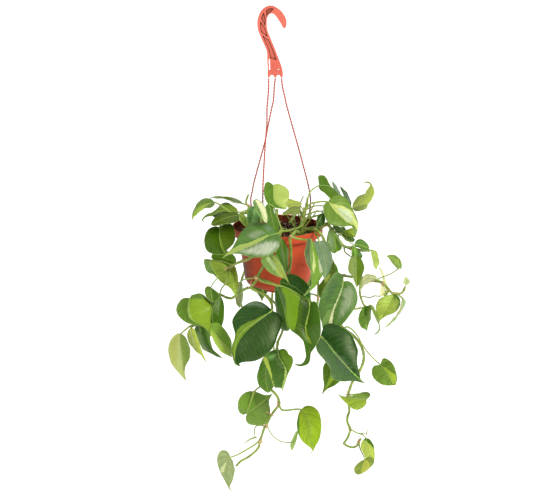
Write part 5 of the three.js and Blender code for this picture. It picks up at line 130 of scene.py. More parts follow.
  'Q': [(-98.8,-72,-435.2),(-96.7,-73.6,-436),(-94.6,-75.2,-436.9),(-92.6,-76.8,-437.8),(-90.7,-78.5,-438.8),(-88.8,-80.3,-439.9),(-87,-82,-441),(-85.1,-83.8,-442.1),(-83.8,-85.7,-443.6),(-83.6,-87.8,-445.4),(-84.2,-89.7,-447.2),(-85.3,-91.2,-448.9),(-86.9,-92.4,-450.3),(-88.7,-93.4,-451.6),(-90.8,-94,-452.5),(-93.1,-94.2,-453.2),(-95.3,-94.5,-453.9)],
  'bands': [],
  'pats': [[(211,288),(216,291.5),(220,297),(219.5,303),(214,308.5),(212.5,299)]]},
 'L10b': {'node': 'leaf_18', 'face': 'U', 'L': 64.1, 'n': [0.496, -0.787, 0.367], 'cols': [(69, 113, 3), (92, 128, 34)], 'kinds': ['crisp'],
  'P': [(-84.9,-60.2,-452.1),(-89.7,-66,-450.4),(-94.5,-71.3,-449.4),(-99.1,-76.5,-449.3),(-103,-81.1,-450.8),(-105.8,-84.7,-454),(-107.5,-87.2,-458.1),(-108,-88.6,-462.9),(-107.9,-89.5,-467.9),(-107.2,-90,-472.9),(-106.1,-89.9,-478.1),(-104.7,-89.8,-483.2),(-103,-89.6,-488.2),(-100.8,-89.2,-493.1),(-98,-87.6,-497.9),(-94.4,-85.1,-502.4),(-90.7,-82.3,-506.7)],
  'M': [(-84.9,-60.2,-452.1),(-87.4,-63.4,-455.8),(-89.8,-66.6,-459.6),(-92.4,-69.6,-463.4),(-94.5,-72.5,-467.4),(-96,-75,-471.8),(-96.9,-77.1,-476.5),(-97.1,-78.8,-481.4),(-96.6,-80.1,-486.5),(-95.7,-81,-491.6),(-94.3,-81.7,-496.6),(-92.5,-82.1,-501.7),(-90.7,-82.3,-506.7)],
  'Q': [(-84.9,-60.2,-452.1),(-82.5,-61,-455.4),(-80.5,-62,-458.8),(-79.1,-63.3,-462.5),(-78.1,-64.8,-466.2),(-77.5,-66.4,-470),(-77.3,-68.2,-473.8),(-77.2,-70,-477.5),(-77.4,-71.6,-481.3),(-77.8,-73.1,-485.2),(-78.3,-74.4,-489),(-78.9,-75.6,-492.9),(-79.9,-76.8,-496.7),(-81.4,-78.1,-500.3),(-83.6,-79.5,-503.6),(-86.9,-80.9,-505.5),(-90.7,-82.3,-506.7)],
  'bands': [],
  'pats': [[(219.2,295),(220.4,295),(219.2,304),(218.8,314),(218.6,323),(216.3,331),(217.3,322),(217.4,312),(218,303)]]},
 'L11': {'node': 'leaf_24', 'face': 'D', 'L': 80.3, 'n': [0.571, 0.788, -0.23], 'cols': [(142, 164, 67), (230, 236, 149), (205, 207, 106)], 'kinds': ['soft', 'soft'],
  'P': [(-149.4,-60,-519.3),(-155.8,-53.8,-520.6),(-161.4,-49.7,-525.8),(-165.8,-47,-531.8),(-169,-45.8,-538.2),(-170.8,-45.8,-544.6),(-171.4,-47.2,-550.9),(-171.4,-49.2,-556.9),(-171,-51.7,-562.8),(-169.1,-55.6,-567.8),(-166.1,-60.5,-572.1),(-162.2,-66,-575.7),(-157.8,-72,-578.6),(-152.9,-78.2,-581),(-148.7,-84.1,-584),(-144.3,-90,-586.9),(-139.4,-96.5,-588.9)],
  'M': [(-149.4,-60,-519.3),(-150.1,-61.5,-525.7),(-150.2,-63.4,-532),(-149.5,-66,-538.1),(-148.5,-68.8,-544),(-147.8,-71.6,-549.9),(-147.1,-74.5,-555.8),(-146.2,-77.7,-561.6),(-145.2,-81,-567.4),(-144,-84.5,-572.9),(-142.6,-88.3,-578.4),(-141,-92.3,-583.7),(-139.4,-96.5,-588.9)],
  'Q': [(-149.4,-60,-519.3),(-144.5,-65,-520.4),(-140.7,-69.4,-523),(-137.9,-73.3,-526.6),(-135.7,-76.7,-530.5),(-134.1,-79.6,-534.9),(-133.4,-81.9,-539.7),(-133.4,-83.7,-544.7),(-133.9,-85.1,-549.8),(-135.4,-85.7,-555),(-137.6,-85.7,-560.2),(-139.8,-85.6,-565.5),(-141.6,-86.1,-570.7),(-142.5,-87.6,-575.7),(-142.4,-90,-580.4),(-141.1,-93.1,-584.8),(-139.4,-96.5,-588.9)],
  'bands': [],
  'pats': [[(180.5,332),(180.2,341),(181.3,350),(182.4,360),(184,370),(186.9,382),(182,379),(170,366),(166,350),(170,338),(176,332)],
   [(181,334),(176,335),(170,343),(169,352),(171,361),(176,366),(178,356),(178,344)]]},
 'L12': {'node': 'vine_front', 'face': 'D', 'L': 68.5, 'n': [0.76, 0.647, 0.065], 'cols': [(228, 243, 82)], 'kinds': [],
  'P': [(-132.4,-66,-506.3),(-136.3,-57.3,-512.5),(-138.7,-51.9,-518.7),(-139.7,-48.7,-524.6),(-139.7,-47.4,-529.9),(-138.7,-47.9,-534.5),(-137.3,-49.5,-538.6),(-135.1,-52.6,-541.8),(-132,-57.4,-543.9),(-128.5,-63.4,-545.2),(-124.6,-69.7,-546.1),(-120.7,-76.1,-546.7),(-117,-81.6,-547.9),(-113.7,-86.3,-549.7),(-110.6,-90.6,-551.8),(-107.8,-94.7,-554.3),(-105.6,-98.4,-557.2)],
  'M': [(-132.4,-66,-506.3),(-131.1,-67.1,-511.4),(-129.8,-68.2,-516.6),(-128.3,-69.7,-521.6),(-126.7,-71.4,-526.5),(-124.9,-73.3,-531.3),(-122.8,-75.8,-535.8),(-120.4,-78.8,-539.9),(-117.7,-82.3,-543.6),(-114.8,-86,-547.2),(-111.8,-90,-550.7),(-108.7,-94.2,-554),(-105.6,-98.4,-557.2)],
  'Q': [(-132.4,-66,-506.3),(-128.3,-73.8,-505.6),(-124.8,-79.8,-506.3),(-122.8,-82.8,-509.1),(-121.5,-84.4,-512.6),(-120.2,-85.8,-516.3),(-119.1,-86.8,-520.1),(-118,-87.8,-524),(-116.8,-88.9,-527.8),(-115.5,-90,-531.5),(-114.2,-91,-535.3),(-112.9,-92.1,-539),(-111.6,-92.9,-542.9),(-110.2,-94,-546.6),(-108.8,-95.5,-550.2),(-107.3,-97,-553.7),(-105.6,-98.4,-557.2)],
  'bands': [],
  'pats': []},
 'L13': {'node': 'leaf_23', 'face': 'U', 'L': 78.9, 'n': [0.757, -0.351, 0.551], 'cols': [(83, 142, 13), (119, 174, 38), (114, 128, 90)], 'kinds': ['crisp', 'soft'],
  'P': [(-118.9,-72,-501.6),(-123.3,-85.9,-497.7),(-124.3,-95.9,-498.8),(-122.8,-99.5,-502.8),(-121.2,-102.7,-506.9),(-119.3,-105.1,-511.2),(-117.5,-107.8,-515.4),(-116,-111.1,-519.4),(-114.3,-114.5,-523.4),(-111.6,-114,-528),(-107.1,-105.2,-532.8),(-102.8,-98,-537.7),(-98.5,-91.9,-542.4),(-94.1,-86.4,-547),(-89.7,-81.3,-551.4),(-85,-74.9,-555.5),(-80.2,-67.2,-559.6)],
  'M': [(-118.9,-72,-501.6),(-116.9,-75,-506.3),(-114.9,-77.8,-511),(-112.8,-80.4,-515.8),(-110.7,-82.8,-520.6),(-108.6,-85,-525.5),(-106,-86.2,-530.4),(-102.6,-85.6,-535.5),(-98.7,-83.6,-540.4),(-94.5,-80.7,-545.4),(-89.9,-76.8,-550.2),(-85.1,-72.1,-554.9),(-80.2,-67.2,-559.6)],
  'Q': [(-118.9,-72,-501.6),(-114.9,-63,-503.7),(-111,-56.9,-507),(-107.8,-54.7,-511.1),(-105.2,-54.2,-515.2),(-103.3,-55.4,-519.1),(-101.8,-57.9,-522.9),(-101,-61.6,-526.3),(-100.1,-65.1,-529.8),(-99,-68.8,-533.2),(-97.8,-72.3,-536.6),(-96,-74.4,-540.3),(-93.4,-74.7,-544.1),(-90.5,-73.9,-548),(-87.2,-71.8,-552),(-83.7,-69.4,-555.9),(-80.2,-67.2,-559.6)],
  'bands': [],
  'pats': [[(203,324),(206,335),(209,345),(212,345),(211,332)],
   [(195.5,327),(198,327),(203,343),(212,353),(209,353.5),(199,345)]]},
 'L14': {'node': 'leaf_21', 'face': 'U', 'L': 63.3, 'n': [0.596, -0.5, 0.628], 'cols': [(137, 181, 64), (166, 196, 80)], 'kinds': ['crisp'],
  'P': [(-96.4,-97.6,-489.5),(-97.6,-104.7,-491.4),(-98.5,-111.1,-493.6),(-98.2,-116.1,-496.5),(-97,-119.7,-499.7),(-95.5,-122.7,-503),(-94,-125.4,-506.4),(-92.2,-127.4,-509.9),(-90.1,-128.6,-513.5),(-87.6,-129.1,-517.1),(-84.9,-129,-520.7),(-82,-128.5,-524.2),(-78.9,-127.2,-527.8),(-75.4,-124.6,-531.4),(-71.7,-120.9,-534.8),(-67.8,-117.3,-538),(-64,-112.9,-541.5)],
  'M': [(-96.4,-97.6,-489.5),(-93.5,-99.1,-493.6),(-90.5,-100.5,-497.7),(-87.6,-101.9,-501.9),(-84.8,-103.3,-506.1),(-82,-104.8,-510.4),(-79.4,-106.1,-514.7),(-76.7,-107.3,-519.1),(-73.8,-108.3,-523.5),(-71,-109.1,-527.9),(-68.4,-110.1,-532.4),(-66.1,-111.5,-536.9),(-64,-112.9,-541.5)],
  'Q': [(-96.4,-97.6,-489.5),(-92.7,-91.4,-488.9),(-88.5,-87.1,-490.2),(-84.8,-86.3,-493.4),(-81.4,-86.2,-496.9),(-78.1,-86.2,-500.4),(-75.1,-86.6,-504.1),(-72.2,-87.1,-507.8),(-69.5,-87.8,-511.6),(-67.4,-89.6,-515.4),(-66.1,-92.1,-519.3),(-65.2,-95.3,-523.1),(-65.1,-99.1,-526.7),(-65,-102.9,-530.3),(-64.7,-106.4,-534),(-64.3,-109.7,-537.7),(-64,-112.9,-541.5)],
  'bands': [],
  'pats': [[(210,329),(218,336.5),(225,343.5),(231,350.5),(232.5,358.5),(224,355),(216,348),(210,338)]]},
 # L15: the grey marking along the top edge is painted sheen
 'L15': {'node': 'leaf_19', 'face': 'U', 'L': 122.4, 'n': [0.125, -0.901, 0.415], 'cols': [(19, 65, 7), (107, 138, 31), (42, 71, 23), (116, 134, 116)], 'kinds': ['crisp', 'soft', 'fleck_and_sheen'],
  'P': [(0.8,-125,-457.5),(-6.6,-127.9,-448.9),(-15.2,-131.6,-441.8),(-25.1,-135.3,-438.3),(-35,-139.2,-439.4),(-44,-142.4,-443.5),(-51.8,-144.8,-449.7),(-57.7,-146.7,-457.9),(-61.8,-148.3,-467.2),(-60.5,-147.7,-478.1),(-57.8,-147.8,-488.5),(-59.2,-149.6,-498.6),(-63,-153,-507.5),(-63.6,-155.6,-517.4),(-61.6,-157.6,-527.4),(-57.5,-159.5,-536.6),(-48.4,-159.7,-540)],
  'M': [(0.8,-125,-457.5),(-7.4,-128.5,-462.8),(-15.8,-131.7,-468),(-24.3,-134.7,-472.9),(-33,-137.3,-477.7),(-41.3,-140,-483.1),(-48.6,-142.9,-489.6),(-54.1,-146,-497.6),(-57.1,-149.2,-506.7),(-58.8,-152.3,-516.3),(-59.2,-155.4,-526),(-57,-158.3,-535.4),(-48.4,-159.7,-540)],
  'Q': [(0.8,-125,-457.5),(8.7,-127.6,-460.7),(15.2,-131.2,-465.8),(18.4,-135.8,-472.7),(15.8,-140.7,-479.9),(12.2,-145.1,-486.8),(8.9,-149.7,-493.9),(6.6,-154.4,-501.2),(2.5,-158.4,-508),(-2.9,-161.8,-514.2),(-9.3,-162.4,-520.3),(-16.8,-162.4,-525.2),(-24.8,-161.9,-529.1),(-33.5,-160.8,-531.2),(-42.3,-159.5,-532.2),(-50.7,-159.4,-534.6),(-48.4,-159.7,-540)],
  'bands': [],
  'pats': [[(271.5,310.6),(262,315.3),(254,319.8),(247,322.5),(240.5,326.5),(236.5,331),(235.5,337),(232.8,344),(232,351),(233.8,359),(235,359),(235.5,352),(237,346),(240,340),(245,333),(251,327.5),(258,322),(264.5,317.2)],
   [(258,322),(268,314),(282,316),(283,324),(276,343),(264,357),(246,361.5),(238,356),(240,342),(248,332)],
   [(246,304),(254,301),(262,302.5),(269,307),(264,309),(254,306),(247,308)]]},
 'L16': {'node': 'leaf_15', 'face': 'U', 'L': 120.9, 'n': [-0.344, -0.849, 0.4], 'cols': [(59, 100, 7), (103, 141, 14), (60, 89, 6), (28, 57, 4), (152, 172, 23)], 'kinds': ['crisp', 'crisp', 'soft', 'crisp'],
  'P': [(59.9,-149.9,-436.1),(49.4,-146.9,-429.2),(38.7,-143.9,-422.5),(27.2,-141.2,-417),(15,-139,-413.3),(16.1,-141.3,-420.3),(21.1,-145.7,-431.3),(21.9,-151.1,-443.1),(21.6,-155.3,-455.4),(23.1,-159.4,-467.5),(30.2,-163.2,-477.4),(40.3,-166.8,-484.6),(49.1,-171.3,-493),(52.3,-175.7,-504.5),(53.8,-178.2,-517.1),(47.2,-178.3,-528.2),(34.5,-172.7,-529.9)],
  'M': [(59.9,-149.9,-436.1),(60.1,-154.1,-445.2),(58.2,-157.3,-454.4),(55.4,-160,-463.7),(53.5,-162.8,-473),(55,-166.7,-482.1),(58.9,-170.9,-490.3),(62.1,-174.8,-498.9),(60.3,-176.9,-508.5),(58.2,-178.7,-518.2),(53,-178.9,-527),(43.9,-176.5,-531.5),(34.5,-172.7,-529.9)],
  'Q': [(59.9,-149.9,-436.1),(68,-158.3,-431.4),(72.8,-166.9,-435.5),(74.6,-172.2,-442.8),(76,-178.4,-449.7),(77.2,-185.1,-456.4),(77.4,-189.7,-464),(76.3,-188.8,-473.3),(74.2,-187.4,-482.6),(71.2,-184.4,-492.3),(67.1,-182.9,-500.8),(62.4,-180.3,-509.4),(61.2,-182.2,-517.8),(58.3,-184.9,-525.4),(50.7,-182.6,-530.3),(42.2,-177.8,-532.4),(34.5,-172.7,-529.9)],
  'bands': [],
  'pats': [[(278.5,286.8),(284.3,296.5),(285.4,303),(285.3,318.5),(286.8,325),(290.3,329.7),(293,331.5),(296,326),(297.5,318),(298,310),(299,304),(301,298),(294.5,292.3),(288,289)],
   [(301,297),(299,304),(298,310),(297.5,318),(296,326),(293,331.5),(301,339),(304,343),(303,335),(303,325),(304,315),(305.5,305),(305,300)],
   [(301,298),(308,300),(309,308),(305.5,322),(304.5,335),(301.5,332),(301,318),(303,306)],
   [(309,301.5),(310.3,302),(310,309),(308,319),(306.3,328),(307.5,334),(311.5,343),(310.6,345),(306.3,336),(305,328),(306.8,317),(308.8,308)]]},
 # L17: the bluish marking is painted sheen
 'L17': {'node': 'leaf_16', 'face': 'U', 'L': 57.1, 'n': [0.199, -0.77, 0.607], 'cols': [(50, 105, 17), (41, 87, 42)], 'kinds': ['fleck_and_sheen'],
  'P': [(60.6,-121.7,-440.9),(62.8,-119.2,-436.9),(62.5,-116.4,-432.4),(61.6,-113.7,-427.9),(60.3,-111,-423.5),(58,-108.6,-419.4),(54.9,-106.3,-415.8),(51.3,-104.3,-412.5),(47.2,-102.5,-409.6),(43,-100.9,-407.1),(38.2,-99.8,-405.4),(33.1,-99.3,-404.6),(27.9,-99.4,-404.7),(23.1,-100.6,-406.4),(18.8,-102.5,-408.9),(15.3,-104.9,-412.1),(12.8,-107.6,-416.1)],
  'M': [(60.6,-121.7,-440.9),(57.2,-120.2,-438),(53.8,-118.7,-435.1),(50.3,-117,-432.2),(46.8,-115.5,-429.5),(43.2,-113.8,-426.8),(39.4,-112.2,-424.3),(35.4,-110.9,-422.1),(31.1,-109.9,-420.3),(26.7,-109,-418.8),(22.1,-108.3,-417.6),(17.5,-108,-416.8),(12.8,-107.6,-416.1)],
  'Q': [(60.6,-121.7,-440.9),(57,-125.1,-441.4),(53.3,-127.9,-441.5),(49.5,-129.5,-440.6),(45.8,-130.4,-439.4),(42.2,-130.9,-438),(38.6,-131.1,-436.5),(35.2,-130.9,-434.9),(31.9,-130.3,-433.1),(28.9,-129,-431.1),(26.1,-127,-429.1),(23.4,-124.7,-427.1),(20.8,-122,-425),(18.4,-119,-422.9),(16.2,-115.5,-420.8),(14.4,-111.9,-418.4),(12.8,-107.6,-416.1)],
  'bands': [],
  'pats': [[(286,278),(296,277),(304,283),(307,291),(300,294),(290,287)]]},
 # L18: the dark line along the fold is painted shade
 'L18': {'node': 'leaf_08', 'face': 'U', 'L': 59.7, 'n': [-0.786, -0.618, 0.005], 'cols': [(137, 176, 81), (183, 204, 94), (185, 209, 139), (52, 84, 34)], 'kinds': ['crisp', 'crisp', 'crisp'],
  'P': [(0.8,-100,-369.2),(-4.3,-97.8,-371.7),(-9.4,-95.6,-374.4),(-14.4,-93.6,-377.2),(-17.1,-93.2,-381.7),(-15.7,-95.5,-386.5),(-13.3,-98.5,-390.7),(-10.2,-101.7,-394.4),(-6.5,-105,-397.6),(-2.2,-108.5,-399.9),(2.6,-111.8,-401.6),(7.5,-114.4,-403.1),(12.6,-116.8,-404.3),(17.8,-119.2,-405),(22.5,-121.3,-407.1),(26.1,-123,-410.8),(29.1,-124.2,-415.1)],
  'M': [(0.8,-100,-369.2),(2.9,-102.6,-373),(5.1,-105.2,-376.8),(7.7,-108.1,-380.2),(10.5,-111,-383.5),(13,-113.5,-387.1),(15.1,-115.3,-391.1),(17.2,-116.9,-395.2),(19.5,-118.6,-399.2),(21.8,-120.2,-403.1),(24.2,-121.7,-407.1),(26.6,-123,-411.1),(29.1,-124.2,-415.1)],
  'Q': [(0.8,-100,-369.2),(4,-109.5,-368.4),(7.1,-117.6,-368.2),(9.6,-122.3,-369.7),(11.7,-125.2,-372),(13.7,-126.2,-375),(15.3,-127.1,-378.2),(16.8,-128.4,-381.4),(18.2,-128.4,-384.9),(19.6,-128.5,-388.5),(20.9,-128.7,-392),(22.3,-129,-395.6),(23.8,-128.3,-399.3),(25.4,-128.3,-402.9),(26.7,-128.4,-406.4),(27.9,-127.2,-410.5),(29.1,-124.2,-415.1)],
  'bands': [],
  'pats': [[(270,253),(276,257.5),(283,268),(287,278),(290.3,286),(285,279),(280,276.5),(276,271),(274,262)],
   [(268,256),(274,261),(277,269),(275,272),(270,265),(266,259)],
   [(281.5,262),(283.3,264),(287,273),(289.5,282),(288,280),(284,271)]]},
 'L19': {'node': 'vine_front', 'face': 'U', 'L': 61.7, 'n': [0.767, -0.558, 0.316], 'cols': [(72, 125, 15), (112, 161, 49)], 'kinds': ['soft'],
  'P': [(15.2,-85.3,-348.4),(12,-93.2,-349.1),(9.6,-99.5,-350.9),(8.2,-104.5,-353.5),(7.3,-108.4,-356.7),(7.1,-111.3,-360.2),(7.3,-112.9,-364),(8,-113.7,-368),(8.8,-114.1,-372.2),(9.9,-113.9,-376.4),(11.2,-113.3,-380.7),(12.7,-112,-385.1),(14.4,-110.3,-389.6),(16.4,-107.8,-394.1),(18.6,-104.9,-398.7),(21,-101.7,-403.3),(23.3,-98.3,-408)],
  'M': [(15.2,-85.3,-348.4),(16,-86.9,-353.2),(16.7,-88.4,-358),(17.5,-89.8,-362.9),(18.3,-91,-367.8),(19,-92.2,-372.7),(19.8,-93.2,-377.7),(20.5,-94.2,-382.7),(21.2,-95,-387.7),(21.9,-95.8,-392.8),(22.4,-96.7,-397.9),(22.8,-97.5,-402.9),(23.3,-98.3,-408)],
  'Q': [(15.2,-85.3,-348.4),(18.3,-81.5,-352.3),(21.1,-78.4,-356.2),(23.4,-76.5,-360.3),(25.1,-75.6,-364.4),(26.3,-75.5,-368.5),(27.1,-76.2,-372.5),(27.5,-77.5,-376.3),(27.7,-78.9,-380.2),(27.8,-80.5,-384),(27.8,-82.3,-387.7),(27.6,-84.4,-391.4),(27.2,-86.6,-395),(26.5,-89,-398.5),(25.7,-91.7,-401.9),(24.5,-95,-405),(23.3,-98.3,-408)],
  'bands': [],
  'pats': [[(281.5,239),(286,244),(288.5,253),(288,265),(286,275),(285.4,262),(283.8,249)]]},
 'L21': {'node': 'vine_left_upper', 'face': 'U', 'L': 41.9, 'n': [0.654, -0.365, 0.663], 'cols': [(112, 150, 72), (232, 237, 183), (116, 166, 71)], 'kinds': ['crisp', 'fleck_and_sheen'],
  'P': [(-27.6,-101.9,-282),(-29.1,-108.4,-282.8),(-28.8,-112.6,-284.5),(-28,-115.5,-286.5),(-27,-118,-288.6),(-25.9,-119.8,-290.8),(-24.8,-121.3,-293),(-23.5,-122.3,-295.3),(-22.1,-122.9,-297.6),(-20.6,-123.2,-299.9),(-19.1,-123.2,-302.3),(-17.6,-123.3,-304.6),(-16,-123.1,-307.1),(-14.2,-122.5,-309.4),(-12.4,-121.5,-311.8),(-10.1,-119,-314),(-7.4,-114.9,-315.8)],
  'M': [(-27.6,-101.9,-282),(-25.4,-102.4,-284.6),(-23.1,-102.9,-287.1),(-21,-103.6,-289.8),(-19.1,-104.7,-292.5),(-17.4,-105.9,-295.3),(-15.8,-107.2,-298.1),(-14.4,-108.8,-301),(-13.1,-110.5,-303.9),(-11.8,-111.9,-306.8),(-10.4,-113.1,-309.8),(-8.9,-114,-312.8),(-7.4,-114.9,-315.8)],
  'Q': [(-27.6,-101.9,-282),(-25.1,-96.2,-281.6),(-22.1,-92.2,-282.6),(-19.3,-90.5,-284.5),(-16.9,-90,-286.7),(-14.8,-90.2,-289),(-12.8,-90.8,-291.4),(-11.2,-91.8,-293.9),(-9.8,-93.3,-296.4),(-8.7,-95.2,-299),(-7.8,-97.3,-301.5),(-7,-99.5,-304.1),(-6.2,-101.6,-306.7),(-5.6,-103.9,-309.3),(-5.7,-106.9,-311.7),(-6.5,-110.9,-313.8),(-7.4,-114.9,-315.8)],
  'bands': [],
  'pats': [[(255,199.5),(259,200),(263,204),(266,210),(267.6,217),(267,223),(264,221.5),(261.5,213),(257.5,205.5)],
   [(254,201),(256.5,207),(260,213),(264,221),(260,217.5),(256,210.5)]]},
 'L22': {'node': 'leaf_01', 'face': 'U', 'L': 58.3, 'n': [0.278, -0.489, 0.827], 'cols': [(93, 138, 26), (176, 198, 97)], 'kinds': ['crisp'],
  'P': [(3.3,-23.5,-276.6),(-1,-24.9,-273.1),(-5.3,-26.6,-269.8),(-9.9,-32.9,-270.3),(-11.4,-40.5,-273.5),(-12,-47.2,-277.2),(-12.1,-53.3,-281.1),(-11.8,-58.8,-285.1),(-10.9,-63.8,-289.1),(-8.8,-67.2,-293.1),(-5.5,-69,-296.7),(-1.4,-69.1,-299.7),(3.5,-66.7,-302.1),(8.5,-64.3,-304.1),(13.6,-61.9,-305.8),(18.7,-59.1,-307.2),(23.9,-56,-308.4)],
  'M': [(3.3,-23.5,-276.6),(3.1,-28.6,-279.6),(2.9,-33.5,-282.7),(2.9,-38.2,-285.8),(3,-42.7,-289),(3.4,-46.9,-292.2),(4.5,-50.5,-295.4),(6.5,-53.1,-298.4),(9.3,-54.9,-301),(12.7,-55.8,-303.2),(16.3,-56.1,-305.1),(20.1,-56.1,-306.8),(23.9,-56,-308.4)],
  'Q': [(3.3,-23.5,-276.6),(6,-21.2,-274.5),(9.8,-21,-274.5),(13.5,-21.7,-275.1),(17.1,-22.9,-276.1),(20.6,-24.7,-277.3),(23.7,-27.2,-278.9),(26.2,-30.6,-281),(28.1,-34.5,-283.4),(29,-38.8,-286.2),(29.2,-42.9,-289),(28.4,-46.8,-291.9),(27.2,-49.3,-295),(25.8,-51.2,-298.1),(25.2,-52.9,-301.5),(24.9,-54.5,-305),(23.9,-56,-308.4)],
  'bands': [],
  'pats': [[(273.5,183),(273.4,193),(274,200),(277,204.3),(281.5,207.2),(286.5,210),(291,205),(291,188),(280,183)]]},
 'L23': {'node': 'vine_front', 'face': 'U', 'L': 49.9, 'n': [0.711, -0.491, 0.505], 'cols': [(87, 130, 33)], 'kinds': [],
  'P': [(-4,-73.6,-295.2),(-7.4,-81,-294.1),(-9.4,-87.3,-295.1),(-9.8,-91.2,-297.7),(-9.7,-94.1,-300.5),(-9.5,-96.8,-303.4),(-9.2,-99.3,-306.3),(-8.7,-101.3,-309.3),(-8,-102.8,-312.4),(-7.1,-103.6,-315.7),(-5.8,-103.6,-319),(-4.3,-103.1,-322.3),(-2.7,-102.2,-325.7),(-0.9,-100.8,-329.1),(1.1,-98.9,-332.6),(3.3,-96.7,-335.9),(5.6,-93.9,-339.4)],
  'M': [(-4,-73.6,-295.2),(-3.3,-76.1,-298.7),(-2.5,-78.4,-302.2),(-1.8,-80.6,-305.8),(-0.9,-82.5,-309.4),(0,-84.2,-313.1),(0.9,-85.9,-316.8),(1.8,-87.4,-320.5),(2.5,-88.9,-324.2),(3.3,-90.4,-328),(4.1,-91.7,-331.7),(4.8,-92.9,-335.6),(5.6,-93.9,-339.4)],
  'Q': [(-4,-73.6,-295.2),(-1,-70.7,-297.7),(1.4,-69.3,-300.5),(2.7,-70.2,-303.6),(3.8,-71.4,-306.7),(5.2,-71.9,-309.8),(6.7,-72.2,-313),(8.2,-72.5,-316.1),(9.5,-73.1,-319.3),(10.6,-73.9,-322.5),(11.4,-75,-325.7),(11.9,-76.5,-328.8),(12.1,-78.5,-331.9),(11.8,-81,-334.8),(10.7,-84.3,-337.3),(8.4,-89,-338.6),(5.6,-93.9,-339.4)],
  'bands': [],
  'pats': []},
 'L24': {'node': 'vine_left_upper', 'face': 'U', 'L': 33.3, 'n': [0.257, -0.795, 0.549], 'cols': [(116, 168, 93), (142, 189, 119)], 'kinds': ['fleck_and_sheen'],
  'P': [(-27.4,-62,-301.4),(-29.7,-64.1,-301.2),(-31.9,-66.2,-301.2),(-33.9,-68.3,-301.9),(-35.5,-70.4,-303.2),(-36.8,-72.3,-304.7),(-37.8,-74,-306.5),(-38.4,-75.4,-308.4),(-38.9,-76.6,-310.5),(-39.3,-77.7,-312.6),(-39.6,-78.6,-314.8),(-39.7,-79.2,-317.1),(-39.6,-79.7,-319.4),(-39.1,-79.8,-321.7),(-38.1,-79.5,-324),(-37.1,-79.3,-326.2),(-36.1,-78.7,-328.6)],
  'M': [(-27.4,-62,-301.4),(-27.8,-63.7,-303.7),(-28.1,-65.3,-306),(-28.6,-66.9,-308.3),(-29.1,-68.4,-310.6),(-29.6,-69.8,-312.9),(-30.2,-71.3,-315.2),(-31,-72.6,-317.5),(-31.8,-74,-319.8),(-32.8,-75.2,-322),(-33.9,-76.4,-324.2),(-35,-77.6,-326.4),(-36.1,-78.7,-328.6)],
  'Q': [(-27.4,-62,-301.4),(-25.5,-63.5,-303.2),(-23.6,-64.9,-305.1),(-22,-66.4,-307.2),(-20.4,-67.9,-309.2),(-19.1,-69.5,-311.4),(-18.1,-71.1,-313.8),(-17.6,-72.7,-316.2),(-18.2,-74.2,-318.7),(-19.3,-75.6,-321.1),(-20.9,-76.8,-323.2),(-22.9,-77.7,-325.1),(-25.2,-78.5,-326.6),(-27.7,-79,-327.8),(-30.4,-79.2,-328.6),(-33.2,-79.1,-328.7),(-36.1,-78.7,-328.6)],
  'bands': [],
  'pats': [[(250,209),(254,208),(258,213),(254,217),(249,218)]]},
 'L24b': {'node': 'vine_left_upper', 'face': 'U', 'L': 25.3, 'n': [0.442, -0.51, 0.738], 'cols': [(180, 216, 88)], 'kinds': [],
  'P': [(-50.8,-60,-316),(-51.4,-63,-317),(-51.9,-66,-317.9),(-52.2,-68.6,-319),(-52,-70.7,-320.3),(-51.3,-72,-321.6),(-50.4,-73,-322.9),(-49.4,-73.8,-324.2),(-48.4,-74.4,-325.6),(-47.2,-74.8,-326.9),(-46,-75,-328.2),(-44.8,-74.9,-329.4),(-43.4,-74.5,-330.7),(-42,-73.8,-331.9),(-40.4,-72.6,-332.9),(-38.7,-71.2,-333.8),(-37,-69.6,-334.8)],
  'M': [(-50.8,-60,-316),(-49.6,-61.1,-317.5),(-48.5,-62.2,-319),(-47.4,-63.2,-320.5),(-46.2,-64.1,-322.1),(-45,-64.9,-323.6),(-43.7,-65.6,-325.1),(-42.4,-66.2,-326.6),(-41.2,-66.8,-328.2),(-40.1,-67.5,-329.8),(-39.1,-68.3,-331.4),(-38,-69,-333.1),(-37,-69.6,-334.8)],
  'Q': [(-50.8,-60,-316),(-49,-59,-316.4),(-47.2,-57.9,-316.8),(-45.5,-57,-317.2),(-43.8,-56.6,-318.1),(-42.4,-56.8,-319.2),(-41.1,-57.3,-320.4),(-40,-58,-321.7),(-39,-58.8,-323.1),(-38.2,-59.8,-324.5),(-37.6,-60.9,-326),(-37,-62.1,-327.5),(-36.7,-63.5,-329),(-36.6,-65,-330.4),(-36.7,-66.5,-331.9),(-36.9,-68.1,-333.3),(-37,-69.6,-334.8)],
  'bands': [],
  'pats': []},
 'L25a': {'node': 'vine_crown', 'face': 'U', 'L': 27.4, 'n': [0.066, -0.447, 0.892], 'cols': [(183, 200, 87)], 'kinds': [],
  'P': [(47.5,-19.7,-311.9),(49.1,-17.5,-310.4),(50,-14.9,-308.8),(48.2,-12.9,-307.5),(46,-11.5,-306.7),(43.6,-10.3,-306.1),(41.2,-9.5,-305.7),(38.7,-8.9,-305.4),(36.3,-8,-305),(34,-6.8,-304.2),(31.6,-5.6,-303.7),(29.1,-5.8,-303.9),(27,-7.3,-305),(25.8,-9.9,-306.7),(25.3,-13,-308.5),(25,-16.1,-310.3),(24.6,-19.2,-312.1)],
  'M': [(47.5,-19.7,-311.9),(45.8,-18.4,-311.1),(44,-16.9,-310.3),(42.2,-15.5,-309.6),(40.3,-14.5,-309.1),(38.2,-13.9,-308.8),(36.1,-13.7,-308.7),(34,-13.8,-308.8),(32,-14.2,-309.1),(30,-15.1,-309.7),(28.2,-16.4,-310.4),(26.4,-17.9,-311.3),(24.6,-19.2,-312.1)],
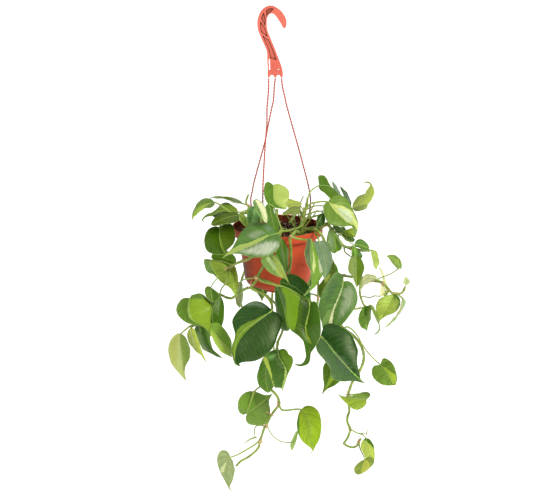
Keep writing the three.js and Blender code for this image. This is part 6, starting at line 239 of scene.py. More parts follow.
  'Q': [(47.5,-19.7,-311.9),(46.8,-22.1,-312.9),(46,-24.5,-313.9),(44.8,-26.3,-314.6),(43.1,-26.7,-314.6),(41.5,-26.5,-314.4),(39.8,-26.1,-314.1),(38.2,-25.8,-313.8),(36.5,-26,-313.8),(34.9,-26.3,-314.1),(33.2,-26.7,-314.4),(31.6,-26.8,-314.5),(29.9,-26.2,-314.4),(28.4,-24.9,-314),(27.1,-23.1,-313.4),(25.9,-21.1,-312.7),(24.6,-19.2,-312.1)],
  'bands': [],
  'pats': []},
 'L25b': {'node': 'vine_crown', 'face': 'U', 'L': 43.6, 'n': [0.169, -0.08, 0.982], 'cols': [(131, 150, 53)], 'kinds': [],
  'P': [(47.1,-40.3,-313.5),(47.2,-32.6,-312.8),(46.5,-25.7,-312.1),(44.2,-23.9,-311.5),(41.7,-24.6,-311.1),(39.1,-26.2,-310.8),(36.5,-28.8,-310.6),(34,-32.1,-310.5),(31.5,-35.8,-310.4),(29.1,-39.6,-310.5),(26.8,-43.6,-310.7),(24.6,-47.8,-311.1),(22.6,-52.2,-311.6),(20.7,-56.5,-312.3),(19,-61,-313.1),(17.5,-65.2,-314.2),(16.1,-69.1,-315.4)],
  'M': [(47.1,-40.3,-313.5),(44.4,-41.4,-313.1),(41.6,-42.3,-312.8),(38.9,-43.5,-312.5),(36.1,-45.5,-312.3),(33.4,-48.2,-312.2),(30.8,-51.3,-312.3),(28.2,-54.5,-312.6),(25.7,-57.6,-312.9),(23.2,-60.8,-313.4),(20.8,-63.8,-313.9),(18.4,-66.6,-314.6),(16.1,-69.1,-315.4)],
  'Q': [(47.1,-40.3,-313.5),(46.6,-48.9,-313.6),(46,-57.1,-313.7),(44.5,-63,-313.9),(42.4,-65.2,-314),(40.2,-65.9,-314),(38,-66.3,-314),(35.8,-66.7,-314),(33.6,-67.2,-314),(31.4,-67.2,-314.1),(29.2,-67.3,-314.1),(27,-67.4,-314.2),(24.8,-67.6,-314.3),(22.6,-68.3,-314.5),(20.4,-68.4,-314.8),(18.2,-69.3,-314.9),(16.1,-69.1,-315.4)],
  'bands': [],
  'pats': []},
 'L26': {'node': 'vine_crown', 'face': 'U', 'L': 49.9, 'n': [-0.193, -0.563, 0.804], 'cols': [(82, 122, 28), (78, 116, 9)], 'kinds': ['crisp'],
  'P': [(78.4,5.1,-283.3),(81.5,6.7,-280),(80.5,10.3,-276.2),(78.2,13.8,-272.8),(78,16.6,-269.4),(82.6,16.4,-268.1),(87.1,14.5,-268.6),(90.4,11.2,-271.3),(92.7,7.6,-274.7),(94.6,4.2,-278.4),(96.8,0.6,-281.8),(99.5,-3.1,-284.9),(102.4,-7,-287.7),(105.7,-10.8,-290.2),(109.2,-14,-292.6),(112.4,-16.9,-295.4),(115.4,-19.9,-298.4)],
  'M': [(78.4,5.1,-283.3),(82.2,4,-283.2),(86,3,-283.1),(89.7,1.8,-283.2),(93.5,0.6,-283.4),(97.1,-1,-284),(100.3,-3.4,-285.4),(103.2,-6.1,-287.2),(105.9,-8.8,-289.2),(108.3,-11.8,-291.5),(110.6,-14.6,-293.8),(113,-17.3,-296.1),(115.4,-19.9,-298.4)],
  'Q': [(78.4,5.1,-283.3),(77.9,0.3,-285.4),(79,-4.3,-287.2),(81.1,-8.2,-288.6),(83.4,-11.6,-289.8),(85.9,-14.6,-291),(88.2,-17.6,-292.3),(90.2,-20.3,-294),(92.3,-22.8,-295.8),(94.7,-24.7,-297.3),(97.4,-25.8,-298.5),(100.4,-26.4,-299.4),(103.4,-26.4,-300),(106.5,-26.1,-300.4),(109.7,-24.7,-300.3),(112.6,-22.4,-299.4),(115.4,-19.9,-298.4)],
  'bands': [],
  'pats': [[(318,185.8),(331,187),(336,191.5),(342,198),(330,200),(317,190)]]},
 'L27': {'node': 'vine_crown', 'face': 'U', 'L': 36.9, 'n': [0.49, -0.477, 0.729], 'cols': [(123, 149, 132), (176, 196, 176)], 'kinds': ['fleck_and_sheen'],
  'P': [(117,30,-310.6),(115.1,27.8,-308.8),(113.3,26.7,-307.3),(111.5,25.2,-305.6),(109.8,24.6,-303.9),(108.5,25,-302.3),(107.3,25.9,-300.7),(106.2,27.1,-299.1),(105.2,28.7,-297.5),(104.3,30.8,-296.1),(103.5,33.1,-294.6),(102.8,35.6,-293.1),(102.2,38.2,-291.6),(101.8,41.2,-290.1),(101.6,45,-288.8),(101.5,48.9,-287.5),(101.3,52.8,-286.2)],
  'M': [(117,30,-310.6),(115.7,31.8,-308.6),(114.4,33.5,-306.5),(113,35.3,-304.5),(111.7,37.1,-302.5),(110.3,38.9,-300.4),(108.9,40.6,-298.4),(107.5,42.5,-296.4),(106.2,44.4,-294.4),(104.9,46.4,-292.3),(103.7,48.5,-290.3),(102.5,50.6,-288.2),(101.3,52.8,-286.2)],
  'Q': [(117,30,-310.6),(116.6,32.3,-309.1),(116.2,34.7,-307.5),(115.7,37,-305.9),(115.1,39,-304.4),(114.4,40.8,-302.8),(113.6,42.6,-301.2),(112.7,44.3,-299.7),(111.8,45.9,-298.1),(110.8,47.3,-296.6),(109.7,48.6,-295),(108.5,49.8,-293.5),(107.2,50.9,-292),(105.9,51.6,-290.5),(104.4,52.1,-289.1),(102.8,52.5,-287.7),(101.3,52.8,-286.2)],
  'bands': [],
  'pats': [[(333,183),(336,188),(340,195),(337,193)]]},
 'L27b': {'node': 'vine_crown', 'face': 'U', 'L': 43.6, 'n': [-0.818, -0.575, 0.027], 'cols': [(102, 149, 102)], 'kinds': [],
  'P': [(131.9,22,-324.1),(130.5,24.7,-322.8),(129.1,27.4,-321.4),(127.7,29.8,-319.9),(126.5,31.9,-318.3),(125.3,33.9,-316.6),(124.2,35.8,-314.8),(123.1,37.6,-313),(122.1,39.3,-311.1),(121,40.9,-309.2),(120,42.4,-307.2),(119,43.7,-305.2),(118,44.9,-303.2),(117.2,45.8,-301),(116.3,46.5,-298.7),(115.6,47.5,-296.6),(114.8,47.8,-294.2)],
  'M': [(131.9,22,-324.1),(130.7,23.7,-321.4),(129.6,25.5,-318.6),(128.5,27.2,-315.9),(127.3,29,-313.1),(126.1,30.8,-310.4),(124.9,32.7,-307.7),(123.7,34.6,-305.1),(122.2,36.7,-302.5),(120.6,39.2,-300.2),(118.8,41.9,-298.1),(116.8,44.9,-296.2),(114.8,47.8,-294.2)],
  'Q': [(131.9,22,-324.1),(132.3,17.6,-320.4),(132.7,14.7,-317),(132.4,13.1,-313.9),(131.8,13.4,-311.4),(130.9,14.8,-309.2),(130,16.4,-307.1),(129,18.1,-305.1),(127.9,19.8,-303.1),(126.7,22.3,-301.3),(125.4,25.3,-299.7),(124,28.5,-298.4),(122.3,31.6,-297.1),(120.6,35.1,-296),(118.8,39,-295.2),(116.8,43.3,-294.7),(114.8,47.8,-294.2)],
  'bands': [],
  'pats': []},
 'L28': {'node': 'leaf_02', 'face': 'U', 'L': 77.2, 'n': [0.151, -0.73, 0.667], 'cols': [(109, 143, 47), (191, 204, 112), (196, 209, 167)], 'kinds': ['crisp', 'crisp'],
  'P': [(92,-33.1,-301.9),(86.5,-37.2,-303.4),(84.1,-43,-307.7),(83.8,-48.6,-312.5),(85,-53.6,-317.3),(86.8,-58.1,-322),(89.5,-61.9,-326.6),(93.5,-64.2,-330.4),(99.2,-63.8,-332.5),(105.2,-62.6,-334.1),(111.2,-61.2,-335.6),(117.3,-59,-336.8),(123.4,-55.8,-336.8),(129.5,-53.1,-337.7),(131.9,-55.7,-342.6),(133.9,-58.2,-347.8),(136,-60.4,-353)],
  'M': [(92,-33.1,-301.9),(96.8,-35.4,-305.5),(101.7,-37.5,-309.2),(106.6,-39.3,-312.8),(111.5,-41,-316.4),(116.6,-42.5,-319.9),(121.6,-43.9,-323.5),(126.2,-45.6,-327.6),(130.3,-47.6,-332),(133.7,-50,-336.8),(136.2,-52.8,-342.1),(136.7,-56.4,-347.6),(136,-60.4,-353)],
  'Q': [(92,-33.1,-301.9),(95.3,-29.1,-297.1),(100.7,-26.1,-294.1),(107,-24.2,-292.6),(113.4,-23.8,-293),(119.2,-25.1,-295.6),(124.2,-27,-299.4),(127.9,-29.8,-304.2),(130.2,-33,-309.6),(132.8,-36,-314.9),(135.7,-38.9,-320.1),(138.4,-41.8,-325.4),(140.2,-44.9,-331),(140.7,-48.4,-336.8),(140.1,-52.2,-342.4),(138.3,-56.2,-347.8),(136,-60.4,-353)],
  'bands': [],
  'pats': [[(328,201.8),(334,204),(340,205.5),(345,207),(350,209.5),(353.5,213),(355.5,219),(358.5,225),(357.5,231),(354.5,225.8),(351,224.5),(346,221.5),(341,217),(336,212.5),(332,207.5)],
   [(337,207.5),(345,209),(350,212),(353,218),(352,222),(347.5,222),(343,217),(340,214)]]},
 'L29': {'node': 'vine_crown', 'face': 'U', 'L': 78.1, 'n': [-0.396, -0.458, 0.796], 'cols': [(148, 168, 78), (173, 191, 76)], 'kinds': ['crisp'],
  'P': [(133.7,-5,-320.4),(134.1,1.4,-317.6),(135.1,7.2,-314.8),(136.9,11.8,-311.8),(139.6,15,-309.1),(142.8,16.8,-306.5),(146.2,17.8,-304.1),(149.9,18.1,-302),(153.8,16.5,-300.2),(157.3,17.2,-298.3),(157.8,23.3,-295.4),(160.6,26.3,-292.7),(164,28.1,-290.4),(164.9,33.8,-287.5),(161.2,37.8,-286.8),(157.1,39.7,-287.3),(152.9,40.6,-288.2)],
  'M': [(133.7,-5,-320.4),(137.8,-2.7,-317),(141.9,-0.1,-313.7),(145.9,2.7,-310.3),(149.8,5.9,-306.8),(153.3,9.8,-303.2),(156.6,14.3,-299.5),(160,18.9,-295.8),(163.6,23.2,-292.2),(166.1,29.2,-288.4),(163.5,36.8,-285.9),(158.2,40.1,-286.4),(152.9,40.6,-288.2)],
  'Q': [(133.7,-5,-320.4),(137.2,-15.2,-321.6),(142.3,-21.2,-320.4),(147.5,-24.9,-318.4),(152.5,-27.6,-316.1),(156.7,-27.6,-313.5),(158,-19.4,-310),(161.1,-14.5,-306.4),(164.4,-10.1,-302.8),(167.3,-4.8,-299.1),(169.6,2,-295.4),(170.1,11.5,-292),(168.9,21.5,-289),(166.7,31,-286.3),(163,38.4,-284.4),(157.7,41.3,-285.3),(152.9,40.6,-288.2)],
  'bands': [],
  'pats': [[(352,208.6),(357,203),(362,198.5),(366.3,193),(366.3,189.5),(370.5,186),(368,181),(374,183),(375.3,189),(375,194),(372,199),(368,204),(362,205),(357,207)]]},
 'L30': {'node': 'vine_right_rim', 'face': 'D', 'L': 23.2, 'n': [0.129, 0.98, -0.151], 'cols': [(175, 199, 59)], 'kinds': [],
  'P': [(116.7,-25.2,-355.5),(118.1,-24.7,-353.9),(119.6,-24.3,-352.5),(121.5,-24.2,-351.6),(123.5,-24.2,-350.9),(125.6,-24.2,-350.3),(127.5,-24.2,-349.5),(129.5,-24.1,-348.6),(131.5,-24.2,-348),(133.3,-24.8,-348.7),(134.4,-25.7,-350.3),(135.3,-26.6,-352.1),(136,-27.5,-353.9),(136.5,-28.4,-355.8),(137,-29.3,-357.7),(137.4,-30.2,-359.6),(137.8,-31.1,-361.5)],
  'M': [(116.7,-25.2,-355.5),(118.6,-25.4,-355.6),(120.5,-25.8,-355.6),(122.4,-26.1,-355.8),(124.2,-26.5,-356),(126.1,-26.9,-356.4),(127.9,-27.4,-356.8),(129.7,-28,-357.4),(131.4,-28.5,-358.1),(133,-29.1,-358.9),(134.6,-29.8,-359.7),(136.2,-30.4,-360.6),(137.8,-31.1,-361.5)],
  'Q': [(116.7,-25.2,-355.5),(117.6,-24.5,-356.9),(118.5,-24.3,-358.3),(119.5,-23.9,-359.6),(120.8,-23.7,-360.6),(122.1,-23.7,-361.3),(123.5,-23.9,-361.9),(124.9,-24.1,-362.4),(126.3,-24.4,-362.8),(127.8,-24.9,-363.2),(129.2,-25.4,-363.5),(130.6,-26.1,-363.6),(132.1,-27,-363.5),(133.5,-28,-363.1),(135,-29,-362.6),(136.4,-29.9,-362.1),(137.8,-31.1,-361.5)],
  'bands': [],
  'pats': []},
 'L30b': {'node': 'vine_right_rim', 'face': 'U', 'L': 33.7, 'n': [0.489, -0.394, 0.778], 'cols': [(62, 107, 29)], 'kinds': [],
  'P': [(114.1,-8.6,-351.4),(113.4,-13.3,-352.4),(112.9,-17.9,-353.6),(112.9,-21.5,-355),(113.5,-24.3,-356.5),(114.3,-26.5,-358.1),(115.3,-28.3,-359.7),(116.5,-29.6,-361.4),(117.7,-30.8,-363),(119.2,-31.6,-364.6),(120.8,-31.8,-366.2),(122.8,-31.3,-367.7),(125,-29.7,-369.1),(127.3,-27.6,-370.3),(129.7,-25.2,-371.5),(132.1,-22.7,-372.6),(134.5,-20.3,-373.9)],
  'M': [(114.1,-8.6,-351.4),(115.5,-10.4,-353.2),(117,-12.1,-355.1),(118.5,-13.8,-357),(119.9,-15.3,-358.9),(121.3,-16.9,-360.8),(122.8,-18.2,-362.8),(124.5,-19.2,-364.7),(126.3,-19.8,-366.6),(128.3,-20.1,-368.4),(130.4,-20.2,-370.2),(132.4,-20.3,-372),(134.5,-20.3,-373.9)],
  'Q': [(114.1,-8.6,-351.4),(116.7,-5.5,-351.8),(119.3,-2.5,-352.2),(121.7,-1.3,-353.2),(123.1,-2.8,-354.9),(124.1,-4.8,-356.7),(125.5,-6.4,-358.5),(127,-7.4,-360.2),(128.7,-8.1,-361.9),(130.4,-8.8,-363.6),(132.1,-9.4,-365.3),(134,-9.5,-366.9),(136,-9.5,-368.6),(137.8,-9.9,-370.3),(138,-12.4,-372),(136.3,-16.4,-373),(134.5,-20.3,-373.9)],
  'bands': [],
  'pats': []},
 'L30c': {'node': 'vine_right_rim', 'face': 'U', 'L': 20.4, 'n': [0.393, -0.477, 0.786], 'cols': [(64, 109, 31)], 'kinds': [],
  'P': [(101.1,-21.7,-343.6),(100.9,-23.8,-344.5),(100.7,-26,-345.3),(100.7,-27.9,-346.2),(101,-29.4,-347.1),(101.7,-30.5,-348.1),(102.5,-31.2,-349),(103.4,-31.8,-349.9),(104.3,-32.2,-350.7),(105.4,-32.4,-351.6),(106.5,-32.4,-352.4),(107.7,-32,-353.2),(108.9,-31.4,-354),(110.2,-30.8,-354.8),(111.5,-30,-355.5),(112.8,-29.4,-356.3),(114.1,-28.6,-357.1)],
  'M': [(101.1,-21.7,-343.6),(102.2,-22.4,-344.7),(103.4,-23.1,-345.7),(104.5,-23.7,-346.8),(105.7,-24.3,-347.8),(107,-24.6,-348.9),(108.3,-24.8,-349.9),(109.7,-25,-350.9),(110.9,-25.4,-352),(111.8,-26.1,-353.2),(112.6,-26.9,-354.5),(113.3,-27.8,-355.8),(114.1,-28.6,-357.1)],
  'Q': [(101.1,-21.7,-343.6),(102.6,-20.9,-344),(104.1,-20,-344.2),(105.6,-19.1,-344.6),(107,-18.5,-345),(108.4,-18.3,-345.7),(109.6,-18.4,-346.5),(110.7,-18.7,-347.4),(111.7,-19.2,-348.3),(112.6,-19.8,-349.3),(113.4,-20.6,-350.4),(113.9,-21.6,-351.5),(114.1,-22.9,-352.6),(114.1,-24.4,-353.7),(114.1,-25.8,-354.8),(114.1,-27.3,-355.9),(114.1,-28.6,-357.1)],
  'bands': [],
  'pats': []},
 'L31': {'node': 'vine_crown', 'face': 'U', 'L': 26.5, 'n': [0.472, -0.811, 0.346], 'cols': [(31, 77, 10)], 'kinds': [],
  'P': [(84.5,-42,-318.1),(82.6,-44.4,-317.7),(80.7,-46.5,-317.5),(79,-48.4,-317.7),(77.5,-50.1,-318.4),(76.1,-51.6,-319.3),(74.9,-52.8,-320.4),(74,-53.7,-321.8),(73.3,-54.2,-323.4),(72.9,-54.5,-325.2),(72.6,-54.8,-327),(72.4,-54.8,-328.8),(72.4,-54.6,-330.8),(72.5,-54.4,-332.7),(72.7,-54.3,-334.6),(72.8,-53.9,-336.6),(73,-53.4,-338.6)],
  'M': [(84.5,-42,-318.1),(83.3,-43.3,-319.6),(82.2,-44.5,-321.2),(81,-45.7,-322.7),(79.9,-46.9,-324.3),(78.8,-47.9,-325.9),(77.7,-48.9,-327.6),(76.7,-49.9,-329.3),(75.8,-50.7,-331.1),(75,-51.5,-332.9),(74.3,-52.2,-334.8),(73.7,-52.8,-336.7),(73,-53.4,-338.6)],
  'Q': [(84.5,-42,-318.1),(85.3,-42.9,-319.8),(86.1,-43.6,-321.6),(86.7,-44.5,-323.4),(87.1,-45.5,-325.2),(87.3,-46.4,-327.1),(87.3,-47.4,-328.9),(87.1,-48.5,-330.7),(86.3,-49.5,-332.5),(85.3,-50.4,-334.1),(84.1,-51.3,-335.6),(82.7,-52,-336.9),(81.1,-52.5,-338),(79.1,-52.9,-338.6),(77.1,-53.1,-338.6),(75,-53.3,-338.6),(73,-53.4,-338.6)],
  'bands': [],
  'pats': []},
 'L32': {'node': 'vine_right_rim', 'face': 'U', 'L': 43.1, 'n': [-0.125, -0.852, 0.509], 'cols': [(111, 144, 73), (140, 184, 53), (115, 131, 109), (61, 104, 16)], 'kinds': ['crisp', 'fleck_and_sheen', 'soft'],
  'P': [(95.9,-49.2,-342.2),(93.7,-51.2,-343.9),(92,-53.2,-345.9),(91.1,-55.3,-348.3),(90.6,-57.3,-350.9),(90,-59.2,-353.4),(89.4,-61.1,-355.9),(89.1,-62.9,-358.5),(89.1,-64.5,-361.2),(89.5,-65.9,-363.9),(90.2,-67,-366.6),(91.4,-67.6,-369.3),(92.9,-68,-371.8),(94.7,-68.2,-374.3),(96.7,-68.3,-376.5),(99.2,-68,-378.4),(102,-67.4,-379.6)],
  'M': [(95.9,-49.2,-342.2),(97.2,-51.1,-345.1),(98.5,-52.9,-348),(99.8,-54.6,-350.9),(100.9,-56.3,-353.9),(102,-58,-357),(102.9,-59.5,-360.1),(103.5,-61,-363.2),(103.8,-62.5,-366.5),(103.5,-63.8,-369.8),(103.1,-65.1,-373.1),(102.5,-66.2,-376.3),(102,-67.4,-379.6)],
  'Q': [(95.9,-49.2,-342.2),(98.2,-51.6,-343.9),(100.4,-53.9,-345.8),(102.2,-56,-348.1),(103.8,-58,-350.6),(105.3,-59.8,-353.1),(107,-61.6,-355.5),(108.7,-63.5,-357.8),(110.5,-65.7,-360.1),(112,-67.9,-362.5),(113.5,-69.9,-364.9),(113.8,-71.5,-367.9),(112.7,-72.1,-370.9),(110.3,-71.3,-373.3),(107.4,-69.8,-375.2),(104.7,-68.8,-377.3),(102,-67.4,-379.6)],
  'bands': [],
  'pats': [[(333,233.5),(335,234.5),(336.5,243),(340,249),(338,252),(335.5,251.5),(335.3,245)],
   [(329,233),(333,236),(334.5,247),(331,250),(328.5,243)],
   [(336.5,238),(341.5,246),(340.5,250),(337,251.5),(337.5,246)]]},
 'L33': {'node': 'vine_right_rim', 'face': 'U', 'L': 25.3, 'n': [0.016, -0.569, 0.822], 'cols': [(71, 121, 32), (148, 180, 84)], 'kinds': ['soft'],
  'P': [(136.2,-35,-374.1),(136.6,-33.6,-372),(137.3,-32.2,-369.9),(138.7,-31,-368.2),(140.6,-29.9,-366.8),(142.8,-29.2,-365.9),(145.1,-28.8,-365.5),(147.5,-28.9,-365.8),(149.7,-29.4,-366.7),(151.8,-30.1,-367.9),(153.7,-30.8,-369.1),(155.5,-31.7,-370.5),(157.1,-32.7,-372.1),(158.5,-33.9,-373.8),(159.7,-35.2,-375.6),(160.3,-36.6,-377.6),(159.8,-38.1,-379.6)],
  'M': [(136.2,-35,-374.1),(138.3,-34.9,-374),(140.4,-34.7,-374),(142.5,-34.5,-374),(144.6,-34.4,-374.1),(146.7,-34.5,-374.4),(148.7,-34.8,-374.9),(150.7,-35.1,-375.5),(152.6,-35.6,-376.1),(154.5,-36.1,-376.9),(156.3,-36.8,-377.8),(158.1,-37.5,-378.7),(159.8,-38.1,-379.6)],
  'Q': [(136.2,-35,-374.1),(136.1,-37.8,-375.1),(136.6,-40.2,-376.1),(138.3,-40.7,-376.4),(140.1,-40.6,-376.4),(141.8,-40.9,-376.6),(143.4,-41.7,-377),(145,-42.7,-377.6),(146.6,-43.5,-378.2),(148.2,-44.1,-378.8),(149.8,-44.6,-379.5),(151.5,-44.7,-380),(153.3,-44.4,-380.4),(155.1,-43.7,-380.7),(157,-42.6,-380.8),(158.6,-40.6,-380.4),(159.8,-38.1,-379.6)],
  'bands': [],
  'pats': [[(354.5,245),(361,244.6),(369,248.5),(361,246.2)]]},
 'L34': {'node': 'vine_right_rim', 'face': 'U', 'L': 29.2, 'n': [0.454, -0.689, 0.565], 'cols': [(119, 175, 35), (46, 93, 10), (78, 106, 53)], 'kinds': ['crisp', 'soft'],
  'P': [(134.3,-38.2,-374),(133.1,-41.1,-374.7),(131.8,-43.8,-375.5),(131,-46,-376.6),(130.7,-47.8,-378),(130.5,-49.3,-379.5),(130.5,-50.7,-381.1),(130.5,-51.9,-382.6),(130.4,-53.1,-384.2),(130.4,-54.3,-385.8),(130.4,-55.2,-387.4),(130.6,-55.6,-389.2),(131.1,-55.6,-391.1),(131.9,-55.4,-392.9),(132.8,-54.6,-394.9),(133.8,-54.3,-396.6),(134.7,-53.2,-398.6)],
  'M': [(134.3,-38.2,-374),(134.7,-39.6,-376),(135,-41,-378.1),(135.3,-42.2,-380.1),(135.6,-43.5,-382.1),(135.9,-44.7,-384.2),(136.2,-45.9,-386.3),(136.5,-47,-388.4),(136.5,-48.2,-390.5),(136.2,-49.4,-392.6),(135.8,-50.7,-394.6),(135.2,-52,-396.6),(134.7,-53.2,-398.6)],
  'Q': [(134.3,-38.2,-374),(136.1,-39.2,-375.6),(137.9,-40.2,-377.3),(139.8,-41,-378.9),(141.8,-41.8,-380.5),(143.8,-42.5,-381.9),(145.6,-43.4,-383.6),(147.1,-44.3,-385.5),(148.4,-45.4,-387.5),(149,-46.5,-389.8),(148.1,-47.8,-391.9),(146.2,-48.9,-393.5),(144.2,-49.9,-394.9),(141.8,-50.8,-395.8),(139.4,-51.6,-396.7),(137.1,-52.4,-397.7),(134.7,-53.2,-398.6)],
  'bands': [],
  'pats': [[(357,249),(357.5,254),(357,262),(364,262),(364,252)],
   [(353,246),(355,256),(354,262),(351.5,256)]]},
 'L35': {'node': 'leaf_09', 'face': 'U', 'L': 50.7, 'n': [0.542, -0.761, 0.356], 'cols': [(91, 121, 15), (134, 154, 79)], 'kinds': ['soft'],
  'P': [(136.8,-55.8,-387.7),(132.8,-59.5,-385.6),(129.4,-64,-386.3),(127.2,-67.6,-388.6),(125.7,-70.7,-391.5),(124.8,-73.2,-394.7),(124.2,-75.2,-398.1),(124,-76.7,-401.6),(124.3,-77.6,-405.4),(125.4,-77.6,-409.2),(128.3,-75.5,-412.7),(131.1,-73.5,-416.2),(133,-72.6,-420.1),(134.5,-72.1,-424),(135.6,-71.9,-427.9),(136.8,-71.5,-431.9),(138.4,-70.7,-435.9)],
  'M': [(136.8,-55.8,-387.7),(137.1,-57.4,-391.6),(137.3,-59,-395.5),(137.5,-60.4,-399.5),(137.6,-61.9,-403.4),(137.6,-63.3,-407.4),(137.5,-64.7,-411.4),(137.5,-66,-415.4),(137.6,-67.2,-419.4),(137.7,-68.2,-423.5),(137.9,-69.1,-427.6),(138.2,-69.9,-431.8),(138.4,-70.7,-435.9)],
  'Q': [(136.8,-55.8,-387.7),(140.8,-53.3,-388.4),(144.3,-51.8,-390.6),(147.1,-51.2,-393.6),(148.9,-51.5,-397.1),(150.3,-52,-400.7),(151.2,-52.8,-404.4),(151.4,-54,-408),(150.9,-55.7,-411.5),(149.9,-57.5,-414.9),(148.9,-59.2,-418.2),(147.7,-61,-421.5),(146.3,-62.8,-424.7),(145.1,-64.5,-428),(143.5,-66.3,-431.2),(141.1,-68.4,-433.7),(138.4,-70.7,-435.9)],
  'bands': [],
  'pats': [[(355.5,254),(356,266),(355.8,276),(356.3,288.5),(346,280),(346,262)]]},
 'L36': {'node': 'vine_right_rim', 'face': 'U', 'L': 32.7, 'n': [0.757, -0.524, 0.39], 'cols': [(180, 207, 90)], 'kinds': [],
  'P': [(168.2,-25,-386.3),(165.6,-30.1,-385.4),(163.4,-35,-385.2),(163.2,-37.1,-387),(163.8,-37.8,-389.1),(164.4,-38.2,-391.2),(165,-38.7,-393.4),(165.3,-39.5,-395.6),(165.7,-40.3,-397.7),(166,-40.8,-399.9),(166.4,-41.2,-402.2),(166.8,-41.5,-404.5),(167.3,-41.5,-406.8),(168.2,-40.9,-409.2),(169.5,-39.2,-411.8),(171.1,-37.1,-414.3),(172.8,-34.7,-416.9)],
  'M': [(168.2,-25,-386.3),(169,-25.8,-388.8),(169.7,-26.4,-391.3),(170.4,-27.1,-393.8),(171,-27.8,-396.4),(171.5,-28.6,-398.9),(172,-29.4,-401.5),(172.3,-30.2,-404.1),(172.5,-31.1,-406.6),(172.6,-32.1,-409.2),(172.7,-33,-411.7),(172.7,-33.9,-414.3),(172.8,-34.7,-416.9)],
  'Q': [(168.2,-25,-386.3),(170.9,-21.1,-387.2),(173.2,-18.5,-388.9),(174.5,-18.1,-391.1),(175.5,-18.2,-393.4),(176.4,-18.4,-395.7),(177.1,-18.7,-398),(177.8,-19.1,-400.2),(178.2,-19.8,-402.5),(178.6,-20.5,-404.8),(178.7,-21.5,-407),(178.2,-23.2,-408.9),(177.1,-25.7,-410.5),(175.7,-28.4,-411.8),(174.6,-30.7,-413.4),(173.7,-32.7,-415.2),(172.8,-34.7,-416.9)],
  'bands': [],
  'pats': []},
 'L37': {'node': 'vine_right_low', 'face': 'U', 'L': 29.6, 'n': [0.43, -0.474, 0.768], 'cols': [(132, 164, 74), (202, 228, 68)], 'kinds': ['fleck_and_sheen'],
  'P': [(213.2,-10,-419.9),(214.9,-12.7,-421.6),(216.7,-11.3,-421.4),(217.2,-8.1,-419.2),(217.5,-5.6,-416.9),(217.3,-3.1,-414.5),(216.6,-0.8,-412.2),(215.5,1.4,-409.9),(213.9,3.4,-407.9),(211.8,5,-406.2),(209.5,6.2,-404.7),(206.8,7,-403.5),(203.9,7.2,-402.8),(200.9,6.7,-402.5),(197.8,5.8,-402.5),(194.8,4.4,-402.9),(192.2,2.3,-404.1)],
  'M': [(213.2,-10,-419.9),(211.7,-8.8,-418.4),(210.2,-7.6,-416.8),(208.7,-6.3,-415.3),(207.1,-5,-413.9),(205.6,-3.7,-412.4),(204,-2.3,-411),(202.3,-1.1,-409.6),(200.5,-0.1,-408.3),(198.5,0.6,-407.2),(196.4,1.1,-406.1),(194.2,1.6,-405.1),(192.2,2.3,-404.1)],
  'Q': [(213.2,-10,-419.9),(212.4,-14.9,-420.8),(211.3,-19.8,-421.4),(209.3,-20,-420.2),(207.8,-19.2,-418.8),(206.3,-18.4,-417.4),(204.9,-17.3,-416),(203.6,-16,-414.7),(202.3,-14.5,-413.3),(201.1,-12.8,-412),(199.9,-11,-410.7),(198.7,-8.9,-409.4),(197.5,-6.6,-408.3),(196.4,-4,-407.1),(195.2,-1.4,-406.1),(193.8,0.6,-405.1),(192.2,2.3,-404.1)],
  'bands': [],
  'pats': [[(399,266),(394,260),(388,256),(392,256.5),(398,260.5)]]},
 'L38': {'node': 'vine_right_low', 'face': 'D', 'L': 41.0, 'n': [-0.124, 0.88, 0.458], 'cols': [(255, 255, 188)], 'kinds': [],
  'P': [(173.6,-22,-437.2),(175,-24,-433.8),(172.8,-26.3,-430.5),(169.9,-28.1,-428.1),(166.8,-29.6,-426.3),(163.6,-30.9,-425.1),(160.3,-32.1,-424.3),(157,-32.8,-424.3),(154.3,-32.5,-426.1),(152.2,-31.6,-428.8),(150.8,-30.2,-432.2),(149.9,-28.6,-435.9),(149.2,-27,-439.6),(148.7,-25.4,-443.4),(148.4,-23.8,-447.3),(148.8,-21.8,-451.3),(149.6,-19.7,-455.3)],
  'M': [(173.6,-22,-437.2),(170.6,-23.2,-435.7),(167.7,-24.4,-434.3),(164.6,-25.4,-433.6),(161.6,-25.9,-433.8),(158.7,-26.1,-434.8),(156.1,-25.9,-436.4),(154.1,-25.4,-438.8),(152.4,-24.6,-441.6),(151.1,-23.7,-444.7),(150.3,-22.5,-448.1),(150,-21,-451.7),(149.6,-19.7,-455.3)],
  'Q': [(173.6,-22,-437.2),(173.1,-19.5,-439.8),(172.2,-17.3,-442.1),(170.5,-16.4,-443.2),(168.6,-15.8,-443.7),(166.7,-15.5,-444.1),(164.9,-14.8,-444.9),(163.1,-14.9,-445.5),(161.2,-15.8,-445.9),(159.4,-16.6,-446.5),(157.6,-17.4,-447.3),(155.9,-17.9,-448.2),(154.4,-18.8,-449.2),(153,-18.9,-450.6),(151.8,-19.4,-452),(150.7,-18.9,-453.8),(149.6,-19.7,-455.3)],
  'bands': [],
  'pats': []},
 'L39': {'node': 'vine_right_low', 'face': 'U', 'L': 54.4, 'n': [0.798, -0.473, 0.372], 'cols': [(255, 255, 187)], 'kinds': [],
  'P': [(188,-26,-463.8),(183.9,-36.3,-461.9),(180.1,-44.4,-459),(179.2,-43.8,-455.6),(179.2,-41.4,-452.7),(180,-37.6,-450.2),(181.1,-33.3,-447.9),(182,-28.5,-445.8),(183,-23,-443.9),(183.9,-18,-441.7),(184.4,-13.5,-439.4),(184.8,-9.4,-436.9),(184.4,-6.5,-434.1),(183.3,-5.2,-430.9),(181.9,-4.1,-427.9),(180.4,-2.5,-425),(179,-0.1,-422.4)],
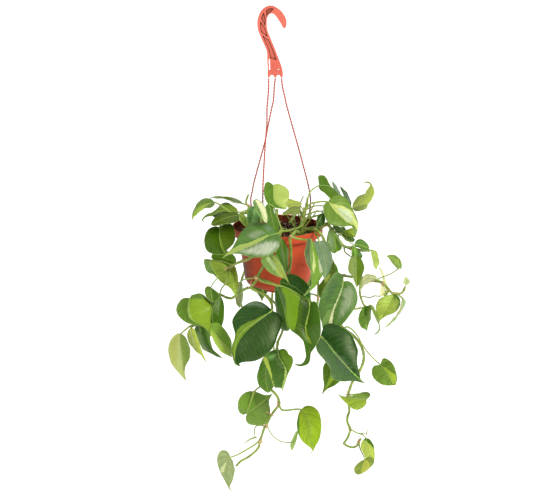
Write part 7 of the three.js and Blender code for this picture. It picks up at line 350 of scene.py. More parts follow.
  'M': [(188,-26,-463.8),(188.6,-22.4,-460.6),(189.2,-18.6,-457.4),(189.3,-15.4,-454.1),(188.8,-12.9,-450.6),(188.2,-10.5,-447),(187.8,-7.8,-443.6),(187.5,-4.7,-440.2),(187,-1.8,-436.8),(186,0.3,-433.2),(184.4,1.7,-429.6),(182.1,1.6,-425.9),(179,-0.1,-422.4)],
  'Q': [(188,-26,-463.8),(191.8,-18.1,-464.7),(195.2,-10.5,-464.9),(197.1,-4.7,-463.4),(197.7,-1,-460.8),(196.9,0.4,-457.6),(195.7,1,-454.3),(194.2,0.8,-450.8),(192.6,0.5,-447.3),(190.9,0.2,-443.9),(189.4,0.3,-440.5),(188.5,1.7,-437.4),(188,4.4,-434.5),(187,6.4,-431.6),(185.5,7.1,-428.4),(182.6,4.6,-425.2),(179,-0.1,-422.4)],
  'bands': [],
  'pats': []},
 'L40': {'node': 'leaf_20', 'face': 'U', 'L': 51.3, 'n': [-0.141, -0.816, 0.561], 'cols': [(184, 209, 87), (70, 110, 22), (167, 185, 86)], 'kinds': ['crisp', 'soft'],
  'P': [(202.7,-28.1,-461.4),(198.6,-28.7,-461.3),(194.5,-29.4,-461.6),(190.5,-30.4,-462.6),(186.7,-31.4,-463.8),(182.9,-32.5,-465.1),(179.4,-33.8,-467),(176.7,-35.2,-469.8),(174.7,-36.6,-473),(173.4,-38.1,-476.6),(172.9,-39.5,-480.4),(173.2,-40.8,-484.2),(173.9,-42,-488),(175,-43,-491.8),(176.4,-44.1,-495.5),(177.7,-45.2,-499.1),(179,-46.1,-502.9)],
  'M': [(202.7,-28.1,-461.4),(201,-30.1,-464.8),(199.4,-32.1,-468.3),(197.7,-34,-471.8),(195.8,-35.8,-475.3),(193.9,-37.4,-478.8),(191.8,-38.9,-482.2),(189.8,-40.3,-485.6),(187.7,-41.6,-489.1),(185.5,-42.9,-492.5),(183.3,-44,-496),(181.2,-45.1,-499.4),(179,-46.1,-502.9)],
  'Q': [(202.7,-28.1,-461.4),(206.8,-30.6,-461.3),(210.1,-34,-462.7),(212.4,-37.7,-465.2),(213.3,-41.2,-468.5),(213,-44.1,-472.1),(211.7,-46.4,-475.7),(209.8,-48.1,-479.3),(207.2,-49.2,-482.6),(204,-49.4,-485.4),(200.3,-49,-487.9),(196.5,-48.2,-490),(192.5,-47.1,-492),(188.7,-46.3,-494.2),(185,-45.6,-496.6),(181.8,-45.6,-499.6),(179,-46.1,-502.9)],
  'bands': [],
  'pats': [[(393.2,294),(394,300),(395.5,306),(395.6,313),(402,308),(402,298),(397,293.5)],
   [(394.5,296),(400,303),(396,311),(388,315),(381,319),(389,311),(394,304)]]},
 'L41': {'node': 'vine_right_low', 'face': 'U', 'L': 71.9, 'n': [0.922, -0.386, -0.031], 'cols': [(142, 188, 81), (162, 163, 77)], 'kinds': ['crisp'],
  'P': [(219.4,-26,-469.9),(214.2,-51.4,-464.3),(214,-52,-468.1),(213.7,-49.5,-472.9),(212.8,-48.2,-477.1),(211.1,-50.1,-480.2),(208.9,-52.4,-482.8),(206.4,-56.9,-484.6),(203.7,-62.9,-486),(201.8,-60.9,-489.9),(199.5,-62.9,-492.5),(196.9,-68.4,-494),(194.9,-64.1,-498.5),(192.1,-65.5,-500.9),(188.5,-73.9,-500.6),(185.5,-71.5,-503.5),(182.8,-63,-508.1)],
  'M': [(219.4,-26,-469.9),(219.2,-26,-475.3),(218.6,-26.9,-480.4),(216.4,-31.5,-484),(213.3,-37.6,-486.7),(209.9,-43.6,-489.3),(206.5,-48.9,-491.9),(202.9,-53.5,-494.6),(199.3,-57.3,-497.4),(195.7,-60.1,-500.5),(191.9,-62,-503.6),(187.6,-63.1,-506.1),(182.8,-63,-508.1)],
  'Q': [(219.4,-26,-469.9),(224.2,-7.8,-478.6),(225.4,-2.3,-484.7),(224.3,-5.4,-488.1),(222.1,-12.3,-489.9),(219.5,-19.1,-491.6),(216.4,-26.7,-492.7),(213.3,-33.5,-493.9),(210,-40,-495.1),(206.7,-45.6,-496.5),(203.7,-49.7,-498.5),(200.8,-52.1,-501),(197.8,-54,-503.5),(194.6,-56.8,-505.6),(191.1,-59.2,-507.4),(187,-61.4,-508),(182.8,-63,-508.1)],
  'bands': [],
  'pats': [[(403,299),(403.8,303),(402,309),(398,315),(392,321),(386,326.5),(392,319),(398,311.5),(402,304)]]},
 'L42': {'node': 'vine_right_low', 'face': 'U', 'L': 15.1, 'n': [0.06, -0.87, 0.489], 'cols': [(206, 221, 158)], 'kinds': [],
  'P': [(223.9,-16,-448.6),(223,-16.1,-447.9),(222,-16.1,-447.3),(221.1,-16.2,-446.7),(220.2,-16.2,-445.9),(219.6,-15.9,-445.1),(219.5,-15.5,-444.1),(219.7,-14.9,-443.1),(219.9,-14.2,-442.2),(220.3,-13.4,-441.4),(220.8,-12.7,-440.5),(221.3,-11.8,-439.7),(221.9,-11,-439),(222.6,-10.1,-438.3),(223.3,-9.3,-437.7),(224,-8.4,-437),(224.7,-7.5,-436.4)],
  'M': [(223.9,-16,-448.6),(224.2,-15.4,-447.6),(224.5,-14.8,-446.5),(224.8,-14.1,-445.5),(225.1,-13.4,-444.5),(225.2,-12.8,-443.4),(225.3,-12,-442.4),(225.2,-11.3,-441.4),(225.1,-10.6,-440.4),(225,-9.8,-439.4),(224.9,-9.1,-438.4),(224.8,-8.3,-437.4),(224.7,-7.5,-436.4)],
  'Q': [(223.9,-16,-448.6),(225.2,-16.2,-448.4),(226.5,-16.4,-448.2),(227.8,-16.5,-447.9),(228.9,-16.3,-447.2),(229.8,-15.9,-446.3),(230.4,-15.3,-445.2),(230.9,-14.6,-444.1),(230.8,-13.8,-443),(230.4,-13,-442),(229.7,-12.2,-441),(229,-11.4,-440.1),(228.3,-10.6,-439.3),(227.4,-9.8,-438.5),(226.5,-9.1,-437.8),(225.6,-8.3,-437.1),(224.7,-7.5,-436.4)],
  'bands': [],
  'pats': []},
 'L43': {'node': 'vine_right_low', 'face': 'U', 'L': 45.6, 'n': [-0.683, -0.627, 0.375], 'cols': [(132, 176, 71), (59, 107, 10), (168, 209, 104)], 'kinds': ['crisp', 'soft'],
  'P': [(161,-58,-470.9),(157.6,-56.3,-472.5),(154.1,-54.7,-474.3),(151,-53.5,-476.7),(148.2,-52.9,-479.4),(146.2,-53,-482.7),(144.9,-53.8,-486.2),(144,-54.9,-489.7),(143.3,-56.1,-493.2),(143.3,-57.6,-496.6),(144,-59.3,-500),(145.1,-61.1,-503.1),(146.7,-63,-506.1),(149.4,-65.2,-507.9),(152.8,-67.5,-508.5),(155.8,-69.6,-509.8),(156.1,-70.6,-513.4)],
  'M': [(161,-58,-470.9),(159.5,-58.4,-474.3),(158.1,-58.7,-477.9),(157.4,-59.9,-481.4),(157.6,-61.7,-484.7),(158,-63.7,-488),(158.2,-65.3,-491.4),(158.1,-66.7,-494.9),(157.8,-67.8,-498.5),(157.5,-68.7,-502.2),(157.1,-69.5,-505.9),(156.6,-70.1,-509.6),(156.1,-70.6,-513.4)],
  'Q': [(161,-58,-470.9),(162.3,-63.9,-471.4),(163,-68.5,-472.7),(162.9,-71.4,-474.8),(162.6,-73,-477.2),(162.6,-73.8,-480),(162.5,-74.2,-482.9),(162.3,-74.7,-485.7),(161.8,-74.5,-488.8),(161.1,-74,-491.8),(160.4,-73.7,-494.9),(159.5,-72.8,-498),(158.7,-71.6,-501.3),(157.9,-71.5,-504.2),(157.3,-72.3,-506.9),(156.7,-71.6,-510.1),(156.1,-70.6,-513.4)],
  'bands': [],
  'pats': [[(364,306),(370,306),(368,311),(368,318),(364,314)],
   [(367.5,312),(368.4,318),(367.8,326),(366.5,332),(366,325),(366.4,317)]]},
 'L44': {'node': 'vine_right_low', 'face': 'U', 'L': 61.4, 'n': [0.814, -0.15, 0.561], 'cols': [(128, 161, 67), (146, 172, 130)], 'kinds': ['fleck_and_sheen'],
  'P': [(163.5,-57.9,-470.9),(161.5,-77.3,-468),(162.2,-83.2,-469.4),(163.6,-84.8,-472.1),(165,-86.1,-474.9),(166.6,-85.8,-478.1),(168.2,-85.5,-481.4),(170,-83.6,-485.1),(171.7,-82,-488.8),(173,-81.1,-492.4),(173.9,-81.3,-495.8),(174.4,-84.5,-498.2),(174.8,-83.5,-502),(173.9,-86.6,-504.4),(170.8,-96.8,-503.4),(168.4,-96.6,-505.9),(166.3,-92.7,-509.7)],
  'M': [(163.5,-57.9,-470.9),(165.5,-60.1,-474.5),(167.6,-62,-478.2),(169.5,-63.9,-481.9),(171.4,-65.6,-485.7),(173.3,-67.2,-489.6),(174.9,-69,-493.5),(176,-71.5,-497.3),(176.7,-74.2,-501.2),(176.6,-77.5,-504.9),(174.2,-82.9,-507.3),(170.5,-88.2,-508.7),(166.3,-92.7,-509.7)],
  'Q': [(163.5,-57.9,-470.9),(168.2,-40.3,-477.9),(170.2,-40.5,-481.2),(171.5,-43.6,-483.8),(173.2,-44.8,-486.9),(175,-45.6,-490),(176.3,-48,-492.9),(177.2,-52.3,-495.1),(177.8,-57.1,-497.4),(178.2,-62.2,-499.5),(178.3,-66.7,-501.9),(178.3,-70.7,-504.4),(178.4,-72.7,-507.6),(177.1,-73,-511),(174.3,-76.6,-512.6),(170.5,-84.5,-511.6),(166.3,-92.7,-509.7)],
  'bands': [],
  'pats': [[(371,307),(374,312),(377,320),(379,329),(377,331),(376,322)]]},
 'L45': {'node': 'leaf_05', 'face': 'U', 'L': 101.5, 'n': [0.765, -0.548, 0.339], 'cols': [(87, 108, 59), (112, 155, 35), (217, 229, 140), (185, 194, 154)], 'kinds': ['crisp', 'crisp', 'crisp'],
  'P': [(62.2,-123.6,-340.4),(56.3,-136.4,-335.7),(54.2,-145.7,-339.2),(53.5,-151.6,-344.1),(52.1,-159.1,-348.5),(52,-163.8,-353.8),(53.1,-164.8,-359.9),(55.2,-162.1,-367),(57.5,-159.4,-374),(59.6,-157.2,-380.9),(61.3,-156,-387.7),(62.5,-154.3,-394.8),(62.7,-153.5,-401.8),(61,-157.1,-407.1),(57.5,-162.8,-411),(53.6,-166.5,-415.1),(49.6,-170,-419.3)],
  'M': [(62.2,-123.6,-340.4),(63.7,-126,-347.8),(65.2,-128.2,-355.4),(66.8,-129.9,-363),(67.8,-132.2,-370.5),(67.7,-135.6,-377.9),(67.8,-138.5,-385.3),(68.5,-140.4,-393),(67.5,-144,-400.2),(64.9,-149.1,-406.5),(60.4,-155.7,-411.4),(55.2,-162.8,-415.5),(49.6,-170,-419.3)],
  'Q': [(62.2,-123.6,-340.4),(65.8,-120.2,-346.9),(67.6,-120.8,-353.3),(70,-120.4,-359.9),(72.7,-119.5,-366.5),(75.4,-117.9,-373.3),(77.7,-116.6,-380.2),(79.8,-115.4,-387.2),(81.4,-114.9,-394.1),(80.4,-119.4,-399.6),(78,-125.6,-404.2),(74.7,-132.7,-408.1),(70.6,-139.7,-411.6),(65.8,-146.9,-414.3),(60.7,-154.4,-416.5),(55.5,-161.9,-418.5),(49.6,-170,-419.3)],
  'bands': [],
  'pats': [[(310.5,239),(312.5,240),(316,251),(320,261),(323.5,271),(322.5,277),(317,286),(310,291.5),(302.5,297),(309.5,289),(311.8,284),(312,277),(310.8,268),(310,255)],
   [(312.5,250),(315,257),(315.8,266),(313.5,274),(312.3,268),(313.3,259)],
   [(318,258),(321,264.5),(323,272),(320.5,274),(318.8,266)]]},
 'L46': {'node': 'leaf_07', 'face': 'U', 'L': 64.7, 'n': [0.714, -0.498, 0.492], 'cols': [(120, 148, 110), (124, 144, 99)], 'kinds': ['fleck_and_sheen'],
  'P': [(76.2,-83.5,-355),(71.6,-91.5,-351.6),(67.7,-101.2,-350.8),(66.8,-107.5,-353.6),(68.3,-108.8,-357.6),(70,-109.5,-361.8),(71.5,-110.7,-365.8),(73,-111.6,-370),(74.5,-112.5,-374.1),(76.2,-113,-378.3),(77.6,-113.1,-382.7),(78.8,-113.6,-387.1),(79.7,-114.1,-391.6),(80.6,-114,-396.2),(81.7,-113.9,-400.8),(82.7,-114,-405.4),(83.8,-112.9,-410.3)],
  'M': [(76.2,-83.5,-355),(77.6,-85.8,-359.6),(79.1,-88,-364.2),(80.5,-90.1,-368.9),(82.1,-91.9,-373.6),(83.7,-93.4,-378.4),(85.2,-95,-383.1),(86.1,-97.1,-387.9),(86.5,-99.7,-392.6),(86.3,-102.7,-397.2),(85.7,-106,-401.6),(84.7,-109.5,-405.9),(83.8,-112.9,-410.3)],
  'Q': [(76.2,-83.5,-355),(81,-75.7,-355.1),(85.8,-70.6,-357.6),(89.3,-69,-361.6),(91.7,-69.6,-366),(93.3,-71.3,-370.4),(95,-72.9,-374.8),(96.4,-74.6,-379.2),(97.4,-76.8,-383.6),(98.1,-79.3,-388),(97.8,-82.8,-392.1),(96.6,-87.1,-395.9),(94.9,-91.8,-399.4),(92.6,-96.9,-402.5),(89.9,-102.1,-405.3),(86.9,-107.5,-407.9),(83.8,-112.9,-410.3)],
  'bands': [],
  'pats': [[(318,244),(325,243),(329,252),(331,262),(328,271),(325,266),(323,256),(320,249)]]},
 'L47': {'node': 'leaf_10', 'face': 'U', 'L': 66.3, 'n': [-0.629, -0.467, 0.621], 'cols': [(97, 147, 43), (190, 218, 97), (83, 125, 79)], 'kinds': ['crisp', 'fleck_and_sheen'],
  'P': [(100.9,-61.3,-395.4),(98.5,-60.6,-399.3),(96.8,-62.7,-402.8),(95.7,-65.4,-406.3),(93.9,-66.9,-409.9),(91.7,-67.6,-413.6),(89.4,-68.1,-417.1),(86.9,-68.5,-420.6),(84.1,-68.2,-424.1),(81.2,-67.5,-427.6),(78.4,-66.7,-431.1),(75.6,-65.8,-434.8),(74.5,-68.6,-438.2),(75.2,-73.9,-440.9),(76.2,-79.3,-443.5),(77.5,-84.9,-446),(78.8,-90.4,-448.4)],
  'M': [(100.9,-61.3,-395.4),(100.1,-65.8,-399.6),(99.2,-69.9,-403.9),(97.6,-73.2,-408.2),(95.7,-75.8,-412.6),(93.4,-77.8,-417),(90.5,-78.9,-421.4),(87.5,-79.7,-425.7),(85,-81,-430.2),(82.7,-82.7,-434.7),(80.9,-84.8,-439.3),(79.8,-87.6,-443.9),(78.8,-90.4,-448.4)],
  'Q': [(100.9,-61.3,-395.4),(103.6,-69.7,-396.4),(105.7,-77.5,-398),(106.8,-84.2,-400.4),(107.2,-89.9,-403.4),(106.8,-94.7,-406.6),(105.8,-98.4,-410),(104.2,-100.6,-413.7),(102,-102.1,-417.3),(99.7,-102.9,-421),(97,-103,-424.6),(94.1,-102,-428.4),(91.2,-100.5,-432.3),(88.2,-98.5,-436.3),(85.1,-95.8,-440.3),(81.9,-93.7,-444.2),(78.8,-90.4,-448.4)],
  'bands': [],
  'pats': [[(331,274),(328,281),(325,284.5),(324.5,279.5),(329,274)],
   [(334,264),(337.5,270),(336,279),(330,287),(327,286),(331,277)]]},
 # L48: the silver-green streaks on the right half are painted sheen
 'L48': {'node': 'leaf_13', 'face': 'U', 'L': 88.4, 'n': [0.131, -0.879, 0.458], 'cols': [(88, 128, 58), (249, 244, 197), (111, 146, 74), (156, 169, 136), (66, 97, 59)], 'kinds': ['crisp', 'crisp', 'fleck_and_sheen', 'fleck_and_sheen'],
  'P': [(114.8,-98.2,-417.3),(113.8,-97.8,-409.1),(109.2,-98.3,-402.3),(101.3,-101,-402.3),(95.3,-105.1,-406.7),(90.8,-110,-412.3),(86.5,-114.7,-418),(82.6,-118.5,-424.2),(79.6,-121.8,-431),(77.5,-124.5,-438.2),(75.8,-126.9,-445.7),(75.2,-128.8,-453.5),(75.9,-130.1,-461.5),(77.7,-130.8,-469.5),(80,-131.2,-477.5),(81.7,-131.9,-485.5),(85.5,-131.4,-493.2)],
  'M': [(114.8,-98.2,-417.3),(114.2,-101.7,-423.9),(112.2,-105.1,-430.2),(109.5,-108.3,-436.4),(106.6,-111.4,-442.4),(103.7,-114.3,-448.6),(100.7,-117.1,-454.7),(97.7,-119.8,-460.8),(94.9,-122.3,-467.1),(92.3,-124.8,-473.5),(89.9,-127.1,-480),(87.7,-129.3,-486.6),(85.5,-131.4,-493.2)],
  'Q': [(114.8,-98.2,-417.3),(122.4,-99.4,-416.1),(129.1,-102.3,-418.6),(133.5,-106.3,-423.9),(136.2,-110.6,-430),(137.7,-114.9,-436.5),(137.3,-119,-443.3),(135,-122.5,-449.8),(131.3,-125.4,-456),(127.1,-127.8,-462),(122.6,-129.9,-467.9),(117.8,-131.7,-473.6),(112.5,-132.9,-479),(106.5,-133.4,-483.8),(100,-133.5,-488.2),(93,-133.2,-491.5),(85.5,-131.4,-493.2)],
  'bands': [],
  'pats': [[(342.6,283),(343.4,284),(342,290),(339.5,297),(336,305),(334,311),(333,318),(332,324),(329,330),(329,322),(331,313),(335,304),(338.5,296),(341,289)],
   [(333.5,308),(331,314),(329,322),(328,330),(321,328),(322,320),(327,312)],
   [(343,288),(351,284.5),(355.5,293),(353,305),(345,316),(337,322),(338,312),(342,300)],
   [(332,279),(338,276),(340,284),(334,296),(327,306),(324,300),(327,288)]]},
 # L49: the grey streaks near the midrib are painted sheen
 'L49': {'node': 'leaf_22', 'face': 'U', 'L': 104.0, 'n': [0.184, -0.703, 0.687], 'cols': [(21, 67, 5), (68, 101, 56), (135, 192, 69), (73, 96, 70), (86, 107, 83)], 'kinds': ['crisp', 'crisp', 'fleck_and_sheen', 'fleck_and_sheen'],
  'P': [(78.4,-144.9,-494.4),(82,-140,-486.7),(84.6,-135.2,-478.9),(93.6,-133.2,-476.6),(102.9,-134.1,-478.1),(111.5,-136.4,-481.6),(119.4,-139.4,-486.1),(126.6,-142.8,-491.3),(131.3,-147.3,-498.4),(134.6,-151.8,-506.2),(137.4,-156.1,-514),(136.2,-160.7,-522.3),(135.4,-165.2,-530.7),(137.1,-169.3,-539),(139.5,-173.1,-547.2),(141.7,-176.6,-555.5),(149.4,-177.2,-561.2)],
  'M': [(78.4,-144.9,-494.4),(84.4,-148.4,-499.7),(90,-152.1,-505.3),(95.1,-156,-511.2),(100.2,-159.8,-517.2),(105.6,-163.1,-523),(111.5,-166,-528.7),(117.3,-168.8,-534.4),(123.1,-171.3,-540.2),(129.2,-173.5,-545.8),(135.1,-175.7,-551.6),(141.6,-177.2,-557),(149.4,-177.2,-561.2)],
  'Q': [(78.4,-144.9,-494.4),(75,-154.8,-498.9),(70.8,-164.1,-503.1),(72.1,-171.2,-508.6),(76.2,-175.7,-514.3),(81,-179.3,-519.8),(85.3,-183.3,-525.5),(90.3,-186.6,-530.9),(92.5,-192.6,-536.8),(93.8,-199.2,-542.7),(100.2,-199.7,-547.2),(108.1,-197.1,-550.3),(116.4,-192.5,-552.2),(124.7,-187.2,-553.7),(133,-183.4,-555.9),(141,-180.6,-559.1),(149.4,-177.2,-561.2)],
  'bands': [],
  'pats': [[(321,337),(332,350),(343,363),(354,375),(366,384),(340,384),(325,372),(312,348)],
   [(321,336.5),(332.4,349),(343.4,362),(355,374),(366,383),(354,374.8),(342.6,363),(331.6,350)],
   [(334,352),(345,356),(354,368),(350,377),(340,371),(334,362)],
   [(322,352),(330,360),(334,372),(328,368),(322,358)]]},
 'L50': {'node': 'leaf_27', 'face': 'U', 'L': 55.1, 'n': [0.244, -0.86, 0.447], 'cols': [(89, 126, 8), (162, 193, 54)], 'kinds': ['crisp'],
  'P': [(100.2,-104,-556),(96.3,-106.2,-552.8),(92.3,-108.6,-550),(88.1,-112,-550.1),(85.3,-115.1,-552.4),(83.7,-117.4,-555.9),(82.9,-119.1,-559.7),(82.7,-120.3,-563.8),(82.9,-121.2,-568.1),(83.5,-121.6,-572.5),(84.2,-122.1,-576.9),(84.9,-122.4,-581.3),(85.1,-122.8,-585.7),(84.4,-123.8,-589.9),(83.2,-124.8,-594),(82.1,-125.7,-598),(80.8,-126.7,-602.1)],
  'M': [(100.2,-104,-556),(98.8,-106.3,-559.8),(97.6,-108.5,-563.7),(96.3,-110.7,-567.6),(94.9,-112.8,-571.4),(93.4,-114.8,-575.3),(91.9,-116.7,-579.2),(90.4,-118.5,-583.1),(88.7,-120.3,-587),(86.9,-122,-590.8),(84.9,-123.7,-594.5),(82.8,-125.2,-598.3),(80.8,-126.7,-602.1)],
  'Q': [(100.2,-104,-556),(104.1,-105.4,-558),(108,-106.9,-560),(111.1,-108.7,-563),(113.2,-111,-566.5),(114.4,-113.3,-570.4),(114.3,-115.6,-574.4),(112.8,-117.6,-578.3),(110.1,-119.2,-581.6),(106.5,-120.4,-584.3),(102.6,-121.3,-586.7),(98.5,-122,-588.8),(94.2,-122.5,-590.4),(90.2,-123.2,-592.6),(86.8,-124.3,-595.5),(83.8,-125.5,-598.7),(80.8,-126.7,-602.1)],
  'bands': [],
  'pats': [[(330.5,375.5),(328,381),(325.5,386.5),(321,396),(324.5,390.5),(327,387.7),(330,384.3),(334,379.5),(333,376)]]},
 'L51': {'node': 'leaf_28', 'face': 'U', 'L': 48.3, 'n': [-0.426, -0.578, 0.696], 'cols': [(114, 148, 52), (175, 201, 65)], 'kinds': ['crisp'],
  'P': [(179.5,-80,-566.3),(176,-82.4,-569),(173,-79,-567.4),(168.7,-79.2,-568.8),(166,-82.1,-572),(164.7,-86.2,-575.3),(164.8,-91.1,-578.5),(166.1,-95.9,-581.4),(168.5,-100.4,-583.8),(171.7,-104.2,-585.7),(175.2,-107.7,-587.5),(179,-110.8,-589),(183.3,-113,-589.6),(187.8,-114.4,-589.6),(192.4,-115.4,-589.2),(197,-115.9,-588.6),(201.6,-116.8,-588.3)],
  'M': [(179.5,-80,-566.3),(181.6,-83.4,-567.8),(183.7,-86.7,-569.4),(185.7,-89.9,-571),(187.6,-93.1,-572.8),(189.3,-96.3,-574.7),(191,-99.4,-576.6),(192.7,-102.5,-578.6),(194.4,-105.4,-580.5),(196.1,-108.4,-582.5),(197.9,-111.2,-584.4),(199.7,-114,-586.4),(201.6,-116.8,-588.3)],
  'Q': [(179.5,-80,-566.3),(180.7,-78.8,-562.4),(181.9,-77.5,-558.5),(184.7,-77.8,-555.3),(188.5,-80.9,-555),(192,-85,-555.7),(195.2,-89.1,-556.7),(197.9,-93.1,-558.4),(200,-97,-560.8),(201.4,-100.5,-563.6),(202.2,-103.6,-566.8),(203,-106.7,-570.1),(203.8,-109.7,-573.3),(204.3,-112.4,-576.8),(204,-114.4,-580.5),(202.8,-115.6,-584.4),(201.6,-116.8,-588.3)],
  'bands': [],
  'pats': [[(381,365),(385,367.5),(390,371),(395,374),(396.2,377.5),(395.5,383.5),(392.5,383.5),(389.5,377),(386.5,371.5),(383,367.5)]]},
 'L53': {'node': 'leaf_25', 'face': 'U', 'L': 71.9, 'n': [-0.308, -0.883, 0.354], 'cols': [(67, 108, 32), (174, 195, 74), (198, 225, 115), (103, 140, 14), (136, 187, 106)], 'kinds': ['crisp', 'crisp', 'crisp', 'fleck_and_sheen'],
  'P': [(11,-110,-531),(4.9,-109.4,-529.8),(-1.1,-109.9,-531.6),(-6.1,-111.4,-535.1),(-11.2,-112.7,-538.7),(-13.7,-114.7,-543.5),(-11.5,-117.2,-548.8),(-9,-119.7,-554),(-6.3,-122.5,-559.1),(-3.7,-125.1,-564.2),(-1.4,-126.3,-570.1),(0.4,-127.2,-576.2),(2.4,-128.2,-582.2),(5.5,-129.1,-587.5),(11.5,-129.1,-587.7),(16.3,-129.3,-589.2),(18.1,-130.6,-595.2)],
  'M': [(11,-110,-531),(11.4,-112.3,-536.5),(12.9,-114.7,-541.7),(16.2,-117.3,-546),(19.4,-119.8,-550.5),(22,-122.1,-555.3),(23.6,-124.2,-560.6),(23.7,-125.8,-566.3),(22.3,-126.8,-572),(20.5,-127.7,-577.8),(18.4,-128.3,-583.5),(17.5,-129.3,-589.3),(18.1,-130.6,-595.2)],
  'Q': [(11,-110,-531),(15.7,-113.5,-526.6),(21.2,-118.2,-524.9),(25.5,-123.1,-526.8),(27.5,-125.9,-531.3),(31.9,-129.5,-533.5),(34.3,-131.4,-538.1),(34.4,-131.8,-543.9),(33,-131.3,-549.9),(30.6,-129.8,-555.8),(28.1,-129.1,-561.4),(25.7,-128.3,-567.1),(23.9,-128.7,-572.6),(22.2,-129.5,-578.1),(20.5,-130.3,-583.5),(19.1,-130.7,-589.2),(18.1,-130.6,-595.2)],
  'bands': [],
  'pats': [[(261,357),(266.5,357),(268.5,361),(270,367),(271.3,373),(272.7,379),(274.5,385.5),(273,388),(271,379),(267.5,371.5),(264,365)],
   [(278.3,351),(279.3,357),(283,362.5),(286,368),(287.4,372.5),(286,379),(283.6,386),(283,393),(282,393),(281.7,387),(284,379.5),(284.9,373),(284,368),(281.5,363),(278.2,357.5)],
   [(279.5,350),(281,358),(285,364),(288,371),(288.5,377),(295,366),(292,352),(285,347)],
   [(266,355),(273,352.5),(277,353),(275,360),(268,361)]]},
 'L53b': {'node': 'leaf_26', 'face': 'U', 'L': 57.7, 'n': [-0.566, -0.721, 0.401], 'cols': [(86, 131, 28)], 'kinds': [],
  'P': [(-5.7,-94,-549.3),(-10.2,-90.2,-548.9),(-14.2,-88.5,-551.6),(-16.2,-89.3,-555.9),(-18.2,-90,-560.3),(-20,-90.8,-564.7),(-21.6,-91.7,-569.2),(-22.8,-92.8,-573.8),(-23.4,-94.2,-578.3),(-23.6,-95.8,-582.8),(-23.1,-97.8,-587.1),(-22,-100,-591.3),(-19.9,-102.7,-594.8),(-16.8,-105.8,-597.5),(-13.3,-108.9,-599.8),(-9.3,-112.2,-601.4),(-4.9,-115.5,-602)],
  'M': [(-5.7,-94,-549.3),(-6.8,-95.6,-553.7),(-7.8,-97,-558.2),(-8.7,-98.6,-562.6),(-9.2,-100.3,-567.1),(-9.4,-102,-571.6),(-9.4,-103.9,-576),(-9.2,-105.7,-580.5),(-8.7,-107.7,-584.8),(-7.9,-109.7,-589.1),(-6.9,-111.7,-593.4),(-5.9,-113.7,-597.6),(-4.9,-115.5,-602)],
  'Q': [(-5.7,-94,-549.3),(-2.7,-98.6,-550.4),(0.1,-102.9,-551.9),(2.2,-106.8,-554.1),(3.7,-110.2,-556.8),(4.9,-113.3,-559.7),(5.8,-115.9,-562.9),(6.4,-118,-566.3),(6.7,-119.8,-569.9),(6.6,-121,-573.7),(6.2,-121.7,-577.6),(5.3,-121.9,-581.7),(4.1,-121.6,-585.9),(2.7,-121,-590.1),(0.9,-120.2,-594.3),(-1.7,-118.2,-598.3),(-4.9,-115.5,-602)],
  'bands': [],
  'pats': []},
 'L54': {'node': 'leaf_31', 'face': 'U', 'L': 74.3, 'n': [0.442, -0.596, 0.671], 'cols': [(121, 153, 68), (198, 237, 115), (114, 154, 51)], 'kinds': ['crisp', 'soft'],
  'P': [(-40.4,-100,-644.2),(-46,-106.8,-643.7),(-51.5,-108.8,-639.9),(-54.7,-107.2,-634.9),(-56.1,-104,-629.8),(-55.6,-99.7,-624.9),(-53.5,-94.7,-620.6),(-50.1,-89,-617.4),(-45.7,-82.8,-615.2),(-40.2,-76.5,-614.7),(-34.1,-70.7,-615.9),(-28,-65.9,-618.7),(-22.1,-62.3,-622.5),(-16.3,-58.8,-626.3),(-10.2,-54.6,-629.5),(-3.9,-48.2,-631.4),(2.2,-40.5,-632.3)],
  'M': [(-40.4,-100,-644.2),(-36.8,-95.9,-642.9),(-33.3,-91.7,-641.8),(-29.8,-87.3,-640.7),(-26.2,-82.8,-639.6),(-22.6,-78.1,-638.6),(-19.1,-73.2,-637.6),(-15.7,-68.1,-636.5),(-12.2,-62.9,-635.4),(-8.7,-57.5,-634.5),(-5,-52,-633.8),(-1.4,-46.4,-633.1),(2.2,-40.5,-632.3)],
  'Q': [(-40.4,-100,-644.2),(-42.2,-107.7,-647.5),(-41.3,-114,-651.5),(-37.5,-117.3,-655.5),(-31.6,-117,-658.1),(-25.3,-115.2,-659.5),(-19,-113,-660.6),(-13,-108.9,-660.5),(-8.1,-102.6,-658.8),(-4.6,-95.2,-656.2),(-2.5,-87.4,-652.9),(-1.7,-79.7,-649.2),(-2.7,-72.9,-645.2),(-4.1,-66.3,-641.1),(-3.8,-58.6,-637.5),(-1.1,-49.8,-634.7),(2.2,-40.5,-632.3)],
  'bands': [],
  'pats': [[(248,413),(254,408),(262,401.6),(272.8,393.3),(263,402.6),(255,409)],
   [(238,404),(247,412),(262,401),(270,394),(262,393),(248,391),(240,397)]]},
 'L55': {'node': 'leaf_30', 'face': 'U', 'L': 85.2, 'n': [0.481, -0.69, 0.541], 'cols': [(156, 190, 30), (74, 117, 31)], 'kinds': ['crisp'],
  'P': [(48.8,-92,-640.3),(54.2,-86.2,-637.5),(61.2,-81.4,-637.4),(68.3,-78.9,-640.2),(74.2,-78.5,-645),(78.6,-79.8,-650.7),(81.2,-82.4,-657),(82.6,-85.7,-663.3),(83.2,-89.3,-669.6),(82.8,-93.3,-675.7),(81.8,-97.5,-681.8),(80.1,-101.9,-687.5),(76.9,-106.7,-692.5),(72.7,-111.6,-696.8),(69.5,-116.2,-701.9),(65.5,-121.1,-706.3),(59.1,-126.1,-707.5)],
  'M': [(48.8,-92,-640.3),(52.6,-93.7,-646),(56,-95.6,-651.8),(58.8,-97.9,-657.8),(61,-100.5,-663.9),(62.4,-103.5,-670.1),(63.3,-106.6,-676.2),(64.2,-109.6,-682.5),(65.3,-112.3,-688.8),(67.5,-114.2,-695.2),(68.7,-116.6,-701.5),(65.3,-121.1,-706.1),(59.1,-126.1,-707.5)],
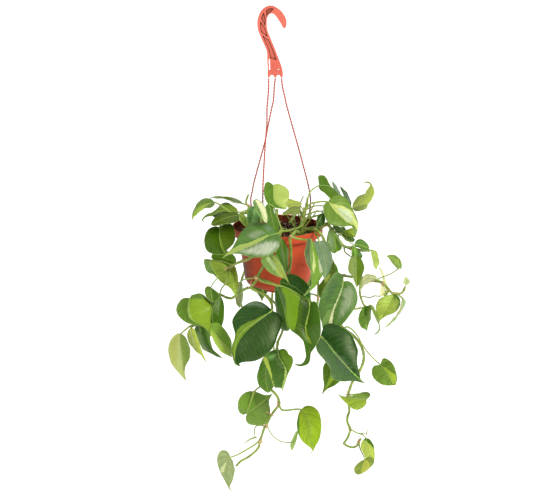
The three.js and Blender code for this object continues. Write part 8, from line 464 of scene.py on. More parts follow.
  'Q': [(48.8,-92,-640.3),(45.1,-99.8,-642),(43.6,-106.3,-645.3),(42.7,-112.2,-648.9),(42.1,-117.4,-652.8),(42,-121.9,-657.1),(42.2,-125.4,-661.7),(42.7,-128.3,-666.6),(44.5,-129.6,-671.8),(47.5,-129.1,-677.2),(51.2,-127.6,-682.6),(55.5,-125.5,-687.6),(60.1,-122.6,-692.6),(64.9,-119.7,-697.4),(67.8,-119,-702.6),(63.9,-122.8,-705.5),(59.1,-126.1,-707.5)],
  'bands': [],
  'pats': [[(299,413),(299.3,420),(299.3,430),(300,437),(297,436),(295.5,425),(297,414)]]},
 'L56': {'node': 'vine_bottom_left', 'face': 'U', 'L': 27.6, 'n': [0.553, -0.828, 0.092], 'cols': [(206, 235, 142)], 'kinds': [],
  'P': [(31.7,-88,-701.3),(32.3,-89.2,-699.2),(32.9,-89.2,-697.5),(33.5,-89.9,-695.5),(34.2,-89.8,-694),(34.9,-89.2,-692.6),(35.5,-88.5,-691.2),(36.2,-87.8,-689.9),(36.9,-86.9,-688.7),(37.7,-85.9,-687.5),(38.5,-84.8,-686.4),(39.4,-83.6,-685.4),(40.4,-81.9,-684.7),(41.5,-80,-684.1),(42.6,-78.3,-683.5),(43.7,-76.4,-683),(44.8,-74.2,-682.6)],
  'M': [(31.7,-88,-701.3),(33.6,-86.6,-700.7),(35.5,-85.2,-699.9),(36.9,-84,-698.5),(37.9,-83,-696.8),(38.8,-82,-695),(39.7,-81,-693.2),(40.6,-79.9,-691.4),(41.5,-78.8,-689.6),(42.3,-77.7,-687.9),(43.1,-76.6,-686.1),(44,-75.4,-684.3),(44.8,-74.2,-682.6)],
  'Q': [(31.7,-88,-701.3),(31.2,-89.7,-704.1),(31.1,-91.3,-707),(31.8,-92.3,-710),(33,-93,-713),(35.4,-91.4,-712.8),(37,-89.5,-710.5),(38.4,-87.6,-708),(39.6,-85.9,-705.5),(40.6,-84.3,-702.7),(41.6,-82.8,-699.9),(42.5,-81.4,-697.1),(43.3,-80,-694.2),(44,-78.5,-691.4),(44.5,-77,-688.5),(44.7,-75.7,-685.5),(44.8,-74.2,-682.6)],
  'bands': [],
  'pats': []},
 'L57': {'node': 'leaf_32', 'face': 'D', 'L': 62.0, 'n': [-0.181, 0.924, -0.338], 'cols': [(177, 186, 135), (228, 230, 179)], 'kinds': ['crisp'],
  'P': [(-68.7,-95,-724.9),(-70.2,-91.1,-720),(-74.3,-88.2,-716.1),(-80.4,-87.1,-714.9),(-86.1,-88,-717.3),(-89.4,-90.3,-722),(-90.8,-93.2,-727.4),(-90.6,-96.3,-732.9),(-89.3,-99.3,-738.2),(-87.3,-102.4,-743.4),(-84.9,-105.2,-748.5),(-82,-107.8,-753.4),(-78.9,-110.2,-758.2),(-75.6,-112.5,-763.1),(-72.7,-115.1,-768),(-69.3,-117.5,-772.7),(-63.9,-118.5,-775.6)],
  'M': [(-68.7,-95,-724.9),(-71.5,-97,-728.8),(-74,-99.1,-732.8),(-75.9,-101.2,-737.1),(-77.1,-103.5,-741.6),(-77.3,-105.6,-746.2),(-76.6,-107.7,-750.9),(-75.6,-109.8,-755.5),(-74.3,-111.9,-760),(-72.8,-114,-764.5),(-71,-116.1,-768.9),(-68.3,-117.8,-772.9),(-63.9,-118.5,-775.6)],
  'Q': [(-68.7,-95,-724.9),(-66,-93.5,-728.6),(-64.3,-92.6,-732.8),(-63.6,-92.7,-736.9),(-62.7,-92.6,-741.1),(-61.9,-92.8,-745.1),(-61.5,-93.6,-749),(-61.7,-95.5,-752.3),(-62.3,-97.9,-755.5),(-63.1,-100.5,-758.4),(-64.2,-103.5,-761.1),(-65.6,-106.6,-763.6),(-67.3,-109.9,-765.9),(-69,-113.3,-768),(-69.3,-115.4,-771),(-66.9,-117,-773.6),(-63.9,-118.5,-775.6)],
  'bands': [],
  'pats': [[(229,459),(225,463),(221,468),(220,473),(224,472),(226,466)]]},
 'L59': {'node': 'leaf_29', 'face': 'U', 'L': 50.7, 'n': [0.128, -0.543, 0.83], 'cols': [(158, 184, 56), (123, 152, 66)], 'kinds': ['crisp'],
  'P': [(156.4,-84,-626.7),(160.1,-80.8,-625.1),(163.3,-77,-623),(163.8,-72.7,-620.2),(160.4,-70.6,-618.3),(156,-70.2,-617.4),(151.5,-71.1,-617.4),(147.2,-73,-618.1),(143,-75.3,-619.2),(138.8,-77.3,-620.3),(134.5,-79,-621.1),(130.1,-80.2,-621.8),(125.6,-80.5,-622),(121.2,-80.2,-621.9),(116.8,-79.1,-621.3),(112.9,-77,-620.2),(109.6,-73.8,-618.4)],
  'M': [(156.4,-84,-626.7),(152.3,-84.2,-626.3),(148.1,-84.3,-625.8),(144,-84.4,-625.4),(139.9,-84.3,-625.1),(135.8,-84.2,-624.7),(131.7,-83.9,-624.4),(127.6,-83.3,-623.9),(123.6,-82.6,-623.4),(119.7,-81.3,-622.6),(116,-79.3,-621.5),(112.8,-76.6,-619.9),(109.6,-73.8,-618.4)],
  'Q': [(156.4,-84,-626.7),(157.5,-88.4,-629.4),(155.4,-93,-631.7),(152.4,-97.1,-633.6),(148.8,-100.5,-635.1),(144.7,-102.8,-636),(140.3,-103.8,-636.1),(136,-103.5,-635.6),(132.3,-101.5,-634.3),(129.3,-98.3,-632.4),(126,-95.4,-630.6),(122.6,-92.6,-629),(119.5,-89.3,-627.1),(116.8,-85.7,-625.1),(114.1,-81.9,-623),(111.8,-77.9,-620.7),(109.6,-73.8,-618.4)],
  'bands': [],
  'pats': [[(366.5,400),(358,399.6),(350,399),(343,397.2),(337.5,393),(345,392),(360,389),(372,390),(372,397)]]},
 'L60a': {'node': 'vine_right_down', 'face': 'U', 'L': 44.2, 'n': [0.592, -0.617, 0.518], 'cols': [(185, 203, 83), (71, 110, 14)], 'kinds': ['crisp'],
  'P': [(158.8,-62.6,-703.8),(155.8,-67,-703.8),(153,-71.2,-704.3),(150.8,-75.2,-705.4),(149.6,-78.6,-707.2),(149.3,-81,-709.7),(149.7,-82.7,-712.4),(150.5,-83.9,-715.3),(151.7,-84.7,-718.3),(153.1,-85.2,-721.3),(154.4,-85.6,-724.3),(155.8,-85.8,-727.4),(157.7,-85.5,-730.6),(159.8,-84.5,-733.7),(162.2,-83.4,-736.8),(164.7,-82.1,-739.9),(167.1,-80.8,-743.1)],
  'M': [(158.8,-62.6,-703.8),(159.5,-64.5,-706.9),(160.2,-66.3,-710),(160.9,-68.1,-713.2),(161.7,-69.7,-716.4),(162.6,-71.1,-719.7),(163.5,-72.5,-723),(164.4,-73.8,-726.3),(165.1,-75.2,-729.6),(165.6,-76.7,-732.9),(166.1,-78.1,-736.3),(166.6,-79.5,-739.7),(167.1,-80.8,-743.1)],
  'Q': [(158.8,-62.6,-703.8),(162.2,-60.2,-705.4),(165.4,-58.6,-707.5),(167.8,-58.2,-710.2),(169.8,-58.4,-713.1),(171.3,-59.1,-716),(172.4,-60.2,-718.9),(173.2,-61.4,-721.8),(173.9,-62.8,-724.7),(174.2,-64.4,-727.6),(174.4,-66.1,-730.4),(174.3,-67.9,-733.2),(174.2,-69.7,-736),(173.5,-71.9,-738.6),(171.9,-74.6,-740.6),(169.5,-77.7,-741.9),(167.1,-80.8,-743.1)],
  'bands': [],
  'pats': [[(363,440),(366,441),(370,444.5),(374.5,449),(376,444),(371,437),(364,436)]]},
 'L60b': {'node': 'vine_right_down', 'face': 'U', 'L': 33.3, 'n': [0.3, -0.557, 0.774], 'cols': [(134, 153, 66), (178, 183, 74)], 'kinds': ['crisp'],
  'P': [(156.2,-89.4,-730.1),(153.8,-91.9,-730.1),(151.5,-94.4,-730.2),(149.2,-96.9,-730.3),(146.9,-99.4,-730.7),(144.8,-101.8,-731.1),(142.8,-104.2,-731.8),(140.9,-106.6,-732.6),(139.3,-108.9,-733.6),(137.9,-111.1,-734.9),(137,-113.1,-736.5),(136.7,-114.8,-738.4),(137,-116.1,-740.4),(137.9,-117,-742.5),(139.4,-117.3,-744.4),(141.7,-116.6,-745.8),(144.1,-115.4,-746.9)],
  'M': [(156.2,-89.4,-730.1),(155.5,-91.8,-731.5),(154.7,-94.1,-733),(153.9,-96.4,-734.4),(153,-98.7,-735.8),(151.9,-100.9,-737.2),(150.8,-103.1,-738.5),(149.7,-105.2,-739.9),(148.6,-107.3,-741.3),(147.5,-109.4,-742.7),(146.3,-111.4,-744.1),(145.2,-113.4,-745.5),(144.1,-115.4,-746.9)],
  'Q': [(156.2,-89.4,-730.1),(159.3,-87.7,-728.7),(162.7,-86.4,-727.8),(166.3,-86,-727.8),(169.4,-87,-729),(171.6,-89.3,-730.9),(171.7,-92.6,-733.3),(170.5,-96.1,-735.4),(168.2,-99.2,-737.2),(165.7,-102,-738.8),(163,-104.6,-740.4),(160.2,-107.1,-741.8),(157.3,-109.4,-743.1),(154.2,-111.4,-744.4),(151,-113.1,-745.5),(147.6,-114.4,-746.3),(144.1,-115.4,-746.9)],
  'bands': [],
  'pats': [[(364.5,459),(362,466),(360.5,471),(361.5,474),(369,469.5),(370,464),(368,461)]]},
 'L16b': {'node': 'leaf_14', 'face': 'U', 'L': 77.5, 'n': [-0.752, -0.625, 0.209], 'cols': [(58, 106, 17)], 'kinds': [],
  'P': [(7.2,-103,-422.6),(5.3,-100.6,-428.4),(5,-101.1,-433.8),(5.4,-102.2,-438.9),(5.8,-103.3,-444.1),(6.1,-104.5,-449.2),(6.6,-105.8,-454.4),(7.2,-107.2,-459.4),(7.9,-108.8,-464.4),(8.7,-110.5,-469.3),(9.7,-112.4,-474.1),(10.8,-114.3,-478.9),(12,-116.3,-483.6),(13.9,-119.2,-487.8),(17.1,-123.8,-490.7),(21.9,-130.3,-490.1),(27.1,-137.5,-487.7)],
  'M': [(7.2,-103,-422.6),(9.7,-107.5,-427.2),(12.2,-111.8,-431.9),(14.4,-115.6,-436.9),(16.2,-119,-442.1),(17.9,-122.1,-447.5),(19.5,-125,-453),(20.8,-127.4,-458.6),(22,-129.7,-464.4),(23.2,-131.8,-470.2),(24.5,-133.8,-476),(25.8,-135.7,-481.8),(27.1,-137.5,-487.7)],
  'Q': [(7.2,-103,-422.6),(12.5,-111.6,-421.3),(17.4,-119.8,-421.1),(21.9,-127.2,-421.8),(25.9,-133.8,-423.5),(28.9,-139,-426.5),(31.2,-142.9,-430.4),(32.7,-145.8,-434.9),(33.6,-147.4,-439.9),(33.9,-148.1,-445.4),(33.9,-148.4,-450.9),(33.6,-148.1,-456.7),(33,-147.1,-462.7),(32.1,-145.6,-468.8),(30.9,-143.8,-474.9),(29.4,-141.6,-481.2),(27.1,-137.5,-487.7)],
  'bands': [],
  'pats': []},
 'B1': {'node': 'leaf_33', 'face': 'D', 'L': 57.2, 'n': [-0.165, 0.917, -0.363], 'cols': [(88, 136, 52), (158, 188, 66)], 'kinds': ['crisp'],
  'P': [(-37.7,124,-405.6),(-41.4,126.5,-401.9),(-46.1,128.4,-399.2),(-51.6,128.9,-399.1),(-56,127.7,-402.3),(-58.5,126,-407.1),(-59.3,124.1,-412.4),(-58.7,121.9,-417.6),(-57.3,119.6,-422.6),(-55.2,117.1,-427.4),(-52.7,114.6,-431.9),(-49.7,112,-436.2),(-46.4,109.5,-440.2),(-42.9,106.9,-444.1),(-39.4,104.2,-448),(-36.3,101.4,-452),(-34,98.3,-456.5)],
  'M': [(-37.7,124,-405.6),(-37.4,122.3,-410),(-37.1,120.5,-414.4),(-36.8,118.6,-418.7),(-36.5,116.7,-423),(-36.2,114.6,-427.3),(-35.9,112.5,-431.5),(-35.6,110.4,-435.8),(-35.3,108.1,-440),(-35,105.8,-444.1),(-34.6,103.4,-448.3),(-34.3,100.9,-452.4),(-34,98.3,-456.5)],
  'Q': [(-37.7,124,-405.6),(-34.5,127.5,-401.8),(-30.4,130.9,-398.8),(-24.9,133.2,-398.5),(-20.1,133.6,-401.6),(-17,132.8,-406.2),(-15.5,131.2,-411.5),(-15.4,129,-416.7),(-16.1,126.3,-421.8),(-17.4,123.3,-426.7),(-19.3,120,-431.3),(-21.6,116.6,-435.7),(-24.3,113.1,-439.8),(-27.1,109.5,-443.9),(-30,105.8,-447.8),(-32.5,102,-452),(-34,98.3,-456.5)],
  'bands': [(4.9, 1.1, 1.1)],
  'pats': []},
 'B2': {'node': 'leaf_39', 'face': 'D', 'L': 49.7, 'n': [0.122, 0.924, -0.364], 'cols': [(58, 98, 30), (140, 176, 56)], 'kinds': ['crisp'],
  'P': [(-41.4,97.8,-544.6),(-44.3,101.1,-541.6),(-48,104,-539.5),(-52.7,105.7,-540),(-56.2,105.5,-543.4),(-58,104.5,-547.8),(-58.5,103,-552.3),(-58.1,101,-556.7),(-57,98.7,-560.9),(-55.5,96.1,-564.8),(-53.6,93.4,-568.6),(-51.3,90.5,-572.1),(-48.8,87.6,-575.4),(-46.2,84.5,-578.6),(-43.5,81.4,-581.7),(-41.1,78.3,-585.1),(-39.5,75.3,-588.8)],
  'M': [(-41.4,97.8,-544.6),(-41.2,96.3,-548.4),(-41.1,94.7,-552.2),(-40.9,93,-555.9),(-40.8,91.3,-559.7),(-40.6,89.5,-563.4),(-40.5,87.6,-567.1),(-40.3,85.7,-570.8),(-40.1,83.7,-574.4),(-40,81.7,-578),(-39.8,79.6,-581.6),(-39.6,77.5,-585.2),(-39.5,75.3,-588.8)],
  'Q': [(-41.4,97.8,-544.6),(-38.8,100.5,-541.2),(-35.4,102.7,-538.5),(-30.7,103.5,-538.5),(-27.1,102.5,-541.3),(-25,101.2,-545.4),(-24.1,99.5,-549.8),(-24.2,97.5,-554.2),(-24.9,95.4,-558.5),(-26,93.1,-562.7),(-27.5,90.8,-566.7),(-29.4,88.3,-570.5),(-31.6,85.8,-574.1),(-33.9,83.3,-577.7),(-36.2,80.7,-581.2),(-38.2,78,-584.9),(-39.5,75.3,-588.8)],
  'bands': [(4.2, 1.0, 1.0)],
  'pats': []},
 'B3': {'node': 'leaf_36', 'face': 'D', 'L': 77.5, 'n': [-0.002, 0.805, -0.594], 'cols': [(72, 116, 58), (166, 196, 84)], 'kinds': ['crisp'],
  'P': [(-16.7,125,-449.8),(-21.6,130.4,-445.6),(-27.5,135,-442.4),(-34.7,137.3,-442.1),(-41.2,136.3,-445.2),(-45.4,133.3,-450.6),(-47.4,129.3,-456.7),(-47.2,124.4,-462.9),(-45.6,119.1,-468.8),(-43.2,113.6,-474.4),(-40.1,108,-479.6),(-36.3,102.4,-484.4),(-32.1,96.7,-488.9),(-27.7,91,-493.3),(-23.2,85.3,-497.5),(-19.2,79.3,-502),(-16.5,73,-507)],
  'M': [(-16.7,125,-449.8),(-16.7,121.2,-454.8),(-16.7,117.3,-459.7),(-16.7,113.3,-464.7),(-16.7,109.3,-469.5),(-16.6,105.1,-474.4),(-16.6,100.8,-479.2),(-16.6,96.4,-483.9),(-16.6,91.9,-488.6),(-16.6,87.3,-493.3),(-16.6,82.6,-497.9),(-16.5,77.8,-502.5),(-16.5,73,-507)],
  'Q': [(-16.7,125,-449.8),(-12,130.5,-445.6),(-6.1,135.1,-442.4),(1.1,137.4,-442.1),(7.6,136.4,-445.3),(11.8,133.4,-450.6),(13.8,129.4,-456.8),(13.7,124.6,-462.9),(12.2,119.3,-468.9),(9.8,113.8,-474.4),(6.7,108.1,-479.6),(3,102.5,-484.4),(-1.2,96.8,-489),(-5.5,91.1,-493.3),(-9.9,85.3,-497.5),(-13.9,79.3,-502),(-16.5,73,-507)],
  'bands': [(6.6, 1.5, 1.5)],
  'pats': []},
 'B4': {'node': 'leaf_34', 'face': 'D', 'L': 74.3, 'n': [0.092, 0.807, -0.583], 'cols': [(92, 140, 52), (170, 198, 90)], 'kinds': ['crisp'],
  'P': [(23.8,126.9,-432),(18.6,132.1,-428.6),(12.5,136.6,-426.4),(5.5,138.8,-427),(-0.2,137.9,-430.9),(-3.5,135.1,-436.5),(-4.5,131.3,-442.6),(-3.5,126.7,-448.5),(-1.2,121.6,-453.9),(1.9,116.4,-458.9),(5.7,111,-463.5),(10,105.6,-467.6),(14.7,100.1,-471.3),(19.5,94.6,-474.9),(24.4,89.1,-478.3),(28.8,83.4,-482.1),(32.1,77.2,-486.5)],
  'M': [(23.8,126.9,-432),(24.5,123.3,-436.7),(25.2,119.6,-441.5),(25.9,115.8,-446.1),(26.6,111.9,-450.8),(27.3,107.9,-455.4),(28,103.8,-460),(28.7,99.6,-464.5),(29.4,95.3,-469),(30.1,91,-473.4),(30.8,86.5,-477.8),(31.4,81.9,-482.2),(32.1,77.2,-486.5)],
  'Q': [(23.8,126.9,-432),(27.6,132.1,-427.4),(32.7,136.4,-423.6),(39.4,138.5,-422.3),(46,137.5,-424.4),(50.7,134.7,-428.9),(53.5,130.9,-434.5),(54.2,126.2,-440.4),(53.6,121.2,-446.3),(52.2,115.9,-451.9),(50,110.6,-457.3),(47.2,105.2,-462.4),(43.9,99.8,-467.2),(40.5,94.4,-471.9),(36.9,89,-476.6),(33.9,83.3,-481.3),(32.1,77.2,-486.5)],
  'bands': [(6.3, 1.5, 1.5)],
  'pats': []},
 'B5': {'node': 'leaf_35', 'face': 'D', 'L': 63.3, 'n': [0.134, 0.858, -0.497], 'cols': [(60, 102, 32), (148, 184, 62)], 'kinds': ['crisp'],
  'P': [(70.8,109,-437.8),(67.9,113.5,-433.5),(63.8,117.7,-430),(58,120.6,-429),(52.3,121,-431.4),(48.1,119.7,-435.7),(45.6,117.4,-440.9),(44.7,114.1,-446.3),(44.8,110.4,-451.7),(45.6,106.3,-456.9),(47,102,-461.8),(49,97.4,-466.5),(51.4,92.8,-471.1),(54,88.1,-475.4),(56.6,83.3,-479.7),(58.8,78.4,-484.2),(59.8,73.5,-488.9)],
  'M': [(70.8,109,-437.8),(69.9,106.5,-442.2),(69,103.9,-446.6),(68.1,101.3,-451),(67.2,98.5,-455.4),(66.3,95.7,-459.7),(65.3,92.8,-464),(64.4,89.8,-468.2),(63.5,86.7,-472.4),(62.6,83.5,-476.6),(61.7,80.3,-480.8),(60.8,77,-484.9),(59.8,73.5,-488.9)],
  'Q': [(70.8,109,-437.8),(75.6,112.1,-434.5),(81.1,114.4,-432.3),(87.2,114.8,-432.8),(91.8,113.1,-436.4),(94.1,110.6,-441.6),(94.5,107.7,-447.1),(93.2,104.5,-452.5),(90.9,101.2,-457.5),(87.9,97.9,-462.2),(84.4,94.5,-466.5),(80.4,91.2,-470.4),(76.1,87.9,-474.1),(71.7,84.5,-477.6),(67.2,81.2,-481),(63,77.6,-484.7),(59.8,73.5,-488.9)],
  'bands': [(5.4, 1.3, 1.3)],
  'pats': []},
 'B6': {'node': 'leaf_37', 'face': 'D', 'L': 64.0, 'n': [0.076, 0.878, -0.472], 'cols': [(88, 136, 54), (176, 202, 104)], 'kinds': ['crisp'],
  'P': [(46.8,112,-515.8),(42.7,116.2,-512.3),(37.7,119.9,-509.7),(31.6,121.8,-510.1),(26.7,121.2,-513.8),(24,119.3,-519),(23,116.7,-524.7),(23.6,113.5,-530.1),(25.1,109.9,-535.3),(27.3,106,-540.2),(30,102,-544.7),(33.2,98,-548.9),(36.8,93.8,-552.9),(40.5,89.6,-556.7),(44.2,85.3,-560.4),(47.6,80.9,-564.3),(49.9,76.4,-568.8)],
  'M': [(46.8,112,-515.8),(47,109.5,-520.4),(47.3,106.8,-525),(47.6,104.2,-529.5),(47.9,101.4,-534),(48.1,98.5,-538.5),(48.4,95.6,-542.9),(48.6,92.6,-547.3),(48.9,89.5,-551.6),(49.2,86.3,-556),(49.4,83.1,-560.3),(49.7,79.8,-564.5),(49.9,76.4,-568.8)],
  'Q': [(46.8,112,-515.8),(50.4,115.9,-511.7),(55,119.2,-508.5),(61.1,120.6,-507.9),(66.4,119.6,-510.9),(69.8,117.5,-515.7),(71.4,114.8,-521.1),(71.4,111.5,-526.6),(70.5,108,-532),(69,104.3,-537.1),(66.8,100.6,-542),(64.1,96.7,-546.7),(61.1,92.8,-551.1),(57.9,88.9,-555.4),(54.6,84.9,-559.6),(51.7,80.7,-564),(49.9,76.4,-568.8)],
  'bands': [(5.4, 1.3, 1.3)],
  'pats': []},
 'B7': {'node': 'leaf_38', 'face': 'D', 'L': 53.9, 'n': [-0.096, 0.906, -0.413], 'cols': [(84, 130, 50), (160, 190, 74)], 'kinds': ['crisp'],
  'P': [(-23.9,106.2,-543.6),(-26.5,109.4,-540),(-30.2,112.2,-537.2),(-35.2,113.2,-537),(-39.2,112.2,-540),(-41.6,110.6,-544.3),(-42.7,108.6,-548.9),(-42.8,106.2,-553.6),(-42.1,103.6,-558.1),(-41,100.8,-562.5),(-39.5,98,-566.7),(-37.6,95,-570.8),(-35.3,92,-574.7),(-33,88.9,-578.5),(-30.5,85.8,-582.2),(-28.5,82.6,-586.1),(-27.2,79.3,-590.2)],
  'M': [(-23.9,106.2,-543.6),(-24.1,104.2,-547.6),(-24.4,102.3,-551.6),(-24.7,100.3,-555.6),(-25,98.2,-559.5),(-25.3,96,-563.5),(-25.6,93.8,-567.4),(-25.8,91.6,-571.2),(-26.1,89.2,-575.1),(-26.4,86.8,-578.9),(-26.7,84.4,-582.7),(-27,81.9,-586.5),(-27.2,79.3,-590.2)],
  'Q': [(-23.9,106.2,-543.6),(-20.7,109.8,-540.6),(-16.6,113.1,-538.4),(-11.6,114.7,-539.1),(-8,114.2,-542.8),(-6.2,112.8,-547.5),(-5.8,110.9,-552.3),(-6.4,108.5,-556.9),(-7.7,105.8,-561.3),(-9.4,102.8,-565.4),(-11.6,99.7,-569.3),(-14.1,96.5,-572.9),(-16.9,93.1,-576.4),(-19.8,89.7,-579.7),(-22.8,86.3,-582.9),(-25.4,82.8,-586.4),(-27.2,79.3,-590.2)],
  'bands': [(4.6, 1.1, 1.1)],
  'pats': []},
 'L04b': {'node': 'vine_left_upper', 'face': 'U', 'L': 48.9, 'n': [-0.228, -0.409, 0.883], 'cols': [(81, 107, 17)], 'kinds': [],
  'P': [(-52.5,-55.4,-318.9),(-54.5,-49.5,-317.2),(-57.5,-45.2,-316.4),(-61.2,-43.1,-316.5),(-64.8,-41.6,-317),(-68.4,-40.2,-317.6),(-72.1,-38.9,-318.3),(-75.7,-37.9,-319.2),(-79.2,-37.2,-320.2),(-82.6,-37,-321.5),(-86,-37.1,-322.9),(-89.2,-37.7,-324.4),(-92.1,-38.8,-326.2),(-94.6,-41,-328.3),(-96.5,-44.3,-330.5),(-97.5,-48.8,-332.8),(-98,-53.9,-335.1)],
  'M': [(-52.5,-55.4,-318.9),(-56.5,-54.6,-319.6),(-60.5,-53.8,-320.3),(-64.5,-53.2,-321.2),(-68.5,-52.8,-322.3),(-72.3,-52.5,-323.6),(-76.1,-52.5,-324.9),(-79.9,-52.6,-326.4),(-83.6,-52.9,-328.1),(-87.2,-53.1,-329.7),(-90.8,-53.4,-331.5),(-94.4,-53.7,-333.3),(-98,-53.9,-335.1)],
  'Q': [(-52.5,-55.4,-318.9),(-51.1,-61.9,-320.5),(-51.1,-67.9,-322.3),(-53.7,-70.8,-323.9),(-56.7,-72.4,-325.1),(-60,-73.1,-326.2),(-63.3,-72.7,-327),(-66.8,-72,-327.9),(-70.2,-71.1,-328.8),(-73.7,-69.8,-329.6),(-77.1,-68.5,-330.6),(-80.6,-67.2,-331.6),(-84,-65.8,-332.6),(-87.5,-64.2,-333.6),(-91,-62.3,-334.6),(-94.6,-58.9,-335.1),(-98,-53.9,-335.1)],
  'bands': [],
  'pats': []},
}
